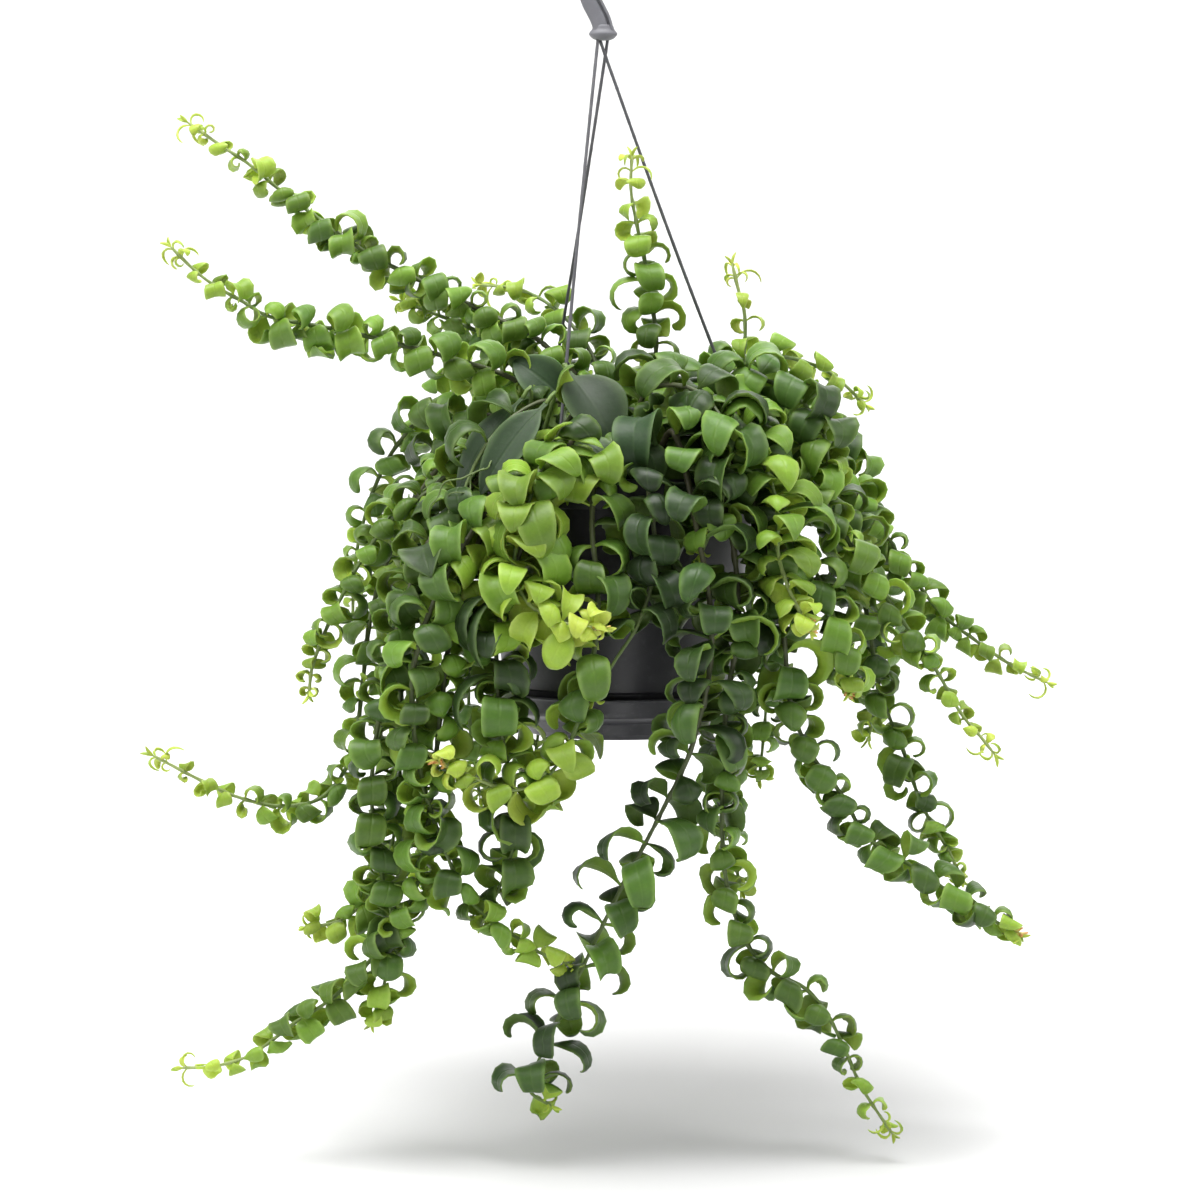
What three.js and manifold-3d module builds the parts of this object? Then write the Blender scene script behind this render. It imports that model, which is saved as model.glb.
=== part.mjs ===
// Trailing lipstick plant with curled leaves, growing in a hanging nursery pot.
// Millimetres, +Z up. The origin is where the hook rests on a rail; the front of the plant faces -Y.
import * as THREE from 'three';
import { mergeVertices } from 'three/addons/utils/BufferGeometryUtils.js';
import Module from 'manifold-3d';

const wasm = await Module();
wasm.setup();

// ---------------------------------------------------------------- driving dimensions
const HOOK_INSIDE_R = 10.5;    // inside radius of the hook's bow
const HOOK_W = 10.8;           // width of the hook's bar, seen from the front
const HOOK_T = 7.2;            // its thickness, front to back
const HOOK_GROOVE = 1.5;       // width of the moulded groove in both faces
const FOOT_Z = -36.4;          // underside of the hook's foot
const STRAND_R = 0.75;         // moulded plastic strand
const RIM_Z = -268;            // top of the pot's rim
const RIM_R = 83.5;            // outside radius of the rim
const CLIP_R = 76.5;           // radius of the circle that the strand clips stand on
const CLIP_ANGLES = [4.8, 124.8, 244.8];
const CLIP_NAMES = ['right', 'left_back', 'left_front'];
const POT_FLOOR_Z = -391;      // underside of the pot's floor
const SAUCER_FOOT_Z = -407.7;  // underside of the saucer's foot ring
const SOIL_Z = -281;           // level of the soil at its edge
const GAP = 0.3;               // clearance between pieces that touch
const STEM_STEP = 25;          // length of one straight stretch of a stem
const NODE_L = 1.2;            // half the distance between a node's two rings
const LEAF_T = 1.9;            // thickness of a leaf at its midrib
const SMALL_LEAF = 21;         // leaves shorter than this are built from fewer rings
const SOCKET = 1.24;           // size of the soil's sockets against the stems in them

const COLOUR = {
  pot: 0x55555b, hanger: 0x83838a, soil: 0x3a2a1e,
  stem: 0x4f6a36, old: 0x46663c, mid: 0x5d8a35, young: 0x9dbb45,
};

// ---------------------------------------------------------------- plant tables
// Each shoot: its centre line from the root to the tip, its radius at both ends, a colour, and its nodes as
// [distance along the shoot, roll of the stem, leaf, leaf], a leaf being [roll about the stem, rise, length, width, curl, sideways drift, channel].
const SHOOTS = [
  { name: 'shoot_upper_left_a', r0: 1.8, r1: 0.8, color: 'mid',
    line: [[-22,8,-293],[-22,8,-275],[-19.7,0,-224.3],[-39.6,4,-199.1],[-63.9,8,-185.6],[-96.4,12,-169.5],[-129,16,-153.3],[-150.8,20,-139.8],[-167.1,22,-127.3],[-183.4,24,-115.4],[-199.6,24,-101.9],[-215.8,24,-91.1],[-233.6,24,-78.7]],
    nodes: [
      [24.5,358],
      [43,186,[0,39,31,15.6,262,-6.1,-0.13]],
      [61,14,[14,35,25.6,14.2,262,3.5,0.13]],
      [78.5,149],
      [96,28,[28,23,32.6,13.9,262,7.1,0.04]],
      [113.7,166,[343,26,26.7,13.3,262,4.1,-0.07]],
      [130.7,32,[32,25,31,14.8,252,-3.2,-0.36]],
      [148.4,206,[5,32,28.7,15.1,262,-2.8,-0.02]],
      [165,4],
      [181.4,197,[29,39,27.6,15.8,262,-5.5,0.15]],
      [198.3,8,[8,38,21.4,15.5,246,6,0.18]],
      [216.2,197,[58,35,27.3,14.6,262,-3.7,-0.21]],
      [232.8,10,[10,31,39,13.6,257,-1.7,0.14]],
      [250.5,175,[28,13,29.2,14.6,252,-2,-0.51]],
      [268.8,18,[18,41,28.3,12.2,262,-3.5,-0.17]],
      [288.4,206,[11,39,19.2,12.4,252,0.3,-0.53]],
      [310.4,355],
      [327,202],
    ] },
  { name: 'shoot_upper_left_b', r0: 1.6, r1: 0.8, color: 'mid',
    line: [[-37,-2.6,-293],[-37,-2.6,-275],[-31.3,-22,-234.5],[-55.1,-30,-217.3],[-81.5,-36,-207.6],[-112.9,-42,-199.1],[-144.3,-46,-191.2],[-167.7,-50,-187],[-184.4,-52,-183.3],[-198.9,-54,-174.9],[-213.3,-56,-166.5],[-224.6,-58,-157.2],[-235,-58,-146.7]],
    nodes: [
      [27.7,23,[23,41,45.7,13.9,262,4.8,-0.47]],
      [46.8,142,[297,48,25.1,15.2,262,-6.5,0.08]],
      [65.8,53,[53,46,22,14.6,262,2.3,-0.41]],
      [83.9,174],
      [102.1,31],
      [122.3,171,[348,12,43.1,14.1,237,-2.9,-0.06]],
      [140.4,337,[337,37,39.8,15.8,262,1.5,-0.15]],
      [159.5,200,[358,30,26.1,14,262,1,-0.12]],
      [177.4,13],
      [196.3,211,[342,28,32.6,16,242,8,-0.11]],
      [214.3,345,[345,31,29,14.9,262,6.9,-0.13]],
      [231.6,154,[347,43,26.7,12.2,262,-5.1,-0.5]],
      [252.3,348,[348,35,22.3,11.2,248,1.1,0.51]],
      [274.7,188,[357,51,14.4,9.4,240,-2.3,-0.23]],
    ] },
  { name: 'shoot_upper_left_c', r0: 1.6, r1: 0.8, color: 'mid',
    line: [[-34,14,-293],[-34,14,-275],[-33.9,18,-226.3],[-53.5,24,-203.1],[-78,28,-191.2],[-102.6,32,-181.4],[-120.1,34,-174.9]],
    nodes: [
      [28.1,353,[353,11,30.9,12.7,250,2.9,0.22]],
      [46,198,[337,44,19.5,14.5,262,6.8,0.04]],
      [62.2,332,[332,41,26.7,14.8,250,-4.6,-0.1]],
      [78.9,125],
      [96.2,5,[5,28,28.9,14.4,262,-7.5,0.46]],
      [112,182,[340,32,30.9,13.3,240,4.4,-0.09]],
      [129.7,338,[338,47,24.3,15,262,1.4,0.18]],
      [147.7,176,[351,44,19.1,11,257,2.5,-0.52]],
      [161.1,7],
      [167.7,-169],
    ] },
  { name: 'shoot_top_center', r0: 1.6, r1: 0.8, color: 'young',
    line: [[12,6,-293],[12,6,-275],[19.7,8,-228.8],[19.7,8,-212.6],[20.2,6,-193.7],[17.5,4,-174.9],[14.2,0,-154.5],[9.8,-4,-134.8],[6.6,-5,-116.2],[7.1,-5,-97.5]],
    nodes: [
      [28.8,176,[176,30,35.6,13.5,206,2.1,0.47]],
      [44.2,344,[189,33,25.6,14.2,248,2.2,-0.24]],
      [61.9,155,[155,21,32.4,15.3,208,2.8,0.2]],
      [79.2,330],
      [95.7,153,[153,32,23.1,13.3,190,-1.9,0.16]],
      [112.1,323,[173,35,28.7,15.8,221,0.4,-0.17]],
      [128.7,177,[177,35,37.6,15,186,6.7,-0.18]],
      [144.9,349,[162,19,24.1,13.5,203,-5.9,-0.05]],
      [162,167],
      [184,333,[188,45,12.6,10.1,186,-1.4,-0.23]],
    ] },
  { name: 'shoot_top_right', r0: 1.6, r1: 0.8, color: 'young',
    line: [[47.1,-3.1,-293],[47.1,-3.1,-275],[65.2,-6,-224.1],[66.2,-6,-211.3],[67.8,-6,-195.2],[67.2,-5,-180.2],[64,-4,-168.5],[60.8,-4,-155.1]],
    nodes: [
      [29.6,96,[96,37,22.3,8,155,0.8,-0.24]],
      [48.1,239,[108,38,26.5,8.1,152,0.6,-0.17]],
      [64.9,72],
      [82,264],
      [99.6,71,[71,35,18.7,7.7,179,-0.4,-0.01]],
      [121.6,279,[87,29,12.6,7.1,144,2.2,-0.23]],
    ] },
  { name: 'shoot_left_outer', r0: 1.6, r1: 0.8, color: 'mid',
    line: [[-57.7,-12.5,-293],[-57.7,-12.5,-275],[-52.5,-30,-241.2],[-76.6,-44,-255],[-98.5,-52,-273.7],[-119.4,-56,-290.4],[-134.1,-58,-309.2],[-145.8,-58,-330.3],[-154.8,-58,-349.3],[-161.7,-58,-368.3],[-163.4,-58,-382.6]],
    nodes: [
      [25.1,178,[178,8,20.1,12.5,230,0.9,-0.37]],
      [42.5,27,[244,33,18.8,12.1,262,8,0.26]],
      [58,231,[231,32,29.5,11.6,262,3.2,0.14]],
      [75.1,42],
      [93.1,206,[206,15,27.2,13.6,262,7.1,-0.1]],
      [110.4,17,[217,35,27.2,11.7,262,0.7,0.57]],
      [126.7,233,[233,39,29.4,14.1,254,5.7,0.1]],
      [144.2,19,[193,28,29.5,12.2,229,4.7,-0.16]],
      [159.9,215],
      [176,46,[207,12,22.5,11.7,231,-2.9,0.24]],
      [193.6,206,[206,36,33,11.6,244,-2.2,-0.45]],
      [210.4,1,[202,10,28.2,9.9,247,6.4,0.19]],
      [226,181,[181,28,15.3,10.8,211,4.2,-0.12]],
      [240.3,44,[202,36,12,9.2,249,-2.1,-0.37]],
    ] },
  { name: 'shoot_left_middle', r0: 1.8, r1: 0.8, color: 'mid',
    line: [[-42.9,-27.2,-293],[-42.9,-27.2,-275],[-52.7,-47.4,-251.8],[-81.2,-73,-276.7],[-100.1,-92,-303],[-113.4,-98,-340],[-122.9,-98,-381.5],[-128.3,-96,-423.4],[-126.5,-93,-460.4],[-118.7,-85.3,-497.8],[-123.1,-83.5,-532.7],[-129.5,-82,-552.6]],
    nodes: [
      [24.6,161],
      [43.9,356],
      [82.6,-58,[122,36,36.3,18.4,242,-5.2,-0.37]],
      [102.8,173],
      [121.7,309,[309,37,32.7,17.4,245,7.4,0.21]],
      [136.4,324,[324,-15,42,25,80,0,0.22]],
      [142.7,135],
      [162.8,325,[114,9,26.3,18,219,-4.7,0.24]],
      [182.7,172],
      [202.6,292,[123,18,33.7,16.5,244,1.4,-0.06]],
      [221.2,138,[138,16,30.9,16.6,247,-7,0.07]],
      [241.9,331,[144,15,34.7,15.4,203,-2.4,0.05]],
      [259.7,142,[142,-1,31.4,15.4,226,-6.6,0.22]],
      [279.5,302,[149,23,29.9,16.7,210,2.3,-0.16]],
      [298.2,128,[128,27,26.8,15.4,208,1.3,-0.37]],
      [318.2,296,[74,28,22.7,16.6,257,0.5,0.07]],
      [337.1,105],
      [357.3,299,[130,42,22.1,14.4,246,-6.9,-0.01]],
      [377,142,[142,35,21,13.3,247,1.7,-0.16]],
      [390.3,297,[162,33,11.1,10.9,262,1.6,0.45]],
    ] },
  { name: 'shoot_left_inner', r0: 1.8, r1: 0.8, color: 'mid',
    line: [[-30.1,-46.1,-293],[-30.1,-46.1,-275],[-43.9,-73,-254],[-74.9,-104,-293.1],[-95.5,-118,-330.3],[-106.3,-120,-369.2],[-102.5,-116,-416],[-90,-110,-458.2],[-77.3,-105.6,-485.1],[-59.3,-99.7,-500.6],[-43.8,-94,-512.7],[-24.6,-90,-521.7]],
    nodes: [
      [26.7,181,[181,30,23.2,15.2,262,2.4,-0.21]],
      [47.7,323,[161,24,22.6,14.1,262,-3.1,-0.5]],
      [66.4,184,[184,11,29.6,16.3,233,6.9,-0.08]],
      [84.6,353],
      [105.2,210,[210,29,25.9,18.2,255,7,-0.09]],
      [126.6,357,[253,-3,28.4,18,239,1.6,0.17]],
      [147.1,190,[190,26,35.9,15.6,262,-6,-0.44]],
      [166.7,25,[182,-2,35.6,14.3,198,-1,0.04]],
      [186.2,191],
      [193.4,72,[72,5,46,13,175,0,-0.2]],
      [207.4,33,[33,24,32.1,17.1,218,0.9,0.21]],
      [226.9,168,[4,13,25.7,16,200,4.8,-0.11]],
      [246.8,19,[19,9,26,13.5,253,-6.9,-0.12]],
      [268.7,234,[17,21,33.9,15.9,236,-2.5,0.03]],
      [287.5,341],
      [305.7,203,[350,12,29.8,14.5,237,-2.5,0.12]],
      [324.8,66],
      [343.8,177,[20,14,21.8,11.9,205,-4.8,-0.12]],
      [361.8,354,[354,22,18.5,10.8,230,2.5,-0.15]],
      [378.2,210,[20,59,20.8,11.6,231,0.1,0]],
    ] },
  { name: 'shoot_left_tip', r0: 1.8, r1: 0.8, color: 'young',
    line: [[-58.3,2.6,-293],[-58.3,2.6,-275],[-58.6,6,-239.5],[-94,0,-261.9],[-117.3,-12,-298],[-131.7,-26,-340],[-136.6,-38,-381.8],[-141.4,-48,-415.5],[-156.9,-56,-436.9],[-178.7,-62,-441],[-200.5,-66,-435.8],[-220,-70,-426.3],[-244.7,-74,-412.7]],
    nodes: [
      [29.7,269,[269,38,24.3,12.2,262,-5.5,-0.05]],
      [48.9,72,[244,14,30,11.5,244,-5.8,-0.1]],
      [69,277,[277,21,29.9,13.9,211,-5,0.06]],
      [90.3,68],
      [111.3,242,[242,31,23.7,12.9,262,3.1,0.09]],
      [131.6,17,[251,31,29.2,12.2,259,6.1,-0.18]],
      [149.4,246,[246,20,28.7,13.6,262,-3.8,-0.17]],
      [168.8,67],
      [188.6,271],
      [208.2,76,[278,9,23.6,11.2,211,7.2,-0.02]],
      [228.8,250,[250,40,24.3,11.1,262,7.7,0.58]],
      [249.9,91,[243,38,22.5,12,218,-3.5,-0.12]],
      [269.2,283,[283,30,18.8,10.7,232,2.2,-0.18]],
      [288.6,58,[268,26,23.6,12.1,241,6,-0.43]],
      [309,249,[249,36,19.8,11.5,224,-6.7,0.05]],
      [329.1,73,[247,11,22.6,10.8,232,-3.3,-0.02]],
      [350.6,270],
    ] },
  { name: 'shoot_lower_left', r0: 1.8, r1: 0.8, color: 'mid',
    line: [[-31.4,-33.2,-293],[-31.4,-33.2,-275],[-48.8,-58,-256.6],[-70.1,-90,-293.8],[-85.7,-106,-340.4],[-92.4,-110,-390.8],[-97.9,-104,-438.1],[-106.1,-97.1,-480.9],[-125.9,-90,-513.6],[-148.2,-84,-537.9],[-169.2,-84,-552.2],[-192.2,-86,-568.8],[-211.5,-88,-574.8],[-228.5,-90,-575.5]],
    nodes: [
      [29.9,-19],
      [48.6,132],
      [85.5,140,[140,6,28.2,14.8,202,-0.3,-0.15]],
      [105.4,306],
      [124.2,115,[115,9,27.6,14.2,203,-2.4,0.06]],
      [142,298,[171,32,38.9,14.4,226,7.8,-0.09]],
      [161.1,137,[137,31,47.6,14,232,3.3,-0.16]],
      [180.4,297,[151,19,25.2,13,208,5.8,-0.38]],
      [201,170],
      [221.7,353,[194,38,26.8,15.4,224,5.9,0.25]],
      [241.5,136,[136,26,26.7,13.4,261,6.6,0.23]],
      [261,9,[156,23,32.5,12.9,194,5.8,-0.5]],
      [280.3,138,[138,39,23.9,12.1,252,3.4,0.6]],
      [299.2,348,[147,33,29.1,14.1,234,7.3,0.01]],
      [317.6,122,[122,43,23.8,12.5,246,0,-0.05]],
      [336.3,349],
      [355.1,149],
      [372.1,347,[119,40,22.4,12.1,251,4,-0.51]],
      [391,134,[134,17,21.6,14.7,215,0.6,-0.44]],
      [409,335,[142,32,20.1,12.4,255,5.4,-0.24]],
      [430.7,174,[174,37,14.9,10.2,233,-1.9,0.22]],
      [454.2,320],
    ] },
  { name: 'shoot_lower_left_b', r0: 1.8, r1: 0.8, color: 'mid',
    line: [[-55.9,-25.4,-293],[-55.9,-25.4,-275],[-65.2,-52.7,-249.5],[-92.7,-69.5,-289.4],[-110.3,-76,-341.6],[-114.6,-76,-394.1],[-116,-72,-441.9],[-125.8,-68,-479.5],[-144.4,-66,-499.9],[-165.5,-66,-505.2]],
    nodes: [
      [28.5,-43,[137,6,16.6,13.7,200,0.1,0.24]],
      [47,145],
      [66.4,-92],
      [102.6,295],
      [120.6,119,[119,32,34.8,14.2,221,3.9,0.04]],
      [140,306,[108,38,29.8,14.4,229,7.9,0.49]],
      [157.8,108,[108,34,33.1,16.4,238,4.6,0.12]],
      [175.5,314,[107,9,27.4,15.2,220,0.2,-0.17]],
      [195.1,101],
      [214.3,291,[121,8,29.2,13,211,-4.9,0.19]],
      [233.3,113,[113,30,34.2,14.7,262,4.2,0.19]],
      [250.4,314],
      [267.9,114,[114,16,23.8,12.8,205,-1.6,-0.2]],
      [287.3,260,[113,7,34.1,13.7,233,2.4,0.14]],
      [304.4,106],
      [323.1,262,[88,31,32,12.7,239,2.3,0.4]],
      [340,123],
      [352.4,303],
    ] },
  { name: 'shoot_lime_front', r0: 1.6, r1: 0.8, color: 'young',
    line: [[-19.2,-39,-293],[-19.2,-39,-275],[-15.3,-61.1,-231.9],[-31.4,-86.5,-242.5],[-41.8,-109,-264.2],[-50,-118.4,-289.7],[-53.9,-122.1,-312.6],[-45.7,-125,-330.3],[-27.3,-128,-339.8],[-7.4,-130,-342.2]],
    nodes: [
      [28.8,226],
      [42.9,89],
      [57.4,-151,[29,13,19,11.5,70,-0.4,-0.18]],
      [82.4,0],
      [93.4,226],
      [108.8,80],
      [124,265,[265,25,31.1,10.9,72,-7.8,0.26]],
      [138.4,54,[282,37,33.2,18.8,184,6.2,0.16]],
      [152.6,242],
      [167.9,30,[277,5,30.8,15,192,-4,0.03]],
      [182,228,[228,2,27.8,15.2,157,-0.8,-0.11]],
      [196.9,54],
      [211.8,248,[248,46,18.3,15.2,193,6.7,-0.04]],
      [224.9,42,[279,31,27.3,12.4,174,-1.1,0.52]],
      [229.4,60,[60,-15,34,16,150,0,-0.2]],
      [238.6,263],
    ] },
  { name: 'shoot_lime_low', r0: 1.8, r1: 0.8, color: 'young',
    line: [[-8,-51.9,-293],[-8,-51.9,-275],[-10,-80,-242.3],[-14.1,-104,-287.9],[-11,-108,-328.9],[-15.3,-112.6,-369.3],[-24.8,-112.9,-400.6],[-38.3,-116,-420.1],[-56.2,-119,-426],[-74.1,-122,-419.4],[-93.5,-124,-410.5]],
    nodes: [
      [29.8,5],
      [49,122],
      [69,267],
      [89.3,95],
      [108.4,311,[311,30,35.4,17.3,196,-6.2,0.24]],
      [129.5,75,[280,17,36.6,18.8,192,1.5,-0.05]],
      [149.5,323,[323,30,38.2,17.3,187,1.7,0.24]],
      [170.7,140],
      [190.4,348,[348,25,58,17,235,0,-0.25]],
      [193.4,108,[108,-15,34,17,150,0,0.2]],
      [196.7,-83],
      [216.6,129],
      [229.4,180],
      [241.7,300,[105,34,28.8,16.2,241,0.3,0]],
      [260.8,143,[143,16,40.9,17.7,229,2.4,0.43]],
      [281.7,323,[147,10,20.8,14.1,210,-5.6,-0.05]],
      [298.8,128],
    ] },
  { name: 'shoot_center_left', r0: 1.8, r1: 0.8, color: 'old',
    line: [[-20.6,-55,-293],[-20.6,-55,-275],[-25.3,-89.1,-248.4],[-45.1,-111.2,-288.3],[-61.3,-113.9,-338.8],[-62.5,-112,-385.4],[-55.4,-108,-427.2],[-55.6,-102,-459.2],[-65.1,-96.4,-485.8],[-71.4,-94.4,-499.2]],
    nodes: [
      [25.5,-17],
      [47.1,134],
      [61.4,228,[228,45,38,18,110,0,0.25]],
      [67.8,1],
      [88.9,180,[180,34,27.6,17.3,260,-0.2,0.09]],
      [109.5,342,[175,19,42.4,18.7,236,-0.2,-0.16]],
      [128.8,165],
      [148.4,350,[125,4,52.5,18,252,-0.4,0.12]],
      [157.4,24,[24,-15,52,15,140,0,-0.2]],
      [170.5,129,[299,16,32.2,16.9,220,7.7,0.19]],
      [190.5,301,[301,17,36.3,17.9,242,-6.3,0.26]],
      [196.4,36,[36,5,46,13.5,140,0,-0.2]],
      [209.9,168,[168,26,50,16,191,5.9,0.01]],
      [214.4,240,[240,45,34,16,160,0,-0.2]],
      [230.9,7,[7,4,23.7,16,255,5.6,0.06]],
      [253,132],
      [273.5,325],
      [295.8,125,[294,25,31.3,17.3,200,5.1,0.4]],
      [315.3,355,[355,44,18.1,12.8,243,-0.4,-0.01]],
      [328.5,147],
    ] },
  { name: 'shoot_center_front', r0: 1.6, r1: 0.8, color: 'old',
    line: [[4.3,-56.1,-293],[4.3,-56.1,-275],[5.6,-76,-237.2],[14.7,-102,-272.6],[18.3,-106,-308.4],[10.6,-108,-339.2],[-3.7,-109.7,-362.4],[-13.7,-106.8,-381.4]],
    nodes: [
      [29,22,[22,44,19.3,14.3,189,-7.7,-0.21]],
      [40.4,24],
      [54.6,133,[133,7,38.6,14.9,163,0.4,0.2]],
      [92,101],
      [113.9,355],
      [135,175,[357,33,29.3,17.4,190,-2.5,0.02]],
      [148.4,108,[108,-15,36,8.5,35,0,0.4]],
      [154,336,[139,17,38.3,15.2,200,-1.2,-0.4]],
      [157.4,216,[216,-15,30,15,120,0,-0.2]],
      [172.8,163,[311,40,39.9,15,192,0.6,0.11]],
      [212.9,-163],
    ] },
  { name: 'shoot_center_low', r0: 1.8, r1: 0.8, color: 'old',
    line: [[15.9,-50.3,-293],[15.9,-50.3,-275],[28.1,-75.8,-243.7],[40.1,-106.5,-293.3],[47.7,-106.4,-349.7],[38.7,-98,-402.3],[21.2,-92,-442.2],[3.1,-88,-476.8],[-11,-84,-506.3],[-24.7,-80,-536],[-37.3,-76,-563.1],[-46.9,-74,-589],[-35.3,-74,-598.6]],
    nodes: [
      [26.2,166,[166,4,23.7,15.9,205,1,-0.48]],
      [53.9,-76],
      [61.4,276,[276,65,38,17,170,0,0.25]],
      [78.5,183],
      [103.7,317,[317,31,40.3,17.1,204,5.9,-0.01]],
      [129.3,162,[316,20,42.2,17.4,206,-3.3,0.25]],
      [154.3,308,[308,24,40.1,17.8,222,5.5,0.05]],
      [180.1,146,[302,38,53.7,16.5,202,-1.3,0.25]],
      [204.4,333],
      [228.5,139],
      [255.4,336],
      [282.5,135],
      [308.5,328,[328,26,51.6,16.4,199,6.4,0.11]],
      [332.9,153,[317,28,36.9,15.5,187,0.9,0.22]],
      [358.2,306,[306,28,34.2,15.5,211,0.4,0.55]],
      [381.7,138,[338,9,39.1,14.7,194,0.5,-0.13]],
      [404.6,333],
      [430.8,155,[317,28,36.2,16.2,229,3.9,0.14]],
      [453.1,331,[331,38,18.4,12.6,195,-0.6,-0.17]],
    ] },
  { name: 'shoot_center_right', r0: 1.8, r1: 0.8, color: 'mid',
    line: [[28.3,-46.5,-293],[28.3,-46.5,-275],[37.1,-64,-240.2],[56.3,-92,-288.5],[61.4,-98,-340],[55.4,-94,-387.1],[53.5,-90,-434.5],[55.8,-86,-477],[65.4,-82,-508.2],[80.2,-80,-526.4],[96.1,-78,-534.2],[108.8,-76,-548.3],[119.5,-74,-569.9],[128.2,-72,-589.4],[144.6,-72,-614.4]],
    nodes: [
      [25.8,243],
      [44.9,23],
      [65.7,258],
      [87,57],
      [109.5,256],
      [129.2,7],
      [149.9,226,[226,11,38.9,16,223,-5.9,0.16]],
      [166.4,144,[144,45,50,17,205,0,-0.25]],
      [171.1,26],
      [192.4,231,[82,16,20.2,14.8,214,6,0.22]],
      [210.8,16,[16,36,25.7,14.7,210,-0.5,-0.19]],
      [233.2,231],
      [253.1,18,[18,14,22.9,13.7,228,-2.9,-0.13]],
      [274.3,233,[67,34,28.6,13.2,213,1,0.06]],
      [294.1,42,[42,13,24.5,13.7,238,-3.9,-0.18]],
      [315.1,227,[50,12,25.2,14.6,224,0.9,-0.01]],
      [336,51],
      [356.7,252,[69,15,23.2,16,245,-4,-0.05]],
      [377.2,72,[72,26,26.1,15.7,213,-7.9,0.22]],
      [399.8,235,[75,15,22.3,13.3,205,-0.2,-0.19]],
      [421.5,75,[75,14,19.8,13.7,237,5.6,0]],
      [445.6,235],
    ] },
  { name: 'shoot_right_low', r0: 1.8, r1: 0.8, color: 'mid',
    line: [[40.1,-40.8,-293],[40.1,-40.8,-275],[47.7,-50.9,-238.8],[72.7,-84.3,-289.2],[84.6,-86,-340.9],[89.1,-82,-383],[99.8,-78,-410.7],[116.8,-76,-433.6],[130.6,-74,-456.5],[155.5,-72,-472.6],[178.4,-70,-488.7],[200.7,-68,-502.8],[210.8,-68,-508.7]],
    nodes: [
      [27.5,86,[86,8,18.3,13.7,223,-2.8,-0.12]],
      [48,199],
      [66.8,25],
      [87,262],
      [106.6,41,[41,26,42.5,18,258,0.5,-0.13]],
      [125.8,233],
      [146.7,23],
      [165.9,241,[80,7,27.4,17,223,1.3,-0.11]],
      [185.9,86],
      [205.3,220,[39,26,41.1,16.6,255,2.4,0.14]],
      [224.4,67],
      [244.1,248],
      [262.5,50,[50,22,28.3,16.2,215,3,-0.14]],
      [281.5,212,[61,25,29,15.6,236,3.2,-0.17]],
      [300.4,68,[68,35,25,14.1,214,2.5,0.02]],
      [320.2,252,[65,16,24.7,16,199,2.8,0.21]],
      [339.5,67],
      [360,239,[60,36,29.9,16.5,262,-2.1,0.17]],
      [378.3,61,[61,38,25.1,13.4,204,-0.5,-0.12]],
      [396.1,233,[40,53,16.2,12.1,247,3.6,0.1]],
    ] },
  { name: 'shoot_right_a', r0: 1.8, r1: 0.8, color: 'mid',
    line: [[57.2,-11.2,-293],[57.2,-11.2,-275],[67.4,-20,-238.8],[102.9,-26,-259.9],[122,-30,-297],[131.7,-32,-339.6],[139.3,-32,-382.4],[151.9,-30,-414.7],[162.2,-30,-444.3],[176.2,-30,-468.5],[183.8,-30,-484.7]],
    nodes: [
      [25.7,138],
      [43.4,327,[147,29,18.3,12.8,247,-0.9,-0.42]],
      [62.8,200],
      [82.4,355],
      [103.3,160,[160,13,29.9,16.9,241,4.3,0.52]],
      [124.3,345,[156,7,33.2,17.2,221,7.6,-0.04]],
      [144.4,198,[198,19,27.6,15.4,246,-1.8,0.18]],
      [163.6,18,[171,22,44.6,14.6,220,-0.5,0.12]],
      [183.1,204],
      [202.6,11,[163,44,28,15.3,257,3.7,0.2]],
      [222.1,174,[174,10,27.7,13.4,211,7,-0.02]],
      [243,350],
      [263.7,197],
      [282.1,14,[182,41,27.9,13,262,-4.9,0.53]],
      [300.2,169,[169,19,25.5,12.8,235,4.9,-0.1]],
      [317.3,322,[156,47,21.1,11.2,262,-4.6,-0.13]],
      [334.3,198],
    ] },
  { name: 'shoot_right_b', r0: 1.6, r1: 0.8, color: 'mid',
    line: [[58,6,-293],[58,6,-275],[65.9,16,-234.4],[103.1,22,-250.8],[132.9,26,-283.6],[156.5,26,-319.1],[175.7,26,-344.9],[194.9,26,-360.2],[214.2,26,-373.4],[235,26,-383.8]],
    nodes: [
      [27.5,118],
      [43.8,24],
      [60,184,[184,37,29.8,13.8,218,-0.1,0.24]],
      [74.9,352],
      [91.3,183,[183,40,29.1,12,250,-0.6,-0.11]],
      [106.8,326,[170,12,21.3,13.2,222,-4.4,0.5]],
      [124.4,140,[140,19,29.4,14.5,225,5.3,0.48]],
      [141.2,358,[137,18,26.9,13.8,215,2,-0.23]],
      [158.4,125],
      [175.8,3,[153,25,30.6,12.4,238,-6.6,-0.07]],
      [192.3,163,[163,22,24.1,12.1,224,-2.4,-0.04]],
      [209.7,336],
      [227,138,[138,20,31.3,12.3,262,-2.6,0.23]],
      [243.9,355,[150,20,22.5,9.3,258,-5.5,0.07]],
      [264.5,164,[164,12,16.5,9.6,209,-2.4,0.17]],
    ] },
  { name: 'shoot_right_c', r0: 1.6, r1: 0.8, color: 'young',
    line: [[58.4,-24.1,-293],[58.4,-24.1,-275],[69.4,-40,-243.5],[103,-58,-274.5],[126.4,-64,-311],[148.6,-64,-342.5],[166.2,-62,-368],[179.7,-60,-391.4],[190.3,-60,-404.1],[198.3,-60,-414.2]],
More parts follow.
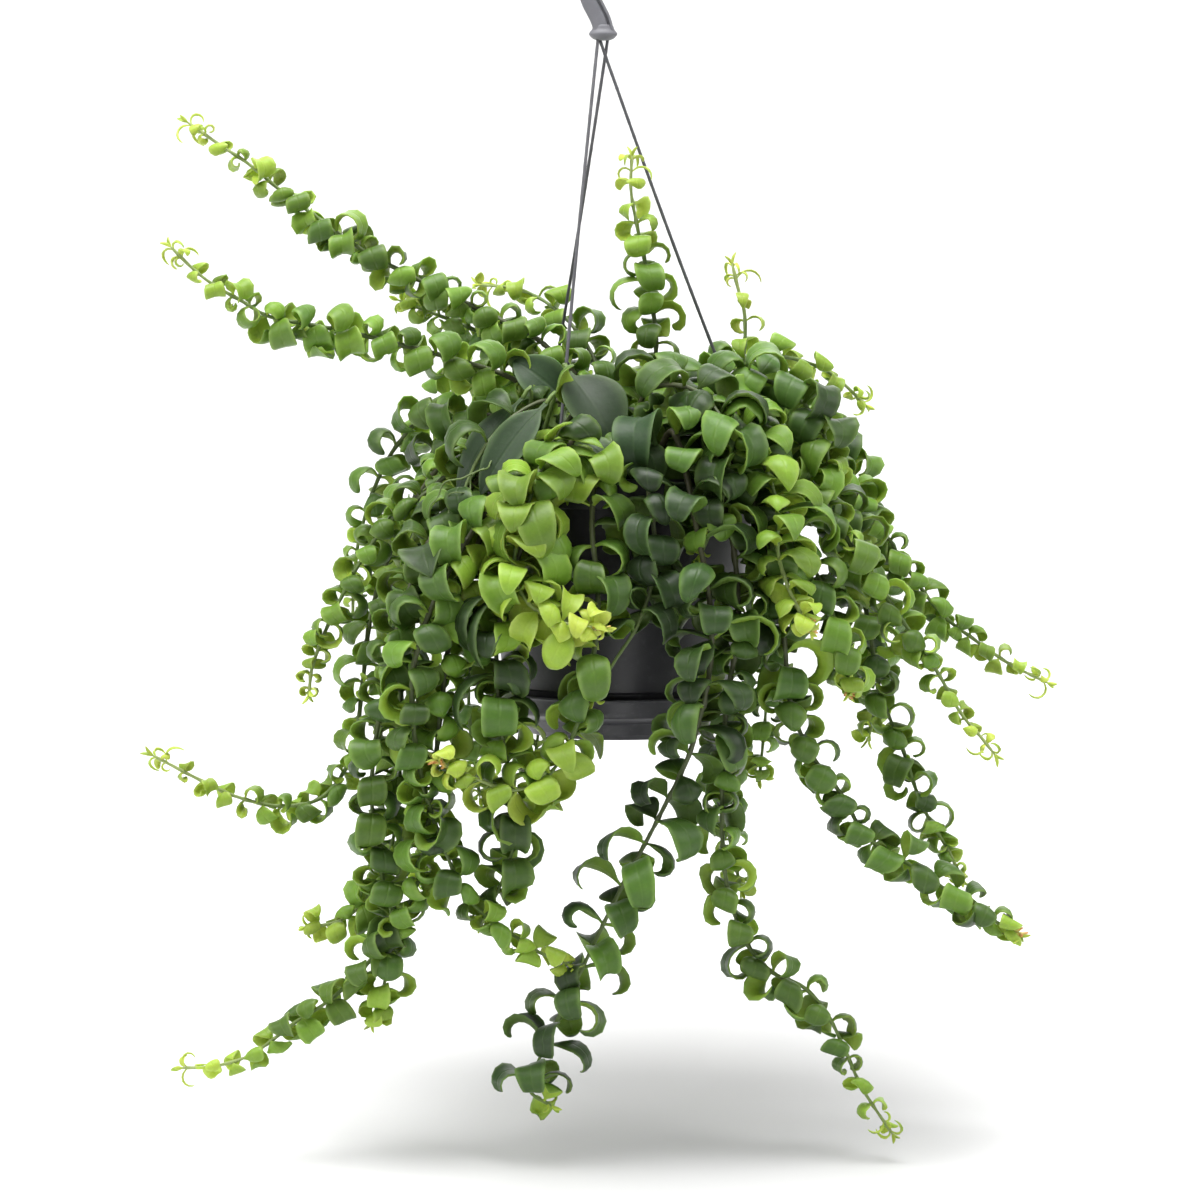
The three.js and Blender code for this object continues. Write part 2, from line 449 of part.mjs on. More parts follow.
    nodes: [
      [24.5,39,[219,11,20.3,13.3,235,-1.3,0.04]],
      [41.7,275,[115,52,18.8,11.8,216,-3.3,-0.52]],
      [59.4,11,[11,43,25.5,14,249,3.3,0.2]],
      [76.3,254],
      [93,13,[13,18,31.3,12.4,262,3.1,0.02]],
      [109.3,257,[44,13,30.9,14.6,234,2.4,0.06]],
      [127.8,72,[72,45,27.8,12.8,262,-2.7,0.03]],
      [145.2,236,[37,15,43.6,15,236,2.5,0]],
      [161.8,42],
      [180,259,[86,16,23.7,12.9,242,-6.6,0.07]],
      [198.1,44,[44,15,26.3,13.9,234,-0.1,-0.51]],
      [214.6,262],
      [235.8,67,[67,18,16.1,11,214,-2.2,-0.19]],
      [258.2,-87],
    ] },
  { name: 'shoot_lime_right', r0: 1.6, r1: 0.8, color: 'young',
    line: [[33.7,-27.6,-293],[33.7,-27.6,-275],[51.2,-43.7,-235],[69.4,-74.2,-249.9],[80.9,-96,-278],[81.7,-104,-304.4],[87.8,-108,-324.8],[98.5,-110,-345.3]],
    nodes: [
      [28.8,185,[185,31,24.4,13.9,160,-0.3,-0.41]],
      [46.1,-3],
      [60.8,163,[163,21,32.2,16.8,170,-5.4,0.42]],
      [78.3,353],
      [93.6,207],
      [110.5,360],
      [125.9,230,[230,12,28.7,15.2,150,4.4,-0.05]],
      [141.8,347,[240,49,26.9,17,187,7.6,-0.08]],
      [159.4,229],
      [174.9,349,[124,32,19.7,15.2,188,-5,-0.23]],
      [191.1,191,[191,42,20.1,15,183,5.6,0.17]],
      [206.3,4],
      [212.5,183,[183,34,12.2,11.3,166,0.4,-0.05]],
    ] },
  { name: 'shoot_right_back', r0: 1.8, r1: 0.8, color: 'mid',
    line: [[45.4,26.3,-293],[45.4,26.3,-275],[65.3,44.8,-227.8],[101.7,54.9,-238.8],[128.2,60,-268.6],[144.1,62,-313],[147.5,60,-357.3],[143.1,58,-396.1],[138.6,56,-418.2]],
    nodes: [
      [24,147,[147,38,31.2,13,221,-7.1,-0.15]],
      [45.1,298,[138,27,25.4,12.7,236,-1.7,0.1]],
      [64.8,161,[161,32,30.4,16,224,-4.8,-0.5]],
      [84.3,325],
      [104.4,163,[163,27,49.4,15.8,262,-5.2,-0.1]],
      [125.8,352,[151,32,33.8,17,262,-5.1,-0.03]],
      [145,192],
      [165.2,325,[136,15,41.4,14.6,210,3.5,0.1]],
      [187.1,140],
      [208.3,338,[139,3,41.4,14.7,262,6.1,-0.19]],
      [228.4,174,[174,35,30.8,15.8,253,1.6,-0.11]],
      [248.2,351],
      [267.2,144,[144,12,26.2,13.3,208,6.9,0.48]],
      [284.9,356,[173,44,21.4,12.7,234,0.6,-0.48]],
      [301.4,182,[182,43,18.1,11,249,-2.9,-0.12]],
    ] },
  { name: 'shoot_right_mid', r0: 1.6, r1: 0.8, color: 'mid',
    line: [[46.6,-29.6,-293],[46.6,-29.6,-275],[61.9,-59,-247.9],[88.9,-80,-289.2],[108.6,-84,-330.6],[118.2,-82,-362.1],[119.5,-80,-380.1]],
    nodes: [
      [25.9,142],
      [44.4,6],
      [83,347,[347,28,35.1,15.8,219,-0.9,-0.1]],
      [104.3,181],
      [125.8,331,[331,26,37.8,15.9,212,4,0.14]],
      [144.5,184,[346,8,35.8,15.8,199,3.3,-0.46]],
      [165.1,313,[313,20,31.7,15.5,236,6.5,0.1]],
      [185.4,157,[345,40,28.9,12.9,241,-0.5,0.23]],
      [203.9,340],
      [211.8,151],
    ] },
  { name: 'shoot_crown_right', r0: 1.6, r1: 0.8, color: 'old',
    line: [[36,-10,-293],[36,-10,-275],[43.3,-24,-228],[66.9,-34,-216.1],[90.3,-44,-223.3],[106.8,-52,-243.2],[110.9,-56,-269.3]],
    nodes: [
      [27.4,239],
      [46.9,116,[253,19,21.2,17.7,235,7.6,0.03]],
      [65.3,247,[247,31,31.9,19.2,192,3.6,-0.37]],
      [84.5,67],
      [104.9,283,[283,40,48.2,19.5,193,-0.1,-0.2]],
      [125.2,60,[300,26,34.2,17.5,245,-5.2,0]],
      [144.2,289,[289,20,33.2,18.3,193,-3.6,0.4]],
      [162.5,92,[269,41,27.8,16.7,226,-5.1,-0.17]],
      [175.4,304],
    ] },
  { name: 'shoot_crown_front', r0: 1.6, r1: 0.8, color: 'old',
    line: [[12,-26,-293],[12,-26,-275],[11.2,-40,-230.3],[25.6,-60,-219.3],[45.1,-78,-225.7],[56.2,-92,-247.1],[53,-99.3,-277.8],[41.9,-101.3,-305.9]],
    nodes: [
      [28.8,81],
      [47.7,250,[31,23,23.1,16.1,205,0.2,0.01]],
      [66.5,33],
      [85.6,254],
      [105.3,33,[33,34,44.2,17.4,175,2.3,0.18]],
      [125,280],
      [139.4,324,[324,45,38,17,190,0,-0.25]],
      [145.7,44,[274,34,34.3,19.5,215,1.1,0.07]],
      [163.9,269],
      [183.6,54],
      [201.8,-134],
      [209.3,116],
    ] },
  { name: 'shoot_crown_left', r0: 1.6, r1: 0.8, color: 'old',
    line: [[-29.7,-20.3,-293],[-29.7,-20.3,-275],[-23.2,-41.1,-236.2],[-39.9,-59.6,-227.8],[-64,-77.3,-243.5],[-79.4,-88,-271.1],[-86.5,-96,-303.9]],
    nodes: [
      [28.6,30,[30,44,19.7,14.6,215,-2.4,0.26]],
      [49.8,212,[22,47,19.7,15.3,196,2.5,-0.12]],
      [70.4,32,[212,24,35.2,18.7,188,-1.9,-0.12]],
      [90.9,-127],
      [111.2,64,[64,22,48.7,17.2,201,-2.6,0.42]],
      [132.6,-149],
      [172.7,245,[245,42,22.1,13.1,239,-1.1,0.25]],
    ] },
  { name: 'shoot_back_left_a', r0: 1.8, r1: 0.8, color: 'mid',
    line: [[-55.7,15.4,-293],[-55.7,15.4,-275],[-70,30,-238],[-100,44,-256],[-116,52,-300],[-120,54,-360],[-118,50,-420],[-112,44,-470],[-104,40,-498]],
    nodes: [
      [24.4,11],
      [46.3,211,[39,15,20.4,14.7,229,-5.2,-0.51]],
      [67.8,62,[62,22,40.8,16.4,261,1.3,0.12]],
      [90.3,252],
      [113,53,[53,35,39.9,16.4,221,7.4,-0.21]],
      [135.2,241,[88,7,39.2,15.9,230,-2.3,-0.01]],
      [158.3,57,[57,10,45,16,214,-6.6,0.51]],
      [180.3,268,[98,9,35.4,16,243,7.6,-0.04]],
      [201.4,58],
      [224.4,279,[51,36,32.8,16,212,7.3,0.02]],
      [248.3,74,[74,12,25.2,15.9,239,-6.1,0.13]],
      [271.1,239],
      [291.4,70,[70,35,27,15,255,-0.9,0.1]],
      [311.4,267,[82,27,27.6,13.8,232,5,0.16]],
      [331.3,79,[79,38,24,10.7,262,3.8,0.02]],
      [344.7,254],
    ] },
  { name: 'shoot_back_left_b', r0: 1.8, r1: 0.8, color: 'old',
    line: [[-36,36,-293],[-36,36,-275],[-46,56,-234],[-68,86,-248],[-80,104,-292],[-84,110,-350],[-84,108,-410],[-78,104,-456]],
    nodes: [
      [27.5,224,[224,21,26.5,15.6,222,4.2,-0.19]],
      [50,44,[222,8,36.2,16.4,230,-5.1,0.09]],
      [71.6,192,[192,50,29,16.2,238,1.7,0.23]],
      [93.5,64],
      [116.6,251,[251,10,31.4,16.4,224,6.6,0.23]],
      [139.1,65,[250,7,49.1,15.5,230,2.3,-0.13]],
      [161.2,252],
      [182.6,50,[262,39,33.2,16.4,262,-2.9,0.13]],
      [205.9,228],
      [228,70,[225,26,34.1,16.3,205,-1,-0.16]],
      [249.9,254,[254,10,21.8,14,227,-2.7,-0.22]],
      [271.8,44],
      [292.5,225,[225,36,21.5,13.4,220,0.3,0.17]],
      [310.7,81,[225,39,16.6,11.6,227,0,-0.5]],
      [319.5,283,[283,55,14,9,262,-2.5,-0.04]],
    ] },
  { name: 'shoot_back_left_c', r0: 1.6, r1: 0.8, color: 'mid',
    line: [[-50,28,-293],[-50,28,-275],[-66,58,-224],[-98,84,-232],[-128,98,-262],[-146,104,-310],[-150,100,-360]],
    nodes: [
      [25.1,182],
      [45.6,20,[253,36,21.4,12.6,224,2.7,0.18]],
      [65.6,224],
      [88.5,59],
      [108.5,227,[227,40,36.8,14.9,262,7.5,0.55]],
      [130.3,49,[266,32,36.8,15.8,212,0.4,-0.15]],
      [151,198,[198,8,23.6,15.2,236,5,-0.23]],
      [172.8,59,[237,28,25.4,14.8,262,-6.6,-0.02]],
      [194.1,227],
      [216.4,46,[227,32,22.3,13,219,-4.7,-0.02]],
      [240.4,234,[234,14,15.1,9.5,220,3.2,-0.2]],
    ] },
  { name: 'shoot_back_center_a', r0: 1.8, r1: 0.8, color: 'old',
    line: [[-16,46,-293],[-16,46,-275],[-22,66,-234],[-34,96,-250],[-42,114,-296],[-44,120,-350],[-44,118,-404],[-48,112,-446]],
    nodes: [
      [28.3,188,[188,32,26.5,13.5,202,7.3,0.56]],
      [49.3,317,[185,27,27.3,13.7,244,0.5,0.03]],
      [70.6,172,[172,38,36,15.2,223,-2.3,0.19]],
      [92.9,1],
      [115.7,180,[180,22,42.3,15.7,216,-3.8,0.05]],
      [138.3,335,[118,6,26.2,17.7,199,1.2,0.05]],
      [158.9,174,[174,41,40.6,17.1,222,-7.3,0.04]],
      [180.7,328,[180,14,33.8,15.2,206,4.9,-0.03]],
      [200.8,178],
      [223.4,2,[173,11,28.9,14.9,215,5.1,0.02]],
      [243.7,152,[152,13,29.2,14.4,218,-0.3,-0.08]],
      [266.4,344],
      [286.3,154,[154,36,25.5,12.9,231,-5.2,0.52]],
      [300.1,333,[159,38,15.6,10.5,249,-1.3,-0.1]],
    ] },
  { name: 'shoot_back_center_b', r0: 1.6, r1: 0.8, color: 'young',
    line: [[6,50,-293],[6,50,-275],[8,72,-236],[6,100,-250],[4,116,-294],[2,122,-340],[4,120,-384]],
    nodes: [
      [26.1,5,[5,24,25.9,15.9,231,-5.8,-0.24]],
      [46.2,182,[348,26,25.2,13.9,210,-0.2,0.2]],
      [65.2,357,[357,17,34.1,17,232,-0.4,0]],
      [84.8,191],
      [103.9,15,[15,12,35.8,17.6,213,-1.5,0.22]],
      [123.4,194,[20,25,32.8,17.1,195,0.8,0]],
      [142.3,6,[6,25,37.4,17.2,238,-6.9,-0.03]],
      [161.4,202,[15,21,34.7,15.5,216,2.5,0.01]],
      [179.9,1],
      [200.6,183,[14,15,30.9,13.4,223,6.3,0.04]],
      [218,15,[15,40,18.4,12.3,202,4.8,0.02]],
      [231.6,168],
    ] },
  { name: 'shoot_back_center_c', r0: 1.8, r1: 0.8, color: 'old',
    line: [[22,44,-293],[22,44,-275],[30,66,-236],[42,92,-250],[52,110,-296],[56,118,-354],[58,116,-414],[62,108,-470],[70,102,-508]],
    nodes: [
      [27.1,340,[340,28,26.9,14.1,251,-5.4,-0.16]],
      [47.9,151,[314,21,33.2,14.3,236,5,-0.04]],
      [69.2,29,[29,33,28.1,16.8,259,5.8,-0.23]],
      [90.7,155],
      [111.5,349,[349,26,38.2,14.9,225,1.3,-0.43]],
      [132,188,[356,25,35.2,18.1,257,3.8,0.25]],
      [153.9,359,[359,17,38.5,15.7,257,3.4,0.17]],
      [177.5,178,[350,34,29.1,16.6,217,-4.5,-0.06]],
      [199.9,353],
      [221.1,167,[359,17,29.1,13.9,230,-7.3,-0.44]],
      [243.2,333,[333,29,27.8,13.3,262,-3.5,0.11]],
      [263,148],
      [284.4,317,[317,11,20.3,13.9,214,4.2,0.11]],
      [305.6,153,[5,17,23.6,14.9,216,-0.7,-0.24]],
      [326.5,346,[346,25,22.3,13,262,-4.5,0.21]],
      [344.5,156,[329,45,20.1,12.1,229,-2.7,-0.21]],
      [358.6,-9],
    ] },
  { name: 'shoot_back_right_a', r0: 1.6, r1: 0.8, color: 'old',
    line: [[36,38,-293],[36,38,-275],[48,58,-236],[66,80,-250],[80,96,-294],[86,102,-348],[84,100,-400],[80,96,-444]],
    nodes: [
      [24.7,9],
      [44.5,239,[14,20,34.6,13.8,241,0.4,0]],
      [66.1,17,[17,17,26.3,17,262,-5,0.19]],
      [88.4,225],
      [109.7,43,[43,36,34.8,17.5,251,-3.2,-0.02]],
      [130.5,241,[34,33,38.4,17.1,224,-0.4,0.45]],
      [152.6,34,[34,36,36.3,18.1,234,-3.8,0]],
      [172.5,210,[32,8,27.4,15.8,207,-7.6,0.52]],
      [192.9,25],
      [214.7,189,[48,33,26.6,14.6,213,3.7,0.06]],
      [237.1,41,[41,31,26.7,14.2,262,7.7,-0.03]],
      [257.6,256],
      [277.7,73,[73,36,16,11.5,224,4.1,0.01]],
      [292.1,-148],
    ] },
  { name: 'shoot_back_right_b', r0: 1.6, r1: 0.8, color: 'mid',
    line: [[56.6,19.7,-293],[56.6,19.7,-275],[68.5,39,-234.1],[98.9,61.3,-247.7],[124,74,-286],[138,80,-336],[142,78,-380]],
    nodes: [
      [24.8,227],
      [44.9,69,[226,47,24.7,14.4,232,-0.7,-0.17]],
      [66.2,213],
      [87.7,20],
      [108.8,264,[264,29,37.3,15.4,214,-2,-0.03]],
      [130.2,13,[211,21,44.5,15.7,262,-2.3,-0.05]],
      [151.3,258,[258,13,51.5,14.3,243,-3.8,0.55]],
      [172.8,359,[256,31,37.3,13.8,217,0.5,0.42]],
      [194.3,232],
      [217.5,102,[222,35,18.7,11.2,259,2.4,-0.16]],
    ] },
  { name: 'shoot_back_up', r0: 1.6, r1: 0.8, color: 'mid',
    line: [[-2,26,-293],[-2,26,-275],[-6,34,-236],[-14,52,-206],[-30,72,-184],[-52,92,-170],[-78,108,-166]],
    nodes: [
      [26.8,201,[201,20,26.5,13.5,221,-6.5,-0.08]],
      [45.4,7,[206,40,26.8,13.4,233,7.8,-0.02]],
      [65.1,214,[214,9,36.6,13.7,241,-7.2,-0.05]],
      [83.9,332],
      [105.1,210,[210,18,32.4,14.3,210,4,0.15]],
      [127.1,12,[210,33,26.2,13.1,231,-2.1,0.03]],
      [150.8,182,[182,42,21.8,10.5,214,-0.8,-0.48]],
      [177.3,44,[213,35,11.6,9,241,2.5,-0.13]],
    ] },
  { name: 'shoot_back_up_right', r0: 1.6, r1: 0.8, color: 'mid',
    line: [[26,24,-293],[26,24,-275],[36,34,-238],[58,54,-214],[86,76,-206],[116,94,-214],[140,106,-234]],
    nodes: [
      [27.8,293],
      [48.7,130],
      [68.2,263],
      [88.5,89],
      [107.8,324,[324,22,34.3,13.8,217,2.3,0.41]],
      [128.8,110,[319,27,26.8,12.5,262,-1.5,0.16]],
      [152,306,[306,24,25.4,13,240,5.2,-0.04]],
      [176.9,146,[302,29,15.9,9.1,262,-1.5,0.04]],
    ] },
];

// Each single leaf of the crown: its stalk's centre line, the blade's direction and upper face, and its sizes.
const CROWN_LEAVES = [
  { name: 'crown_leaf_left_outer', line: [[-51.7,-37.7,-293],[-51.7,-37.7,-275],[-47.8,-49.5,-252.7],[-46.2,-60.1,-221.7],[-50.8,-62,-226.6]],
    d: [-0.658,-0.275,-0.701], n: [-0.351,-0.711,0.609], length: 60, width: 17, curl: 28, drift: 0, channel: 0.16 },
  { name: 'crown_leaf_left_inner', line: [[-43.1,-47.3,-293],[-43.1,-47.3,-275],[-41.3,-61.3,-252],[-33.6,-77.4,-224.1],[-38,-80,-228.8]],
    d: [-0.64,-0.375,-0.671], n: [-0.164,-0.786,0.596], length: 58, width: 20, curl: 30, drift: 0, channel: 0.14 },
  { name: 'crown_leaf_center', line: [[-6.2,-39,-293],[-6.2,-39,-275],[-16.9,-53.8,-252.8],[-28.1,-62.3,-209.8],[-26.7,-66,-213.5]],
    d: [0.524,-0.658,-0.54], n: [0.026,-0.621,0.783], length: 50, width: 30, curl: 40, drift: 0, channel: 0.22 },
  { name: 'crown_leaf_folded', line: [[18,-37.5,-293],[18,-37.5,-275],[16,-56.6,-249.9],[20.9,-71.7,-258.2],[19.2,-74,-251.9]],
    d: [-0.247,-0.333,0.91], n: [0.233,0.891,0.39], length: 64, width: 21, curl: 215, drift: 4, channel: 0.2 },
  { name: 'crown_leaf_back', line: [[-44.5,-13.3,-293],[-44.5,-13.3,-275],[-37.9,-23.7,-252],[-23.2,-36.4,-233.6],[-28,-38,-228.8]],
    d: [-0.685,-0.23,0.692], n: [0.406,-0.908,0.1], length: 36, width: 22, curl: 40, drift: 0, channel: 0.18 },
];

// ---------------------------------------------------------------- helpers
const V = (x, y, z) => new THREE.Vector3(x, y, z);
const rad = (a) => (a * Math.PI) / 180;

function solid(geometry) {
  const g = geometry.clone();
  g.deleteAttribute('normal');
  g.deleteAttribute('uv');
  const m = mergeVertices(g, 1e-4);
  const mesh = new wasm.Mesh({
    numProp: 3,
    vertProperties: new Float32Array(m.attributes.position.array),
    triVerts: new Uint32Array(m.index.array),
  });
  mesh.merge();
  return new wasm.Manifold(mesh);
}

function geometryOf(manifold) {
  const mesh = manifold.getMesh();
  const g = new THREE.BufferGeometry();
  g.setAttribute('position', new THREE.BufferAttribute(new Float32Array(mesh.vertProperties), 3));
  g.setIndex(new THREE.BufferAttribute(new Uint32Array(mesh.triVerts), 1));
  g.computeVertexNormals();
  return g;
}

// A closed skin through rings of points; a ring of one point is a pointed end.
function loft(rings) {
  const pos = [], idx = [], start = [];
  for (const r of rings) { start.push(pos.length / 3); for (const p of r) pos.push(p.x, p.y, p.z); }
  for (let k = 0; k + 1 < rings.length; k++) {
    const a = start[k], b = start[k + 1], n = rings[k].length, m = rings[k + 1].length;
    for (let i = 0; i < n; i++) {
      const j = (i + 1) % n;
      if (m === 1) idx.push(a + i, a + j, b);
      else if (n > 1) idx.push(a + i, a + j, b + j, a + i, b + j, b + i);
    }
    if (n === 1) for (let i = 0; i < m; i++) idx.push(a, b + ((i + 1) % m), b + i);
  }
  for (let i = 1; i + 1 < rings[0].length; i++) idx.push(start[0], start[0] + i + 1, start[0] + i);
  const last = rings.length - 1;
  if (rings[last].length > 1) for (let i = 1; i + 1 < rings[last].length; i++) idx.push(start[last], start[last] + i, start[last] + i + 1);
  const g = new THREE.BufferGeometry();
  g.setAttribute('position', new THREE.Float32BufferAttribute(pos, 3));
  g.setIndex(idx);
  return g;
}

// A turned shape: profile points are [radius, height] and start and end on the axis or close on themselves.
function turned(profile, segments) {
  const g = new THREE.LatheGeometry(profile.map(([r, z]) => new THREE.Vector2(Math.max(r, 0), z)), segments);
  g.rotateX(Math.PI / 2);
  return g;
}

function solidTurned(profile, segments) {
  let s = solid(turned(profile, segments));
  if (s.volume() < 0) s = solid(flip(turned(profile, segments)));
  return s;
}

function flip(geometry) {
  const g = geometry.index ? geometry.toNonIndexed() : geometry;
  const p = g.attributes.position.array;
  for (let i = 0; i < p.length; i += 9) for (let k = 0; k < 3; k++) { const t = p[i + 3 + k]; p[i + 3 + k] = p[i + 6 + k]; p[i + 6 + k] = t; }
  return g;
}

function rod(x, y, z0, z1, r, sides, r1 = r) {
  const ring = (z, q) => Array.from({ length: sides }, (_, i) => V(x + q * Math.cos((2 * Math.PI * i) / sides), y + q * Math.sin((2 * Math.PI * i) / sides), z));
  return solid(loft([ring(z0, r), ring(z1, r1)]));
}

const root = new THREE.Group();
root.name = 'potted_lipstick_plant';

function add(name, shape, color, roughness, metalness = 0) {
  const mesh = new THREE.Mesh(shape.isBufferGeometry ? shape : geometryOf(shape), new THREE.MeshStandardMaterial({ color, roughness, metalness }));
  mesh.name = name;
  root.add(mesh);
}

// ---------------------------------------------------------------- hanger: hook
// The bar's centre line: over the rail from the free tip, down the left side and in an S to the foot.
const bow = HOOK_INSIDE_R + HOOK_W / 2;
const hookLine = [];
for (let a = -7; a <= 181; a += 15.58) hookLine.push(V(bow * Math.cos(rad(a)), 0, -HOOK_INSIDE_R + bow * Math.sin(rad(a))));
hookLine.push(V(-14.7, 0, -15.2), V(-12.4, 0, -19.8), V(-10.0, 0, -24.6), V(-8.6, 0, -28.8), V(-8.3, 0, -32.5));
const hookPath = new THREE.CatmullRomCurve3(hookLine, false, 'catmullrom', 0.5);
const hw = HOOK_W / 2, ht = HOOK_T / 2, gi = hw - 1.4, go = gi - HOOK_GROOVE, gd = 2.2;
// section: one axis lies front to back, the other across the bar; a groove runs near the inner edge of both faces
const barSection = new THREE.Shape([
  [-ht, -hw + 1], [-ht + 1, -hw], [ht - 1, -hw], [ht, -hw + 1],
  [ht, go], [ht - gd, go], [ht - gd, gi], [ht, gi],
  [ht, hw - 0.6], [ht - 0.6, hw], [-ht + 0.6, hw], [-ht, hw - 0.6],
  [-ht, gi], [-ht + gd, gi], [-ht + gd, go], [-ht, go],
].map(([x, y]) => new THREE.Vector2(x, y)));
let hook = solid(new THREE.ExtrudeGeometry(barSection, { steps: 19, bevelEnabled: false, extrudePath: hookPath }));
const foot = turned([[0, FOOT_Z], [3.6, FOOT_Z], [6.3, FOOT_Z + 1.3], [7.6, FOOT_Z + 3.3], [7.3, FOOT_Z + 4.4], [5.8, FOOT_Z + 6.2], [5.2, FOOT_Z + 8], [0, FOOT_Z + 8]], 16);
foot.scale(1, 0.74, 1);
foot.translate(-8.3, 0, 0);
hook = hook.add(solid(foot));
const strandTops = [V(-9.4, 0.6, FOOT_Z + 2.2), V(-6.2, 1.6, FOOT_Z + 2.2), V(-11.3, -1.9, FOOT_Z + 2.2)];
for (const p of strandTops) hook = hook.subtract(rod(p.x, p.y, FOOT_Z - 2, p.z + GAP, STRAND_R + GAP + 0.3, 8));
add('hanger_hook', hook, COLOUR.hanger, 0.5);

// ---------------------------------------------------------------- hanger: strands and their clips
const circle = (r, n) => new THREE.Shape(Array.from({ length: n }, (_, i) => new THREE.Vector2(r * Math.cos((2 * Math.PI * i) / n), r * Math.sin((2 * Math.PI * i) / n))));
const clipTop = RIM_Z + 3.2;
const bowOut = [-1.6, -1.6, 1.4];   // how far each strand bows outwards at its middle
CLIP_ANGLES.forEach((a, i) => {
  const cx = CLIP_R * Math.cos(rad(a)), cy = CLIP_R * Math.sin(rad(a));
  const top = strandTops[i], end = V(cx, cy, clipTop + GAP + 0.1);
  const pts = [top, V(top.x, top.y, FOOT_Z), V(top.x, top.y, FOOT_Z - 1.5)];
  for (const t of [0.12, 0.3, 0.5, 0.7, 0.88]) {
    const p = V(top.x, top.y, FOOT_Z - 1.5).lerp(end, t);
    const out = bowOut[i] * Math.sin(Math.PI * t);
    pts.push(p.add(V(Math.cos(rad(a)) * out, Math.sin(rad(a)) * out, 0)));
  }
  pts.push(end);
  add(`hanger_strand_${CLIP_NAMES[i]}`, new THREE.ExtrudeGeometry(circle(STRAND_R, 8), { steps: 13, bevelEnabled: false, extrudePath: new THREE.CatmullRomCurve3(pts, false, 'catmullrom', 0.5) }), COLOUR.hanger, 0.5);
  const clip = turned([[0, RIM_Z - 7.6], [1.1, RIM_Z - 7.6], [2.1, RIM_Z - 5.2], [2.1, RIM_Z - 4.6], [1.4, RIM_Z - 4.6], [1.4, RIM_Z + GAP], [2.4, RIM_Z + GAP], [2.4, RIM_Z + 1.6], [1.2, clipTop], [0, clipTop]], 10);
  clip.translate(cx, cy, 0);
  add(`strand_clip_${CLIP_NAMES[i]}`, solid(clip), COLOUR.hanger, 0.5);
});

// ---------------------------------------------------------------- pot
let pot = solidTurned([
  [0, POT_FLOOR_Z], [54.5, POT_FLOOR_Z], [55, POT_FLOOR_Z - 4.1], [58.6, POT_FLOOR_Z - 4.1], [60.6, POT_FLOOR_Z + 3], [74.2, RIM_Z - 4],
  [78, RIM_Z - 2.2], [81.8, RIM_Z - 2.4], [82, RIM_Z - 15.5], [83.5, RIM_Z - 15.5], [RIM_R, RIM_Z - 0.8], [RIM_R - 0.8, RIM_Z],
  [72.4, RIM_Z], [71.6, RIM_Z - 1], [58.6, POT_FLOOR_Z + 3.6], [57, POT_FLOOR_Z + 2], [0, POT_FLOOR_Z + 2],
], 32);
for (const a of CLIP_ANGLES) pot = pot.subtract(rod(CLIP_R * Math.cos(rad(a)), CLIP_R * Math.sin(rad(a)), RIM_Z - 8, RIM_Z + 5, 1.8, 8));
for (let i = 0; i < 4; i++) {
  const a = rad(45 + 90 * i);
  pot = pot.subtract(rod(30 * Math.cos(a), 30 * Math.sin(a), POT_FLOOR_Z - 6, POT_FLOOR_Z + 6, 4, 10));
}
add('pot', pot, COLOUR.pot, 0.45);

// ---------------------------------------------------------------- saucer
const saucer = solidTurned([
  [0, SAUCER_FOOT_Z + 8], [45.5, SAUCER_FOOT_Z + 8], [46.3, SAUCER_FOOT_Z], [48.3, SAUCER_FOOT_Z], [50.2, SAUCER_FOOT_Z + 8.6], [58, SAUCER_FOOT_Z + 10.6],
  [64.6, SAUCER_FOOT_Z + 13], [66.4, SAUCER_FOOT_Z + 22.4], [66, SAUCER_FOOT_Z + 23.2], [64.8, SAUCER_FOOT_Z + 22.8], [63, SAUCER_FOOT_Z + 14.4],
  [57.4, SAUCER_FOOT_Z + 11.7], [49.6, SAUCER_FOOT_Z + 10], [0, SAUCER_FOOT_Z + 9.8],
], 32);
add('saucer', saucer, COLOUR.pot, 0.42);

// ---------------------------------------------------------------- root ball, with a socket round every stem
const potInside = (z) => 58.6 + ((z - (POT_FLOOR_Z + 3.6)) / (RIM_Z - 1 - (POT_FLOOR_Z + 3.6))) * (71.6 - 58.6);
let soil = solidTurned([
  [0, POT_FLOOR_Z + 2 + GAP], [56.2, POT_FLOOR_Z + 2 + GAP], [57.8, POT_FLOOR_Z + 4.2], [potInside(SOIL_Z) - 0.7, SOIL_Z],
  [55, SOIL_Z + 2.2], [25, SOIL_Z + 3.4], [0, SOIL_Z + 3.6],
], 22);

// ---------------------------------------------------------------- shoots and crown leaves
const widthAt = (x) => {
  const y = (x - 0.09) / 0.91;
  if (y <= 0) return 0.13;
  if (y >= 1) return 0;
  return Math.max(0.13 * (1 - 4 * y), Math.pow(Math.sin(Math.PI * Math.pow(y, 0.86)), 0.78));
};
const curlAt = (x) => Math.pow(Math.max(0, (x - 0.1) / 0.9), 1.12);

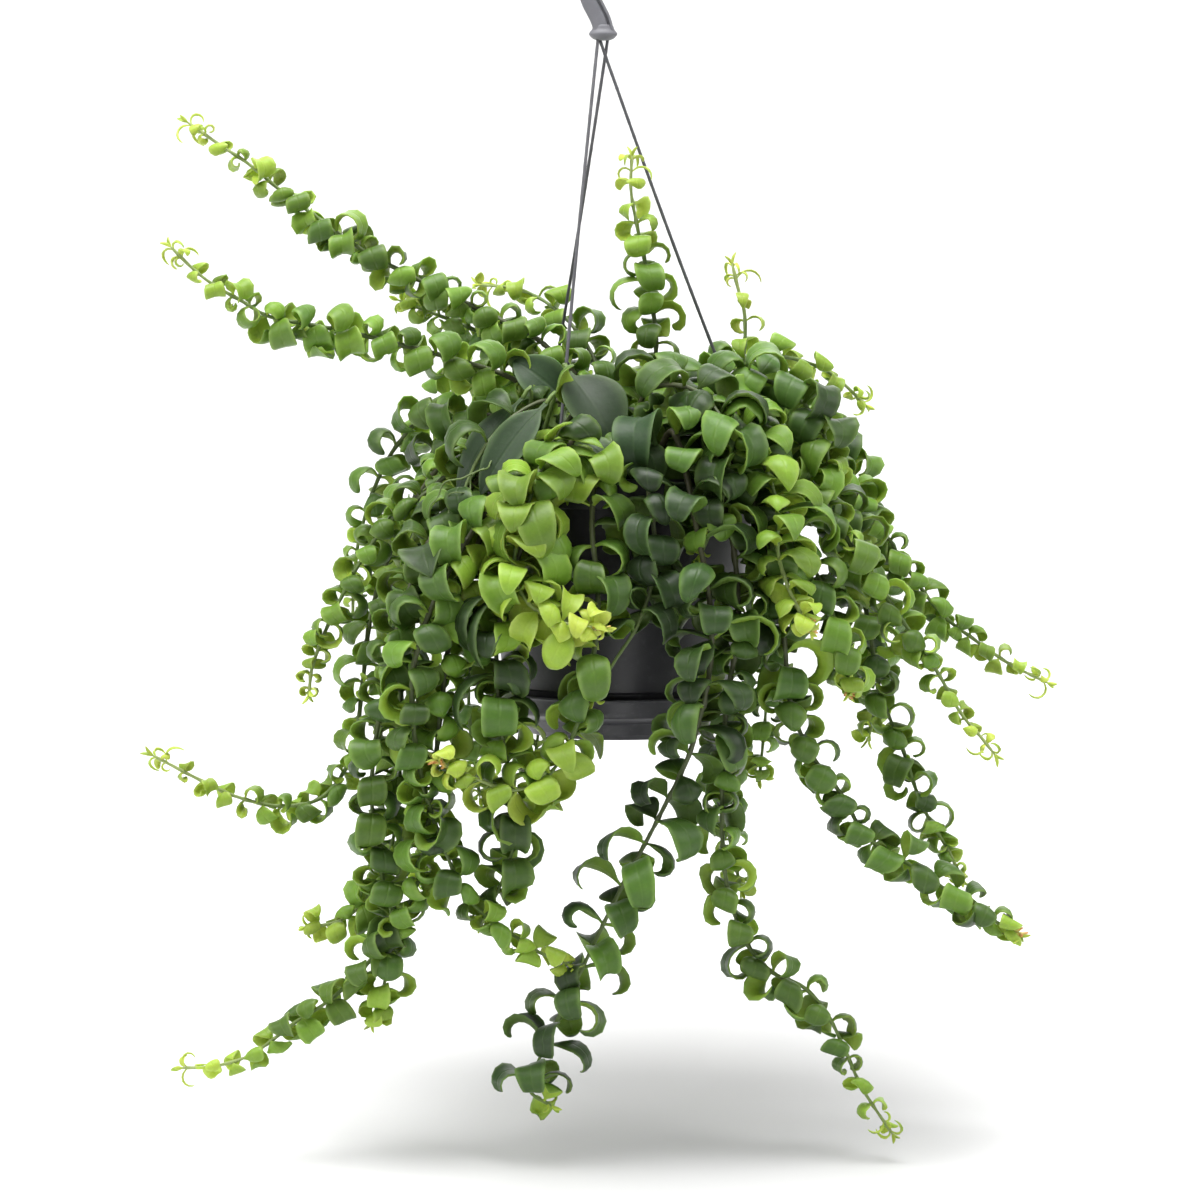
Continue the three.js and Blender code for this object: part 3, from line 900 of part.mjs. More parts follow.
// One leaf: a thick blade that leaves the stem along d with its upper face towards n, and rolls back on itself.
function leafRings(P, d, n, length, width, curl, drift, channel, stations) {
  const b = V(0, 0, 0).crossVectors(d, n), rings = [], M = 48, turn = rad(curl);
  let p = P.clone(), k = 0;
  for (let i = 0; i <= M; i++) {
    const x = i / M;
    if (i > 0) {
      const t = turn * curlAt((i - 0.5) / M);
      p = p.clone().addScaledVector(d, (length / M) * Math.cos(t)).addScaledVector(n, (-length / M) * Math.sin(t));
    }
    while (k < stations.length && stations[k] <= x + 1e-9) {
      const t = turn * curlAt(x);
      const up = n.clone().multiplyScalar(Math.cos(t)).addScaledVector(d, Math.sin(t));
      const c = p.clone().addScaledVector(b, drift * x * x);
      const w = (width / 2) * widthAt(stations[k]);
      if (stations[k] >= 1) rings.push([c]);
      else rings.push([c.clone().addScaledVector(b, w).addScaledVector(up, channel * w * 0.7), c.clone().addScaledVector(up, -LEAF_T), c.clone().addScaledVector(b, -w).addScaledVector(up, channel * w * 0.7)]);
      k++;
    }
  }
  return rings;
}

// A stem as a chain of four-sided rings. At every node two rings stand close together, and a leaf grows out of a
// short face between them. nodes: [distance along the shoot, roll]; single: true where no leaf grows.
function stemOf(curve, total, r0, r1, nodes) {
  const stations = [{ s: 0 }];
  for (const nd of nodes) {
    while (nd.s - NODE_L - stations[stations.length - 1].s > STEM_STEP * 1.35) stations.push({ s: Math.min(stations[stations.length - 1].s + STEM_STEP, nd.s - NODE_L - 4) });
    if (nd.single) stations.push({ s: nd.s, roll: nd.roll });
    else stations.push({ s: nd.s - NODE_L, roll: nd.roll, node: nd }, { s: nd.s + NODE_L, roll: nd.roll });
  }
  while (total - stations[stations.length - 1].s > STEM_STEP * 1.35) stations.push({ s: stations[stations.length - 1].s + STEM_STEP });
  stations.push({ s: total });
  let last = null;
  for (const st of stations) {
    const { P, T, U, S } = frameAt(curve, total, st.s);
    const r = (r0 + ((r1 - r0) * st.s) / total) * Math.SQRT2 * 0.94;
    let a = rad((st.roll ?? 0) + 45);
    const at = (k) => P.clone().addScaledVector(U, r * Math.cos(a + (k * Math.PI) / 2)).addScaledVector(S, r * Math.sin(a + (k * Math.PI) / 2));
    if (last) {   // least twist from the ring before
      const w = (t) => { a = rad((st.roll ?? 0) + 45) + t; return at(0).sub(P).normalize().dot(last); };
      if (st.roll === undefined) { let best = 0, bw = -2; for (let t = 0; t < 2 * Math.PI; t += 0.1) if (w(t) > bw) { bw = w(t); best = t; } a = rad(45) + best; }
      else { let best = 0, bw = -2; for (let q = 0; q < 4; q++) if (w((q * Math.PI) / 2) > bw) { bw = w((q * Math.PI) / 2); best = (q * Math.PI) / 2; } a = rad(st.roll + 45) + best; }
    }
    st.ring = [0, 1, 2, 3].map(at);
    st.P = P;
    last = st.ring[0].clone().sub(P).normalize();
  }
  return stations;
}

// The curve's point and direction, and two axes across it: U away from the pot and up, S beside it.
function frameAt(curve, total, s) {
  const u = Math.min(1, Math.max(0, s / total));
  const T = curve.getTangentAt(u).normalize(), P = curve.getPointAt(u);
  const h = Math.hypot(P.x, P.y) || 1;
  const ref = V((0.8 * P.x) / h, (0.8 * P.y) / h, 0.6);
  const U = ref.addScaledVector(T, -ref.dot(T)).normalize(), S = V(0, 0, 0).crossVectors(T, U);
  return { P, T, U, S };
}

// Triangles between two rings of any count, the second one further along: both rings are walked at an even pace,
// from the pair of starting points that gives the shortest cross edges.
function zip(a, b, out) {
  const n = a.length, m = b.length;
  if (m === 1) { for (let i = 0; i < n; i++) out.push(a[i], a[(i + 1) % n], b[0]); return; }
  let best = null, least = Infinity;
  for (let p = 0; p < n; p++) for (let q = 0; q < m; q++) {
    const tris = [];
    let i = 0, j = 0, sum = 0;
    while (i < n || j < m) {
      const A = a[(p + i) % n], A1 = a[(p + i + 1) % n], B = b[(q + j) % m], B1 = b[(q + j + 1) % m];
      if (j >= m || (i < n && (i + 0.5) / n <= (j + 0.5) / m)) { tris.push(A, A1, B); sum += A1.distanceTo(B); i++; }
      else { tris.push(A, B1, B); sum += A.distanceTo(B1); j++; }
    }
    if (sum < least - 1e-9) { least = sum; best = tris; }
  }
  out.push(...best);
}

function shapeOf(points) {
  const g = new THREE.BufferGeometry();
  g.setAttribute('position', new THREE.Float32BufferAttribute(points.flatMap((p) => [p.x, p.y, p.z]), 3));
  const m = mergeVertices(g, 1e-4);
  m.computeVertexNormals();
  return m;
}

// Which of a node's four short faces looks most nearly along a direction.
function faceFor(A, B, dir, taken) {
  let best = -1, bw = -2;
  for (let k = 0; k < 4; k++) {
    if (taken.includes(k)) continue;
    const c = A.ring[k].clone().add(A.ring[(k + 1) % 4]).add(B.ring[k]).add(B.ring[(k + 1) % 4]).multiplyScalar(0.25).sub(A.P.clone().add(B.P).multiplyScalar(0.5)).normalize();
    if (c.dot(dir) > bw) { bw = c.dot(dir); best = k; }
  }
  return best;
}

// The whole shoot as one closed skin: stem, nodes and leaves.
function shootShape(curve, total, stations, leavesOf) {
  const out = [];
  const first = stations[0].ring, end = stations[stations.length - 1].ring;
  out.push(first[0], first[2], first[1], first[0], first[3], first[2]);
  for (let i = 0; i + 1 < stations.length; i++) {
    const A = stations[i], B = stations[i + 1], used = [];
    if (A.node) for (const leaf of leavesOf(A.node)) {
      const { d, n } = leafBase(curve, total, leaf);
      const k = faceFor(A, B, d, used), k1 = (k + 1) % 4;
      used.push(k);
      const quad = [A.ring[k], A.ring[k1], B.ring[k1], B.ring[k]];
      const P = quad[0].clone().add(quad[1]).add(quad[2]).add(quad[3]).multiplyScalar(0.25);
      const rings = leafRings(P, d, n, leaf.length, leaf.width, leaf.curl, leaf.drift, leaf.channel, leaf.length < SMALL_LEAF ? SMALL_STATIONS : LEAF_STATIONS);
      zip(quad, rings[0], out);
      for (let q = 0; q + 1 < rings.length; q++) zip(rings[q], rings[q + 1], out);
    }
    for (let k = 0; k < 4; k++) {
      if (used.includes(k)) continue;
      const k1 = (k + 1) % 4;
      out.push(A.ring[k], A.ring[k1], B.ring[k1], A.ring[k], B.ring[k1], B.ring[k]);
    }
  }
  out.push(end[0], end[1], end[2], end[0], end[2], end[3]);
  return out;
}

// The room that a stem takes up in the soil, a little wider than the stem and open at the top.
function socketOf(stations) {
  const rings = [];
  for (let i = 0; i < stations.length; i++) {
    const { ring, P } = stations[i];
    rings.push(ring.map((p) => p.clone().sub(P).multiplyScalar(SOCKET).add(P)));
    if (P.z > SOIL_Z + 6.5) break;
  }
  const down = stations[0].P.clone().sub(stations[1].P).normalize().multiplyScalar(GAP + 0.1);
  rings[0].forEach((p) => p.add(down));
  return solid(loft(rings));
}

function leafBase(curve, total, { s, roll, lift }) {
  const { T, U, S } = frameAt(curve, total, s);
  const N = U.multiplyScalar(Math.cos(rad(roll))).addScaledVector(S, Math.sin(rad(roll)));
  const A = V(0, 0, 1).addScaledVector(T, 0.45);
  A.addScaledVector(N, -A.dot(N)).normalize();
  const d = N.clone().multiplyScalar(Math.cos(rad(lift))).addScaledVector(A, Math.sin(rad(lift))).normalize();
  const n = A.addScaledVector(d, -A.dot(d)).normalize();
  return { d, n };
}

const LEAF_STATIONS = [0.24, 0.5, 0.77, 1];
const SMALL_STATIONS = [0.32, 0.68, 1];
const BLADE_STATIONS = [0.16, 0.34, 0.56, 0.8, 1];
for (const { name, line, r0, r1, color, nodes } of SHOOTS) {
  const curve = new THREE.CatmullRomCurve3(line.map((p) => V(...p)), false, 'catmullrom', 0.5);
  curve.arcLengthDivisions = 400;
  const total = curve.getLength();
  const rows = nodes.map(([s, roll, ...leaves]) => ({
    s, roll, single: leaves.length === 0,
    leaves: leaves.map(([turn, lift, length, width, curl, drift, channel]) => ({ s, roll: turn, lift, length, width, curl, drift, channel })),
  }));
  const stations = stemOf(curve, total, r0, r1, rows);
  add(name, shapeOf(shootShape(curve, total, stations, (node) => node.leaves)), COLOUR[color], 0.5);
  soil = soil.subtract(socketOf(stations));
}

for (const { name, line, d, n, length, width, curl, drift, channel } of CROWN_LEAVES) {
  const curve = new THREE.CatmullRomCurve3(line.map((p) => V(...p)), false, 'catmullrom', 0.5);
  const total = curve.getLength();
  const dir = V(...d).normalize(), up = V(...n);
  up.addScaledVector(dir, -up.dot(dir)).normalize();
  const stalk = stemOf(curve, total, 1.3, 1.1, []);
  const out = [], rings = [...stalk.map((st) => st.ring), ...leafRings(stalk[stalk.length - 1].P, dir, up, length, width, curl, drift, channel, BLADE_STATIONS)];
  out.push(rings[0][0], rings[0][2], rings[0][1], rings[0][0], rings[0][3], rings[0][2]);
  for (let i = 0; i + 1 < rings.length; i++) zip(rings[i], rings[i + 1], out);
  add(name, shapeOf(out), COLOUR.old, 0.55);
  soil = soil.subtract(socketOf(stalk));
}

add('root_ball', soil, COLOUR.soil, 0.95);

export default root;
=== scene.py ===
# A trailing lipstick plant with thick, curled leaves in a dark hanging nursery pot. Metres, +Z up, front faces -Y.
import math

import bpy
import numpy as np
from mathutils import Matrix, Vector


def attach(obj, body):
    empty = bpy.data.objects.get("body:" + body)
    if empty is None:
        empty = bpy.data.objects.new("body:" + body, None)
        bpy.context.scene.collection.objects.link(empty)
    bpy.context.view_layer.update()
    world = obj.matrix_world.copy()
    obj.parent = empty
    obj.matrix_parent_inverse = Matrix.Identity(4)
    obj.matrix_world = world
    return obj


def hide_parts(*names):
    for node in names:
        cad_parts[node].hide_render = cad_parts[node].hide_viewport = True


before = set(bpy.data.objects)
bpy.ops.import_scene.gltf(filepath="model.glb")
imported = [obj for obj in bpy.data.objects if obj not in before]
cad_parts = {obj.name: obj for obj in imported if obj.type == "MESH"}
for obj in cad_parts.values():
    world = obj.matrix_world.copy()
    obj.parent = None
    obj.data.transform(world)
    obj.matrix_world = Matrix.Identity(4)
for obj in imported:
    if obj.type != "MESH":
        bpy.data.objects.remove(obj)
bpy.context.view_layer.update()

MM = 0.001
scene = bpy.context.scene

# ------------------------------------------------------------------ camera, from the photograph's viewing angle
CAM = Vector((-0.00999, -2.294397, -0.176039))
AIM = Vector((-0.00999, 0.0, -0.336479))
cam_data = bpy.data.cameras.new("camera")
cam_data.lens = 127.78
cam_data.sensor_width = 36.0
cam_data.clip_start = 0.05
cam_data.clip_end = 60
cam = bpy.data.objects.new("camera", cam_data)
cam.location = CAM
cam.rotation_euler = (AIM - CAM).to_track_quat("-Z", "Y").to_euler()
scene.collection.objects.link(cam)
scene.camera = cam
scene.view_settings.view_transform = "Standard"
scene.view_settings.look = "None"
scene.view_settings.exposure = 0.0
scene.view_settings.gamma = 1.0


# ------------------------------------------------------------------ small helpers
def srgb(h):
    c = [int(h[i:i + 2], 16) / 255 for i in (1, 3, 5)]
    return tuple(x / 12.92 if x <= 0.04045 else ((x + 0.055) / 1.055) ** 2.4 for x in c) + (1.0,)


class Nodes:
    """Short names for the shader nodes used below."""

    def __init__(self, name):
        self.mat = bpy.data.materials.new(name)
        self.mat.use_nodes = True
        self.t = self.mat.node_tree
        self.bsdf = self.t.nodes["Principled BSDF"]
        self.out = self.t.nodes["Material Output"]

    def n(self, kind, **props):
        node = self.t.nodes.new(kind)
        for k, v in props.items():
            setattr(node, k, v)
        return node

    def put(self, socket, value):
        if value is None:
            return
        if isinstance(value, bpy.types.NodeSocket):
            self.t.links.new(value, socket)
        else:
            socket.default_value = value

    def attr(self, name):
        return self.n("ShaderNodeAttribute", attribute_name=name).outputs["Fac"]

    def math(self, op, a, b=None, c=None, clamp=False):
        node = self.n("ShaderNodeMath", operation=op, use_clamp=clamp)
        for i, v in enumerate((a, b, c)):
            self.put(node.inputs[i], v)
        return node.outputs[0]

    def step(self, x, lo, hi, to_lo=0.0, to_hi=1.0):
        node = self.n("ShaderNodeMapRange", interpolation_type="SMOOTHSTEP")
        for k, v in zip(("Value", "From Min", "From Max", "To Min", "To Max"), (x, lo, hi, to_lo, to_hi)):
            self.put(node.inputs[k], v)
        return node.outputs["Result"]

    def ramp(self, fac, stops):
        node = self.n("ShaderNodeValToRGB")
        el = node.color_ramp.elements
        while len(el) < len(stops):
            el.new(0.5)
        for e, (pos, col) in zip(el, stops):
            e.position = pos
            e.color = srgb(col) if isinstance(col, str) else (col, col, col, 1.0)
        self.put(node.inputs["Fac"], fac)
        return node.outputs["Color"]

    def mix(self, fac, a, b, mode="MIX"):
        node = self.n("ShaderNodeMix", data_type="RGBA", blend_type=mode)
        self.put(node.inputs[0], fac)
        self.put(node.inputs[6], srgb(a) if isinstance(a, str) else a)
        self.put(node.inputs[7], srgb(b) if isinstance(b, str) else b)
        return node.outputs[2]

    def noise(self, scale, detail=3.0, rough=0.55, vec=None, distortion=0.0):
        node = self.n("ShaderNodeTexNoise")
        node.inputs["Scale"].default_value = scale
        node.inputs["Detail"].default_value = detail
        node.inputs["Roughness"].default_value = rough
        node.inputs["Distortion"].default_value = distortion
        if vec is None:
            vec = self.coords()
        self.put(node.inputs["Vector"], vec)
        return node.outputs["Fac"]

    def voronoi(self, scale, vec=None, feature="F1"):
        node = self.n("ShaderNodeTexVoronoi", feature=feature)
        node.inputs["Scale"].default_value = scale
        self.put(node.inputs["Vector"], self.coords() if vec is None else vec)
        return node.outputs["Distance"]

    def coords(self):
        if not hasattr(self, "_co"):
            self._co = self.n("ShaderNodeTexCoord").outputs["Object"]
        return self._co

    def bump(self, height, strength, distance, normal=None):
        node = self.n("ShaderNodeBump")
        node.inputs["Strength"].default_value = strength
        node.inputs["Distance"].default_value = distance
        self.put(node.inputs["Height"], height)
        self.put(node.inputs["Normal"], normal)
        return node.outputs["Normal"]

    def done(self, color, rough, normal=None, **consts):
        self.put(self.bsdf.inputs["Base Color"], color)
        self.put(self.bsdf.inputs["Roughness"], rough)
        self.put(self.bsdf.inputs["Normal"], normal)
        for k, v in consts.items():
            self.bsdf.inputs[k.replace("_", " ")].default_value = v
        return self.mat


# ------------------------------------------------------------------ materials
def leaf_material(name, upper, under, edge, gloss=0.37):
    """Waxy, fleshy leaves. Attributes: la age (lowered as painted shade for leaves deep under the crown near the pot),
    ls side, lj distance from the midrib, lx along the leaf, lr per leaf.
    """
    m = Nodes(name)
    age, side, j, x, r = (m.attr(k) for k in ("la", "ls", "lj", "lx", "lr"))
    blotch = m.noise(70, 3, 0.6)
    fine = m.noise(620, 3, 0.6)
    age2 = m.math("ADD", age, m.math("MULTIPLY", m.math("SUBTRACT", blotch, 0.5), 0.16), clamp=True)
    age3 = m.math("ADD", age2, m.math("MULTIPLY", m.math("SUBTRACT", r, 0.5), 0.16), clamp=True)
    up = m.ramp(age3, upper)
    un = m.ramp(age3, under)
    # the channel's bottom and the leaf's foot are paler, the flanks deeper green
    foot = m.step(x, 0.30, 0.02)
    up = m.mix(m.math("MULTIPLY", foot, 0.35), up, un)
    col = m.mix(m.step(side, 0.25, 0.75), un, up)
    rib = m.math("MULTIPLY", m.step(j, 0.10, 0.0), 0.07)
    col = m.mix(rib, col, m.ramp(age3, edge))
    rim = m.math("MULTIPLY", m.step(j, 0.62, 1.0), 0.42)
    col = m.mix(rim, col, m.ramp(age3, edge))
    value = m.math("ADD", 0.80, m.math("MULTIPLY", r, 0.30))
    value = m.math("MULTIPLY", value, m.math("ADD", 0.86, m.math("MULTIPLY", fine, 0.28)))
    hsv = m.n("ShaderNodeHueSaturation")
    m.put(hsv.inputs["Value"], value)
    m.put(hsv.inputs["Hue"], m.math("ADD", 0.494, m.math("MULTIPLY", r, 0.012)))
    m.put(hsv.inputs["Color"], col)
    rough = m.math("ADD", gloss, m.math("MULTIPLY", blotch, 0.14))
    rough = m.math("ADD", rough, m.math("MULTIPLY", m.step(side, 0.75, 0.25), 0.08))
    groove = m.step(j, 0.13, 0.0, 0.0, -1.0)
    h1 = m.bump(groove, 0.35, 0.0005)
    h2 = m.bump(m.noise(330, 2, 0.5), 0.25, 0.0006, h1)
    h3 = m.bump(fine, 0.12, 0.0003, h2)
    return m.done(hsv.outputs["Color"], rough, h3, Subsurface_Weight=0.10, Subsurface_Scale=0.003,
                  Subsurface_Radius=(0.35, 1.0, 0.12), Specular_IOR_Level=0.31)


LEAF = leaf_material(
    "leaf",
    [(0.0, "#203116"), (0.12, "#30481d"), (0.26, "#476522"), (0.42, "#608128"), (0.60, "#7d9b31"), (0.80, "#97af3b"), (1.0, "#b3c14a")],
    [(0.0, "#4a6526"), (0.18, "#6f8c2b"), (0.34, "#86a231"), (0.50, "#97b039"), (0.75, "#aabd44"), (1.0, "#bec958")],
    [(0.0, "#5f7a40"), (0.3, "#8aa654"), (0.6, "#a6bb5c"), (1.0, "#c6d074")],
)
CROWN = leaf_material(
    "crown_leaf",
    [(0.0, "#1f301a"), (0.5, "#2a4022"), (1.0, "#3a5428")],
    [(0.0, "#3a5426"), (1.0, "#587232")],
    [(0.0, "#4f6640"), (1.0, "#748c50")],
    gloss=0.44,
)


def stem_material():
    m = Nodes("stem")
    a = m.attr("la")
    streak = m.noise(900, 2, 0.5)
    blotch = m.noise(240, 3, 0.6)
    t = m.math("ADD", a, m.math("MULTIPLY", m.math("SUBTRACT", blotch, 0.5), 0.3), clamp=True)
    col = m.ramp(t, [(0.0, "#4a4130"), (0.25, "#4d5632"), (0.6, "#66803a"), (1.0, "#b0be74")])
    col = m.mix(m.math("MULTIPLY", streak, 0.35), col, "#2e3622")
    n = m.bump(blotch, 0.4, 0.0006)
    n = m.bump(streak, 0.2, 0.0003, n)
    return m.done(col, m.math("ADD", 0.42, m.math("MULTIPLY", streak, 0.2)), n)


STEM = stem_material()


def bud_material():
    m = Nodes("bud")
    a = m.attr("lx")
    blotch = m.noise(500, 3, 0.6)
    col = m.ramp(m.math("ADD", a, m.math("MULTIPLY", m.math("SUBTRACT", blotch, 0.5), 0.4), clamp=True),
                 [(0.0, "#c3cc6c"), (0.45, "#d9c877"), (0.8, "#cf9c5c"), (1.0, "#b97848")])
    n = m.bump(blotch, 0.4, 0.0004)
    return m.done(col, m.math("ADD", 0.4, m.math("MULTIPLY", blotch, 0.15)), n, Subsurface_Weight=0.1, Subsurface_Scale=0.002)


BUD = bud_material()


def plastic(name, base, dark, light, rough, grain=1400, scuffs=True):
    """Moulded plastic: fine grain, faint flow marks, pale patches of dust and light scuffs."""
    m = Nodes(name)
    cloud = m.noise(28, 4, 0.6)
    col = m.mix(m.step(cloud, 0.35, 0.7), dark, base)
    dust = m.noise(160, 5, 0.7)
    col = m.mix(m.math("MULTIPLY", m.step(dust, 0.52, 0.78), 0.35), col, light)
    if scuffs:
        st = m.n("ShaderNodeMapping")
        st.inputs["Scale"].default_value = (1.0, 1.0, 9.0)
        m.put(st.inputs["Vector"], m.coords())
        s = m.noise(210, 2, 0.5, vec=st.outputs["Vector"])
        col = m.mix(m.math("MULTIPLY", m.step(s, 0.68, 0.74), 0.25), col, light)
    g = m.noise(grain, 2, 0.5)
    r = m.math("ADD", rough - 0.06, m.math("MULTIPLY", cloud, 0.16))
    n = m.bump(g, 0.18, 0.0002)
    n = m.bump(cloud, 0.15, 0.002, n)
    return m.done(col, r, n)


POT_MAT = plastic("pot_plastic", "#2c2b30", "#252429", "#49484e", 0.40)
SAUCER_MAT = plastic("saucer_plastic", "#47464c", "#3b3a40", "#6b6a70", 0.38)
HOOK_MAT = plastic("hook_plastic", "#6a6a6f", "#606065", "#86868b", 0.45, grain=2200)
STRAND_MAT = plastic("strand_plastic", "#515155", "#434347", "#737377", 0.45, grain=2600)


def soil_material():
    m = Nodes("potting_mix")
    v = m.voronoi(190)
    big = m.noise(75, 5, 0.7)
    fine = m.noise(900, 4, 0.7)
    col = m.ramp(m.math("ADD", m.math("MULTIPLY", big, 0.7), m.math("MULTIPLY", v, 0.9), clamp=True),
                 [(0.0, "#14100c"), (0.35, "#2a1f17"), (0.65, "#453324"), (1.0, "#6d5740")])
    speck = m.step(m.noise(420, 1, 0.5), 0.70, 0.76)
    col = m.mix(speck, col, "#b9b2a4")
    n = m.bump(v, 0.8, 0.003)
    n = m.bump(fine, 0.6, 0.001, n)
    return m.done(col, 0.93, n)


SOIL_MAT = soil_material()

# ------------------------------------------------------------------ mesh making
rng = np.random.default_rng(20240607)


def make(name, verts, faces, mats, face_mat=None, attrs=None, uv=None, smooth=True, node=None, body="root"):
    me = bpy.data.meshes.new(name)
    verts = np.asarray(verts, float) * MM
    if isinstance(faces, np.ndarray):
        nf, k = faces.shape
        me.vertices.add(len(verts))
        me.vertices.foreach_set("co", verts.astype(np.float32).ravel())
        me.loops.add(nf * k)
        me.loops.foreach_set("vertex_index", faces.astype(np.int32).ravel())
        me.polygons.add(nf)
        me.polygons.foreach_set("loop_start", np.arange(0, nf * k, k, dtype=np.int32))
        me.polygons.foreach_set("loop_total", np.full(nf, k, np.int32))
    else:
        counts = np.array([len(f) for f in faces], np.int32)
        me.vertices.add(len(verts))
        me.vertices.foreach_set("co", verts.astype(np.float32).ravel())
        me.loops.add(int(counts.sum()))
        me.loops.foreach_set("vertex_index", np.concatenate([np.asarray(f, np.int32) for f in faces]))
        me.polygons.add(len(faces))
        me.polygons.foreach_set("loop_start", np.concatenate([[0], np.cumsum(counts)[:-1]]).astype(np.int32))
        me.polygons.foreach_set("loop_total", counts)
    for m in mats:
        me.materials.append(m)
    if face_mat is not None:
        me.polygons.foreach_set("material_index", np.asarray(face_mat, np.int32))
    me.update(calc_edges=True)
    me.validate()
    if smooth:
        me.polygons.foreach_set("use_smooth", np.ones(len(me.polygons), bool))
    for k, v in (attrs or {}).items():
        a = me.attributes.new(k, "FLOAT", "POINT")
        a.data.foreach_set("value", np.asarray(v, np.float32).ravel())
    if uv is not None:
        layer = me.uv_layers.new(name="OFBake")
        layer.data.foreach_set("uv", np.asarray(uv, np.float32).ravel())
    ob = bpy.data.objects.new(name, me)
    scene.collection.objects.link(ob)
    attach(ob, body)
    if node:
        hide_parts(*([node] if isinstance(node, str) else node))
    return ob


class Line:
    """A smooth line through points, with distances along it."""

    def __init__(self, pts, div=400):
        self.p = np.array(pts, float)
        self.t = np.linspace(0, 1, div + 1)
        q = self.at(self.t)
        self.d = np.concatenate([[0], np.cumsum(np.linalg.norm(np.diff(q, axis=0), axis=1))])
        self.total = self.d[-1]

    def at(self, t):
        p, n = self.p, len(self.p)
        t = np.clip(np.atleast_1d(np.asarray(t, float)), 0, 1) * (n - 1)
        i = np.minimum(t.astype(int), n - 2)
        w = (t - i)[:, None]
        ext = np.vstack([2 * p[0] - p[1], p, 2 * p[-1] - p[-2]])
        p0, p1, p2, p3 = ext[i], ext[i + 1], ext[i + 2], ext[i + 3]
        m1, m2 = 0.5 * (p2 - p0), 0.5 * (p3 - p1)
        return (2 * p1 - 2 * p2 + m1 + m2) * w ** 3 + (-3 * p1 + 3 * p2 - 2 * m1 - m2) * w ** 2 + m1 * w + p1

    def frame(self, s):
        t = np.interp(s, self.d, self.t)
        P = self.at(t)
        T = unit(self.at(np.minimum(t + 1e-4, 1)) - self.at(np.maximum(t - 1e-4, 0)))
        h = np.hypot(P[:, 0], P[:, 1])
        h[h == 0] = 1
        ref = np.stack([0.8 * P[:, 0] / h, 0.8 * P[:, 1] / h, np.full(len(P), 0.6)], 1)
        U = unit(ref - (ref * T).sum(1)[:, None] * T)
        return P, T, U, np.cross(T, U)


def unit(v):
    return v / np.maximum(np.linalg.norm(v, axis=-1, keepdims=True), 1e-12)


def leaf_base(line, s, roll, lift):
    P, T, U, S = line.frame(s)
    a, l = np.radians(roll)[:, None], np.radians(lift)[:, None]
    N = U * np.cos(a) + S * np.sin(a)
    A = np.array([[0, 0, 1.0]]) + 0.45 * T
    A = unit(A - (A * N).sum(1)[:, None] * N)
    d = unit(N * np.cos(l) + A * np.sin(l))
    n = unit(A - (A * d).sum(1)[:, None] * d)
    return P, T, N, d, n


def width_at(x, where=0.86, blunt=0.78):
    y = (x - 0.09) / 0.91
    yc = np.clip(y, 1e-6, 1)
    w = np.sin(np.pi * yc ** where)
    return np.where(y <= 0, 0.13, np.maximum(0.13 * np.clip(1 - 4 * y, 0, 1), np.clip(w, 0, 1) ** blunt))


def bend(x, power=1.12):
    return np.clip((x - 0.1) / 0.9, 0, 1) ** power


XS = np.array([0.0, 0.06, 0.13, 0.22, 0.31, 0.41, 0.52, 0.63, 0.74, 0.83, 0.91, 0.96, 0.992])
JU = np.array([-1, -0.94, -0.78, -0.45, 0, 0.45, 0.78, 0.94])     # upper face, from one margin to before the other
XS_SMALL = np.array([0.0, 0.08, 0.16, 0.27, 0.39, 0.52, 0.65, 0.78, 0.89, 0.96, 0.992])
JU_SMALL = np.array([-1, -0.90, -0.5, 0, 0.5, 0.90])


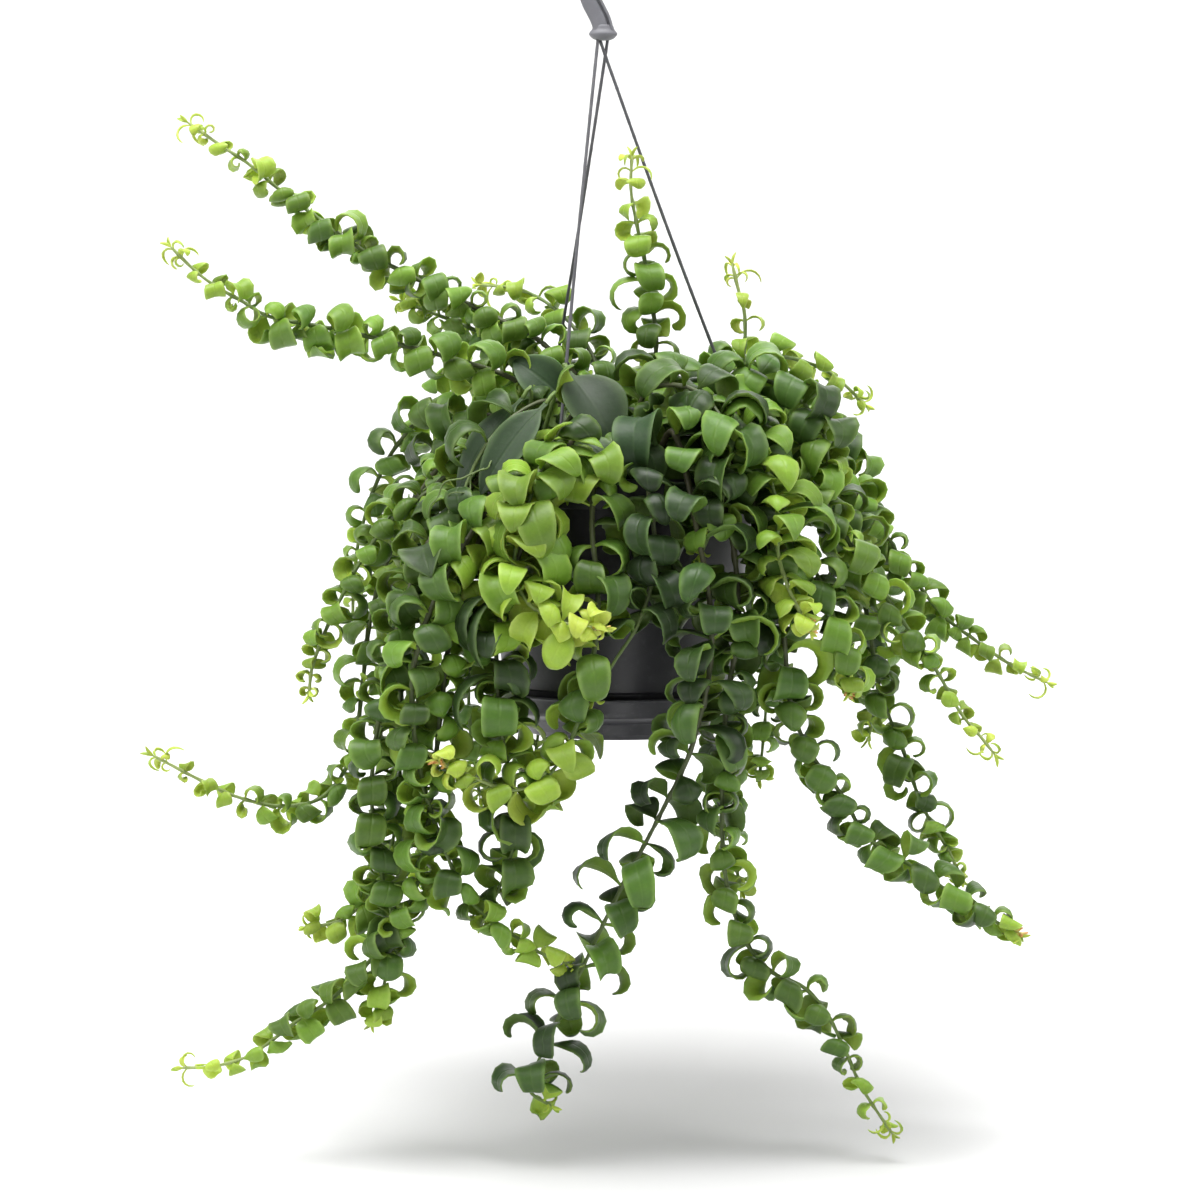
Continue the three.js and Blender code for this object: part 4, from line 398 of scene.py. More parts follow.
def leaves(P, d, n, L, W, curl, drift, V, thick, ripple=None, xs=XS, ju=JU, twist=None, late=None, where=None, blunt=None):
    """Skins of many leaves at once: points (leaf, station, round, 3), and x, |j| and side of every point."""
    L, W, curl, drift, V, thick = (np.asarray(v, float) for v in (L, W, curl, drift, V, thick))
    jl = -ju
    k, M = len(L), 60
    full = lambda v, a: np.full(k, a) if v is None else np.asarray(v, float)
    twist, late, where, blunt = full(twist, 0.0), full(late, 1.12), full(where, 0.86), full(blunt, 0.78)
    b = np.cross(d, n)
    xm = (np.arange(M) + 0.5) / M
    th = np.radians(curl)[:, None] * bend(xm[None], late[:, None])
    step = (L / M)[:, None]
    du = np.concatenate([np.zeros((k, 1)), np.cumsum(step * np.cos(th), 1)], 1)
    dn = np.concatenate([np.zeros((k, 1)), -np.cumsum(step * np.sin(th), 1)], 1)
    g = np.arange(M + 1) / M
    cu = np.stack([np.interp(xs, g, du[i]) for i in range(k)])
    cn = np.stack([np.interp(xs, g, dn[i]) for i in range(k)])
    t = np.radians(curl)[:, None] * bend(xs[None], late[:, None])
    up = n[:, None] * np.cos(t)[..., None] + d[:, None] * np.sin(t)[..., None]
    B = np.broadcast_to(b[:, None], up.shape)
    tw = (np.radians(twist)[:, None] * xs[None] ** 1.4)[..., None]
    B, up = B * np.cos(tw) + up * np.sin(tw), up * np.cos(tw) - B * np.sin(tw)
    c = P[:, None] + d[:, None] * cu[..., None] + n[:, None] * cn[..., None] + b[:, None] * (drift[:, None] * xs[None] ** 2)[..., None]
    w = (W / 2)[:, None] * width_at(xs[None], where[:, None], blunt[:, None])
    T = thick[:, None] * (0.62 + 0.38 * np.sin(np.pi * np.clip(xs, 0, 1) ** 0.8))[None] * np.clip((1.03 - xs) / 0.10, 0.12, 1)[None]
    T = np.maximum(T, 0)
    j = np.concatenate([ju, jl])
    side = np.concatenate([np.ones(len(ju)), np.zeros(len(ju))])
    side[0] = side[len(ju)] = 0.5
    aj = np.abs(j)
    lift_ = V[:, None, None] * w[..., None] * (aj ** 1.9)[None, None]
    if ripple is not None:                                     # margins wave a little along the leaf
        wave = np.sin(xs[None] * ripple[0][:, None] + ripple[1][:, None]) * ripple[2][:, None] * np.sin(np.pi * xs)[None]
        lift_ = lift_ + wave[..., None] * (np.sign(j) * aj ** 2)[None, None] * w[..., None]
    half = 0.5 * T[..., None] * np.sqrt(np.clip(1 - aj ** 3.2, 0, 1))[None, None]
    lens = np.where(side == 1, 1.0, np.where(side == 0, -1.0, 0.0))[None, None]
    z = lift_ + half * lens - half * 0.0
    # below, the leaf is fuller along its middle
    z = z - (side == 0)[None, None] * T[..., None] * 0.30 * np.clip(1 - aj ** 2, 0, 1)[None, None]
    wid = w[..., None] * (j[None, None])
    pts = c[:, :, None] + B[:, :, None] * wid[..., None] + up[:, :, None] * z[..., None]
    X = np.broadcast_to(xs[None, :, None], z.shape)
    J = np.broadcast_to(aj[None, None], z.shape)
    Sd = np.broadcast_to(side[None, None], z.shape)
    return pts, X, J, Sd


def tube_rings(P, T, U, S, r, sides, phase=0.0):
    a = np.linspace(0, 2 * np.pi, sides, endpoint=False) + phase
    return P[:, None] + r[..., None] * (U[:, None] * np.cos(a)[None, :, None] + S[:, None] * np.sin(a)[None, :, None])


def skin_faces(count, rings, around):
    """Quads between rings, and a many-sided cap at each end, for `count` skins of the same build."""
    r, a = np.meshgrid(np.arange(rings - 1), np.arange(around), indexing="ij")
    q = np.stack([r * around + a, r * around + (a + 1) % around, (r + 1) * around + (a + 1) % around, (r + 1) * around + a], -1).reshape(-1, 4)
    base = (np.arange(count) * rings * around)[:, None, None]
    return (q[None] + base).reshape(-1, 4)


class Bag:
    """Collects skins of rings for one piece, with attributes, materials and UV cells."""

    def __init__(self):
        self.v, self.f, self.m, self.uv = [], [], [], []
        self.at = {k: [] for k in ("la", "ls", "lj", "lx", "lr")}
        self.n = 0

    def add(self, pts, mat, cells, la, ls, lj, lx, lr, flip=False):
        """pts (count, rings, around, 3); cells (count, 4) as u0, v0, u1, v1."""
        c, R, A, _ = pts.shape
        q = skin_faces(c, R, A) + self.n
        r, a = np.meshgrid(np.arange(R - 1), np.arange(A), indexing="ij")
        U = np.stack([a, a + 1, a + 1, a], -1).reshape(-1, 4) / A
        Vv = np.stack([r, r, r + 1, r + 1], -1).reshape(-1, 4) / (R - 1)
        cells = np.asarray(cells, float)
        uu = cells[:, None, None, 0] + U[None] * (cells[:, 2] - cells[:, 0])[:, None, None]
        vv = cells[:, None, None, 1] + Vv[None] * (cells[:, 3] - cells[:, 1])[:, None, None]
        uv = np.stack([uu, vv], -1).reshape(-1, 4, 2)
        if flip:
            q, uv = q[:, ::-1], uv[:, ::-1]
        self.f += list(q)
        self.uv.append(uv.reshape(-1, 2))
        self.m.append(np.full(len(q), mat))
        ends = []
        for i in range(c):
            for ring, rev in ((0, True), (R - 1, False)):
                idx = self.n + (i * R + ring) * A + np.arange(A)
                if rev != flip:
                    idx = idx[::-1]
                ends.append(idx)
                cu, cv = (cells[i, 0] + cells[i, 2]) / 2, cells[i, 1] if ring == 0 else cells[i, 3]
                du, dv = (cells[i, 2] - cells[i, 0]) * 0.02, (cells[i, 3] - cells[i, 1]) * 0.01
                ang = np.linspace(0, 2 * np.pi, A, endpoint=False)
                self.uv.append(np.stack([cu + du * np.cos(ang), cv + (dv if ring == 0 else -dv) * (1 + np.sin(ang))], 1))
        self.f += ends
        self.m.append(np.full(len(ends), mat))
        self.v.append(pts.reshape(-1, 3))
        shape = (c, R, A)
        for k, val in zip(("la", "ls", "lj", "lx", "lr"), (la, ls, lj, lx, lr)):
            val = np.asarray(val, float)
            while val.ndim < 3:
                val = val[..., None]
            self.at[k].append(np.broadcast_to(val, shape).reshape(-1))
        self.n += c * R * A

    def piece(self, name, mats, node, slot):
        return make(name, np.concatenate(self.v), self.f, mats, np.concatenate(self.m),
                    {k: np.concatenate(v) for k, v in self.at.items()}, np.concatenate(self.uv), node=node)


def cells_for(count, v0=0.0, v1=1.0, pad=0.06):
    cols = max(1, int(math.ceil(math.sqrt(count))))
    rows = int(math.ceil(count / cols))
    out = []
    for i in range(count):
        c, r = i % cols, i // cols
        w, h = 1 / cols, (v1 - v0) / rows
        out.append((c * w + w * pad, v0 + r * h + h * pad, (c + 1) * w - w * pad, v0 + (r + 1) * h - h * pad))
    return np.array(out)


# ------------------------------------------------------------------ plant tables
# Each shoot: name, radius at the root and the tip, age colour at the root and the tip, habit, the line's points in
# millimetres, and its leaves as [distance along, roll, rise, length, width, curl, drift, channel, age], flattened.
SHOOTS = [
    ('shoot_upper_left_a', 1.8, 0.8, 0.44, 1, 0, [(-22,8,-293),(-22,8,-275),(-19.7,0,-224.3),(-39.6,4,-199.1),(-63.9,8,-185.6),(-96.4,12,-169.5),(-129,16,-153.3),(-150.8,20,-139.8),(-167.1,22,-127.3),(-183.4,24,-115.4),(-199.6,24,-101.9),(-215.8,24,-91.1),(-233.6,24,-78.7)],
    [24.5,358,35,25.9,13.3,287,6.9,0.1,0, 24.5,225,29,29.3,15.8,252,-7,0.12,0, 33.7,114,27,29.3,14.6,305,6.7,0.08,0, 33.7,285,44,29.7,14.9,308,4.2,-0.02,0,
     43,186,42,32.2,13.8,255,-2.6,-0.36,0, 43,0,39,31,15.6,289,-6.1,-0.13,0, 52.1,259,31,32.5,15.4,267,-1.1,-0.5,0, 52.1,109,34,26.9,15.5,251,6.1,-0.18,0,
     61,14,35,25.6,14.2,298,3.5,0.13,0, 61,178,37,27.4,13.4,287,0.3,-0.13,0, 70.3,122,38,19.8,14.3,250,-5.1,-0.14,0, 70.3,279,41,28,13.8,281,4.6,-0.2,0,
     78.5,149,24,20.3,14.6,330,-7.1,-0.38,0, 78.5,52,18,32.3,13.1,251,6.2,-0.05,0, 87.5,314,26,29.3,14.9,292,3.9,-0.15,0, 87.5,125,38,25.7,13.2,290,-2.4,0.2,0,
     96,28,23,32.6,13.9,303,7.1,0.04,0, 96,206,38,24.7,13.5,321,-7.1,0.18,0, 105.6,110,31,28.4,15.3,244,7.8,-0.23,0, 105.6,266,41,23.1,13.6,294,-7.4,0.03,0,
     113.7,166,47,23.6,15.5,326,-2.4,0.11,0, 113.7,343,26,26.7,13.3,274,4.1,-0.07,0, 121.5,305,28,25.1,14.2,261,7.7,0.15,0, 121.5,116,46,28,15.9,249,-5.8,0.55,0,
     130.7,32,25,31,14.8,252,-3.2,-0.36,0, 130.7,219,33,29.8,14.8,250,4.7,0.12,0, 139.8,99,24,32,15.5,277,-2.1,-0.08,0, 139.8,278,32,28.8,13.7,283,3.3,-0.22,0,
     148.4,206,10,26.8,14.5,311,5,-0.48,0, 148.4,5,32,28.7,15.1,332,-2.8,-0.02,0, 156.4,302,30,26,15.5,261,4.1,-0.02,0, 156.4,133,38,30.9,14.6,301,-3.5,-0.22,0,
     165,4,32,25.4,13.2,279,-7.9,-0.03,0, 165,250,49,24.9,15.9,252,7.3,-0.07,0, 172.6,108,36,26,14.4,300,-2.1,0.18,0, 172.6,298,31,31.5,13.6,246,0.7,-0.03,0,
     181.4,197,43,25.4,13.1,289,-0.5,-0.03,0, 181.4,29,39,27.6,15.8,327,-5.5,0.15,0, 190,280,27,24.8,15.9,282,7.2,-0.2,0, 190,98,41,31.3,15.3,247,-7.5,-0.21,0,
     198.3,8,38,21.4,15.5,246,6,0.18,0, 198.3,157,38,20.6,15.7,255,-5.8,0.17,0, 207.8,102,31,32.7,14.7,324,-7.8,-0.23,0, 207.8,294,39,28.9,15.5,246,-0.7,-0.03,0,
     216.2,197,34,21.3,14.5,318,-6.4,-0.36,0, 216.2,58,35,27.3,14.6,311,-3.7,-0.21,0, 223.8,311,40,28,13.5,304,8,0.45,0, 223.8,104,37,42.4,15.7,247,-6.4,-0.03,0,
     232.8,10,31,39,13.6,257,-1.7,0.14,0, 232.8,158,49,25.3,13.3,267,-5.7,-0.02,0, 241.3,121,18,30.5,14.3,284,7.3,-0.02,0.03, 241.3,307,29,29.5,15.5,259,-1.3,0.12,0.03,
     250.5,175,16,17.7,13.8,274,6,0.49,0.13, 250.5,28,13,29.2,14.6,252,-2,-0.51,0.13, 260,308,23,24.5,13.3,296,2.7,0.02,0.23, 260,59,28,22,12.8,304,-4.9,0.25,0.23,
     268.8,18,41,28.3,12.2,336,-3.5,-0.17,0.32, 268.8,190,36,20.3,12.9,313,5.4,-0.2,0.32, 278.6,93,37,22.4,11.3,281,2.7,-0.18,0.43, 278.6,281,34,24.3,12.7,246,-3.2,-0.24,0.43,
     288.4,206,35,25.8,12.2,275,2.8,0.42,0.53, 288.4,11,39,19.2,12.4,252,0.3,-0.53,0.53, 300,296,35,14.1,10.5,256,-3.9,-0.24,0.65, 300,142,40,14.7,9.8,261,3.6,0.14,0.65,
     310.4,355,29,14.5,10.1,269,-1.7,-0.03,0.76, 310.4,191,47,14.2,10.8,270,-0.3,-0.14,0.76, 321.3,121,64,11.3,6.3,264,1.2,-0.19,0.88, 321.3,304,43,14.1,7.1,291,2.5,0.01,0.88,
     327,202,36,12.3,5.8,184,1.6,-0.04,0.93, 327,20,45,9.4,6.2,190,0.2,-0.13,0.93]),
    ('shoot_upper_left_b', 1.6, 0.8, 0.42, 1, 0, [(-37,-2.6,-293),(-37,-2.6,-275),(-31.3,-22,-234.5),(-55.1,-30,-217.3),(-81.5,-36,-207.6),(-112.9,-42,-199.1),(-144.3,-46,-191.2),(-167.7,-50,-187),(-184.4,-52,-183.3),(-198.9,-54,-174.9),(-213.3,-56,-166.5),(-224.6,-58,-157.2),(-235,-58,-146.7)],
    [27.7,23,41,45.7,13.9,276,4.8,-0.47,0, 27.7,140,44,22.8,15.4,282,5,-0.04,0, 37,51,43,26.6,14.8,287,-1.9,0.16,0, 37,271,18,28.2,14,248,-6.2,0.45,0,
     46.8,142,29,31,14.1,274,-3,-0.19,0, 46.8,297,48,25.1,15.2,286,-6.5,0.08,0, 56.3,286,22,35.7,15.3,263,-6.4,0.2,0, 56.3,134,45,24.2,14.8,250,7.5,0.09,0,
     65.8,53,46,22,14.6,268,2.3,-0.41,0, 65.8,164,36,28.8,14.7,288,-2.2,-0.19,0, 75,109,36,29.3,14,274,-0.2,-0.07,0, 75,289,28,35.2,15.1,248,7.1,0.06,0,
     83.9,174,40,35.2,13.5,282,0.6,-0.01,0, 83.9,347,33,27.3,15.3,278,1.7,0.13,0, 93.2,243,37,28.2,15.2,296,1.7,0.21,0, 93.2,72,32,26.4,13.9,272,-1.9,-0.51,0,
     102.1,31,24,32.6,14.8,264,6.5,0.22,0, 102.1,150,35,30.7,13.7,297,6.2,-0.07,0, 112.3,93,34,26.6,14.5,305,-7.8,-0.04,0, 112.3,265,30,30.2,13.8,239,6.7,-0.08,0,
     122.3,171,30,35.2,16,272,4.8,0.54,0, 122.3,348,12,43.1,14.1,237,-2.9,-0.06,0, 130.9,274,17,31.4,14.8,264,-4.9,-0.17,0, 130.9,79,39,27.5,15.1,271,3,0.07,0,
     140.4,337,37,39.8,15.8,266,1.5,-0.15,0, 140.4,207,33,33.6,15.8,278,7.2,0.01,0, 149.4,101,31,33.9,13.1,264,-5.3,0.03,0, 149.4,270,34,29,15.7,239,5.6,0.04,0,
     159.5,200,33,29.2,14.2,244,7.8,-0.45,0, 159.5,358,30,26.1,14,288,1,-0.12,0, 168.3,286,38,29.5,13.2,324,3.6,0.17,0, 168.3,94,40,29.4,13.8,256,3.4,0.12,0,
     177.4,13,44,25.7,14.3,297,5.2,-0.15,0, 177.4,194,20,27.8,14.5,236,8,-0.03,0, 187.5,79,25,45.5,13.5,294,-7.9,0.59,0, 187.5,275,24,29.8,14.6,263,6,0.42,0,
     196.3,211,29,26.3,14.4,311,3.4,0,0, 196.3,342,28,32.6,16,242,8,-0.11,0, 205.2,250,21,25.9,15.1,253,6.9,0.22,0, 205.2,98,7,43.4,14.3,250,-5.8,0.22,0,
     214.3,345,31,29,14.9,266,6.9,-0.13,0.06, 214.3,218,31,23.4,14,278,5.9,-0.08,0.06, 222.8,81,35,25.6,13.4,297,-3.5,0.45,0.16, 222.8,256,35,33.4,14.6,241,6.6,0.11,0.16,
     231.6,154,40,38,14.1,268,-3.7,-0.18,0.26, 231.6,347,43,26.7,12.2,265,-5.1,-0.5,0.26, 242.4,256,32,33.2,13.1,310,-4.5,-0.23,0.39, 242.4,79,36,19.1,11.5,275,-3.2,0.09,0.39,
     252.3,348,35,22.3,11.2,248,1.1,0.51,0.51, 252.3,207,28,17.6,11,265,-2.8,-0.53,0.51, 262.8,75,28,17.3,11.7,289,-3.6,-0.09,0.63, 262.8,309,30,18.4,10.9,293,3,0.26,0.63,
     274.7,188,50,16.8,10.1,275,-2.8,-0.11,0.77, 274.7,357,51,14.4,9.4,240,-2.3,-0.23,0.77, 287.2,298,36,10.6,6.8,153,2.2,0,0.92, 287.2,93,32,9.6,6.9,174,0.5,0.08,0.92]),
    ('shoot_upper_left_c', 1.6, 0.8, 0.3, 0, 0, [(-34,14,-293),(-34,14,-275),(-33.9,18,-226.3),(-53.5,24,-203.1),(-78,28,-191.2),(-102.6,32,-181.4),(-120.1,34,-174.9)],
    [28.1,353,11,30.9,12.7,250,2.9,0.22,0, 28.1,136,22,24.9,15.4,271,4,0.1,0, 37.7,63,45,23.4,14.7,257,7.7,0.06,0, 37.7,304,29,25.7,13.9,249,4.5,0.01,0,
     46,198,25,30.6,13,315,-1.1,-0.51,0, 46,337,44,19.5,14.5,274,6.8,0.04,0, 54.6,259,46,23.7,15.1,306,-5.3,-0.16,0, 54.6,96,16,28.6,13.9,248,6.3,-0.22,0,
     62.2,332,41,26.7,14.8,250,-4.6,-0.1,0, 62.2,183,38,21.6,14.2,293,-4.4,-0.13,0, 71,71,33,28,15.1,240,-3.3,-0.14,0, 71,211,47,21.6,13.8,324,-0.4,-0.47,0,
     78.9,125,39,22.6,14,313,7.3,-0.13,0, 78.9,360,49,19.4,13.2,260,0.8,0.03,0, 86.8,256,37,28.6,13.1,253,-4,-0.23,0, 86.8,94,37,30.7,15.2,298,6.4,0.21,0,
     96.2,5,28,28.9,14.4,276,-7.5,0.46,0, 96.2,179,44,21.3,12.7,284,1,0.07,0, 104.4,61,31,26.3,14.3,280,-2.5,0.54,0, 104.4,299,33,29.7,14.2,281,5.7,0.05,0,
     112,182,34,28.4,13.6,243,5.2,0.15,0, 112,340,32,30.9,13.3,240,4.4,-0.09,0, 120.5,220,40,24.1,14.5,243,4.5,-0.41,0, 120.5,73,42,41.8,15.3,279,4.6,-0.51,0,
     129.7,338,47,24.3,15,270,1.4,0.18,0.06, 129.7,186,3,18.3,13.9,260,4.7,0.49,0.06, 139,65,29,24.7,13.9,255,-6,0.05,0.27, 139,242,25,24.6,11.8,240,-2.8,-0.2,0.27,
     147.7,176,41,21.6,11.1,297,3.2,0.19,0.46, 147.7,351,44,19.1,11,257,2.5,-0.52,0.46, 154.5,280,42,19.6,11.9,255,4,0.4,0.62, 154.5,81,55,18.4,11.8,258,-1.6,-0.06,0.62,
     161.1,7,53,15.4,11.2,246,-1.9,-0.48,0.76, 161.1,190,36,24.2,9.8,264,-2,-0.39,0.76, 164.5,254,67,15.1,9.9,305,2.1,-0.04,0.84, 167.7,129,67,10.9,9.5,275,1.9,0.1,0.91,
     167.7,11,66,17.3,9.9,246,-1.1,0.02,0.91]),
    ('shoot_top_center', 1.6, 0.8, 0.5, 1, 0, [(12,6,-293),(12,6,-275),(19.7,8,-228.8),(19.7,8,-212.6),(20.2,6,-193.7),(17.5,4,-174.9),(14.2,0,-154.5),(9.8,-4,-134.8),(6.6,-5,-116.2),(7.1,-5,-97.5)],
    [28.8,176,30,35.6,13.5,206,2.1,0.47,0, 28.8,352,21,24.7,15.5,203,2.9,-0.21,0, 36.8,274,10,25.7,15.6,233,7.7,0.12,0, 36.8,90,8,30.1,15.6,225,-7.7,-0.11,0,
     44.2,344,33,27.5,15.2,193,-6.1,0.07,0, 44.2,189,33,25.6,14.2,248,2.2,-0.24,0, 53.1,56,40,30.5,14.4,218,-7.5,0.02,0, 53.1,272,26,30.7,13.4,242,-3.2,0.19,0,
     61.9,155,21,32.4,15.3,208,2.8,0.2,0, 61.9,353,9,28.7,14.8,234,7,0.17,0, 70.1,241,17,26.9,15.5,236,1.9,0.23,0, 70.1,69,20,27.1,13.8,248,-3.3,-0.18,0,
     79.2,330,26,28.3,13.4,192,-0.6,0.04,0, 79.2,155,35,30.6,13.9,189,0.2,-0.1,0, 87.6,62,29,25.8,15.7,231,-4.8,-0.11,0, 87.6,263,21,30.2,15.7,244,-1.2,0.04,0,
     95.7,153,32,23.1,13.3,190,-1.9,0.16,0, 95.7,328,16,25.1,14.2,203,-1.3,-0.15,0, 104.1,237,28,29.8,13.1,229,5.1,-0.19,0, 104.1,77,38,22.5,15.1,212,5.4,0.19,0,
     112.1,323,27,28.8,14.5,233,-7.9,0.21,0, 112.1,173,35,28.7,15.8,221,0.4,-0.17,0, 121.2,87,39,28.7,14.8,206,6.9,-0.53,0, 121.2,259,38,24.2,13.1,209,3.4,-0.1,0,
     128.7,177,35,37.6,15,186,6.7,-0.18,0, 128.7,356,29,29.5,15.2,214,-7.5,0.07,0, 136.8,261,29,28.2,15.1,192,-4.7,0.26,0, 136.8,61,38,23.2,13.4,236,-3.6,-0.22,0,
     144.9,349,38,23.2,13.9,187,-2,0.15,0.13, 144.9,162,19,24.1,13.5,203,-5.9,-0.05,0.13, 153.5,74,20,23.1,13,194,-3.2,0.09,0.27, 153.5,267,30,23.1,14.3,196,0,-0.03,0.27,
     162,167,24,20.8,12.8,229,-1.9,-0.11,0.41, 162,355,36,20.9,11,188,4.2,-0.5,0.41, 171.9,257,20,14.6,11.6,207,3.2,0.03,0.57, 171.9,83,21,17,10.2,184,-2.9,0.57,0.57,
     184,333,42,12.3,10.7,219,-2.4,-0.18,0.76, 184,188,45,12.6,10.1,186,-1.4,-0.23,0.76, 196.2,57,43,8.7,6.5,138,-0.9,0.17,0.96, 196.2,229,46,7.9,6.4,147,1.5,0.11,0.96]),
    ('shoot_top_right', 1.6, 0.8, 0.86, 1, 0, [(47.1,-3.1,-293),(47.1,-3.1,-275),(65.2,-6,-224.1),(66.2,-6,-211.3),(67.8,-6,-195.2),(67.2,-5,-180.2),(64,-4,-168.5),(60.8,-4,-155.1)],
    [29.6,96,37,22.3,8,155,0.8,-0.24,0, 29.6,268,25,22.4,9.3,174,-1.5,0.15,0, 38.6,153,34,26.5,8.1,182,-4.4,0.11,0, 38.6,351,18,21.7,9.1,194,-7.7,-0.14,0,
     48.1,239,23,36,8.3,162,6.4,0.19,0, 48.1,108,38,26.5,8.1,152,0.6,-0.17,0, 56.5,334,11,33.8,8.5,149,-2.6,0.02,0, 56.5,185,38,34.4,8,155,6.9,0.04,0,
     64.9,72,11,21,7.8,177,4.8,-0.09,0, 64.9,255,30,22.9,8,185,2.7,-0.16,0, 73.6,159,34,21.8,7.9,152,-8,0.01,0, 73.6,344,17,31,8.7,193,-3.7,0.23,0,
     82,264,21,31.5,8,154,-0.2,-0.48,0, 82,77,11,24.4,8.6,191,2.6,-0.08,0, 90.8,5,29,25.4,9.1,167,-4.7,-0.2,0, 90.8,152,30,20.2,7.9,160,3.4,0.2,0,
     99.6,71,35,18.7,7.7,179,-0.4,-0.01,0.14, 99.6,248,18,18.3,8.6,161,-4.1,0.18,0.14, 110.8,153,23,14.9,7.8,197,5.4,0.12,0.36, 110.8,356,32,17.1,6.8,177,3.8,0.07,0.36,
     121.6,279,47,19.4,6.9,175,0.5,0,0.58, 121.6,87,29,12.6,7.1,144,2.2,-0.23,0.58, 135.3,343,34,11.7,3.6,185,0.6,0.17,0.85, 135.3,155,44,9.2,3.9,143,2,-0.07,0.85]),
    ('shoot_left_outer', 1.6, 0.8, 0.41, 0, 0, [(-57.7,-12.5,-293),(-57.7,-12.5,-275),(-52.5,-30,-241.2),(-76.6,-44,-255),(-98.5,-52,-273.7),(-119.4,-56,-290.4),(-134.1,-58,-309.2),(-145.8,-58,-330.3),(-154.8,-58,-349.3),(-161.7,-58,-368.3),(-163.4,-58,-382.6)],
    [25.1,178,8,20.1,12.5,230,0.9,-0.37,0, 25.1,22,19,20.7,12.3,251,-1.5,-0.17,0, 32.8,283,34,21,11.7,242,-6.2,0.54,0, 32.8,132,42,18.3,10.7,277,4.9,-0.05,0,
     42.5,27,25,17.5,12.3,208,7.9,-0.08,0, 42.5,244,33,18.8,12.1,265,8,0.26,0, 50.2,126,14,26.7,12.2,229,2.5,-0.23,0, 50.2,299,39,34.4,12.9,215,-6.8,-0.23,0,
     58,231,32,29.5,11.6,277,3.2,0.14,0, 58,47,26,28.9,11.7,258,-5.7,0.14,0, 67.2,282,38,27.1,12.6,241,-2.6,-0.1,0, 67.2,177,12,18.6,12.2,279,-2.1,0.09,0,
     75.1,42,37,24,12.7,231,-4.1,0.1,0, 75.1,226,6,18.9,12.4,276,-1.6,0.23,0, 83.5,110,20,23.7,12.1,213,7,0.13,0, 83.5,285,37,22.6,12.3,239,2.7,-0.47,0,
     93.1,206,15,27.2,13.6,265,7.1,-0.1,0, 93.1,44,9,24,13.6,219,3,0.17,0, 102.3,316,35,23.8,13.6,280,-4.5,-0.05,0, 102.3,114,33,26.5,11.7,221,-4.5,0.1,0,
     110.4,17,39,29.4,13,253,1.6,-0.48,0, 110.4,217,35,27.2,11.7,271,0.7,0.57,0, 118.6,102,9,29.9,12.1,284,-4.1,-0.11,0, 118.6,290,19,28.3,12.1,247,4.7,-0.19,0,
     126.7,233,39,29.4,14.1,254,5.7,0.1,0, 126.7,22,23,25.8,12.9,213,-5.6,-0.08,0, 135.2,296,40,24.9,13.5,260,7.8,-0.43,0, 135.2,139,37,24.6,12.1,233,-7.3,-0.21,0,
     144.2,19,32,28.2,11.7,216,-6.1,0.17,0, 144.2,193,28,29.5,12.2,229,4.7,-0.16,0, 151.9,107,33,26.8,13.6,279,4.2,0.48,0, 151.9,319,22,26.4,14.1,232,-4,-0.52,0,
     159.9,215,25,32.2,14.2,232,7.5,-0.51,0, 159.9,38,33,28.1,12.5,284,-2.8,-0.49,0, 168.1,286,38,20.9,10.8,207,0.7,-0.05,0, 168.1,113,37,23,11.9,265,4.7,-0.49,0,
     176,46,31,25.3,12.5,283,-6.1,0.2,0, 176,207,12,22.5,11.7,231,-2.9,0.24,0, 185.3,110,31,22.1,11,214,-4.9,-0.2,0, 185.3,291,32,21.2,11,226,-3.5,-0.18,0,
     193.6,206,36,33,11.6,244,-2.2,-0.45,0.05, 193.6,43,27,19,11.5,246,-1,0.11,0.05, 202.3,312,13,20.3,12.3,215,-5,0.25,0.2, 202.3,98,6,21.3,12.2,226,2.8,-0.21,0.2,
     210.4,1,13,21.6,11.3,228,-3.5,-0.11,0.33, 210.4,202,10,28.2,9.9,247,6.4,0.19,0.33, 218.7,100,25,17.4,9.8,218,2.6,0.17,0.47, 218.7,342,43,18.4,10.1,224,-1.1,0.11,0.47,
     226,181,28,15.3,10.8,211,4.2,-0.12,0.59, 226,49,33,15.9,8.9,208,4,0.15,0.59, 233,329,41,10.7,9.7,206,-0.7,0.01,0.71, 233,112,35,14.2,8.2,256,3.6,-0.21,0.71,
     240.3,44,51,15.2,9.2,265,-3.3,-0.07,0.83, 240.3,202,36,12,9.2,249,-2.1,-0.37,0.83, 247.5,197,34,9.4,8.4,217,3.3,0.08,0.95, 247.5,42,41,10.1,7.9,214,0.2,-0.11,0.95]),
    ('shoot_left_middle', 1.8, 0.8, 0.27, 0, 0, [(-42.9,-27.2,-293),(-42.9,-27.2,-275),(-52.7,-47.4,-251.8),(-81.2,-73,-276.7),(-100.1,-92,-303),(-113.4,-98,-340),(-122.9,-98,-381.5),(-128.3,-96,-423.4),(-126.5,-93,-460.4),(-118.7,-85.3,-497.8),(-123.1,-83.5,-532.7),(-129.5,-82,-552.6)],
    [24.6,161,20,21.4,15.6,268,4.4,0.01,0, 24.6,337,17,23.1,16.9,221,0.9,-0.22,0, 34.2,202,27,24.8,16.4,235,-5.7,-0.42,0, 34.2,58,2,21.7,16,203,-2.7,0.13,0,
     43.9,356,8,23,16.1,252,-0.1,-0.18,0, 52.7,21,36,45.7,16.6,208,4.3,-0.12,0, 52.7,269,11,30,18.6,218,2.1,0.03,0, 71.5,78,25,25.6,17.6,245,-1.9,0.04,0,
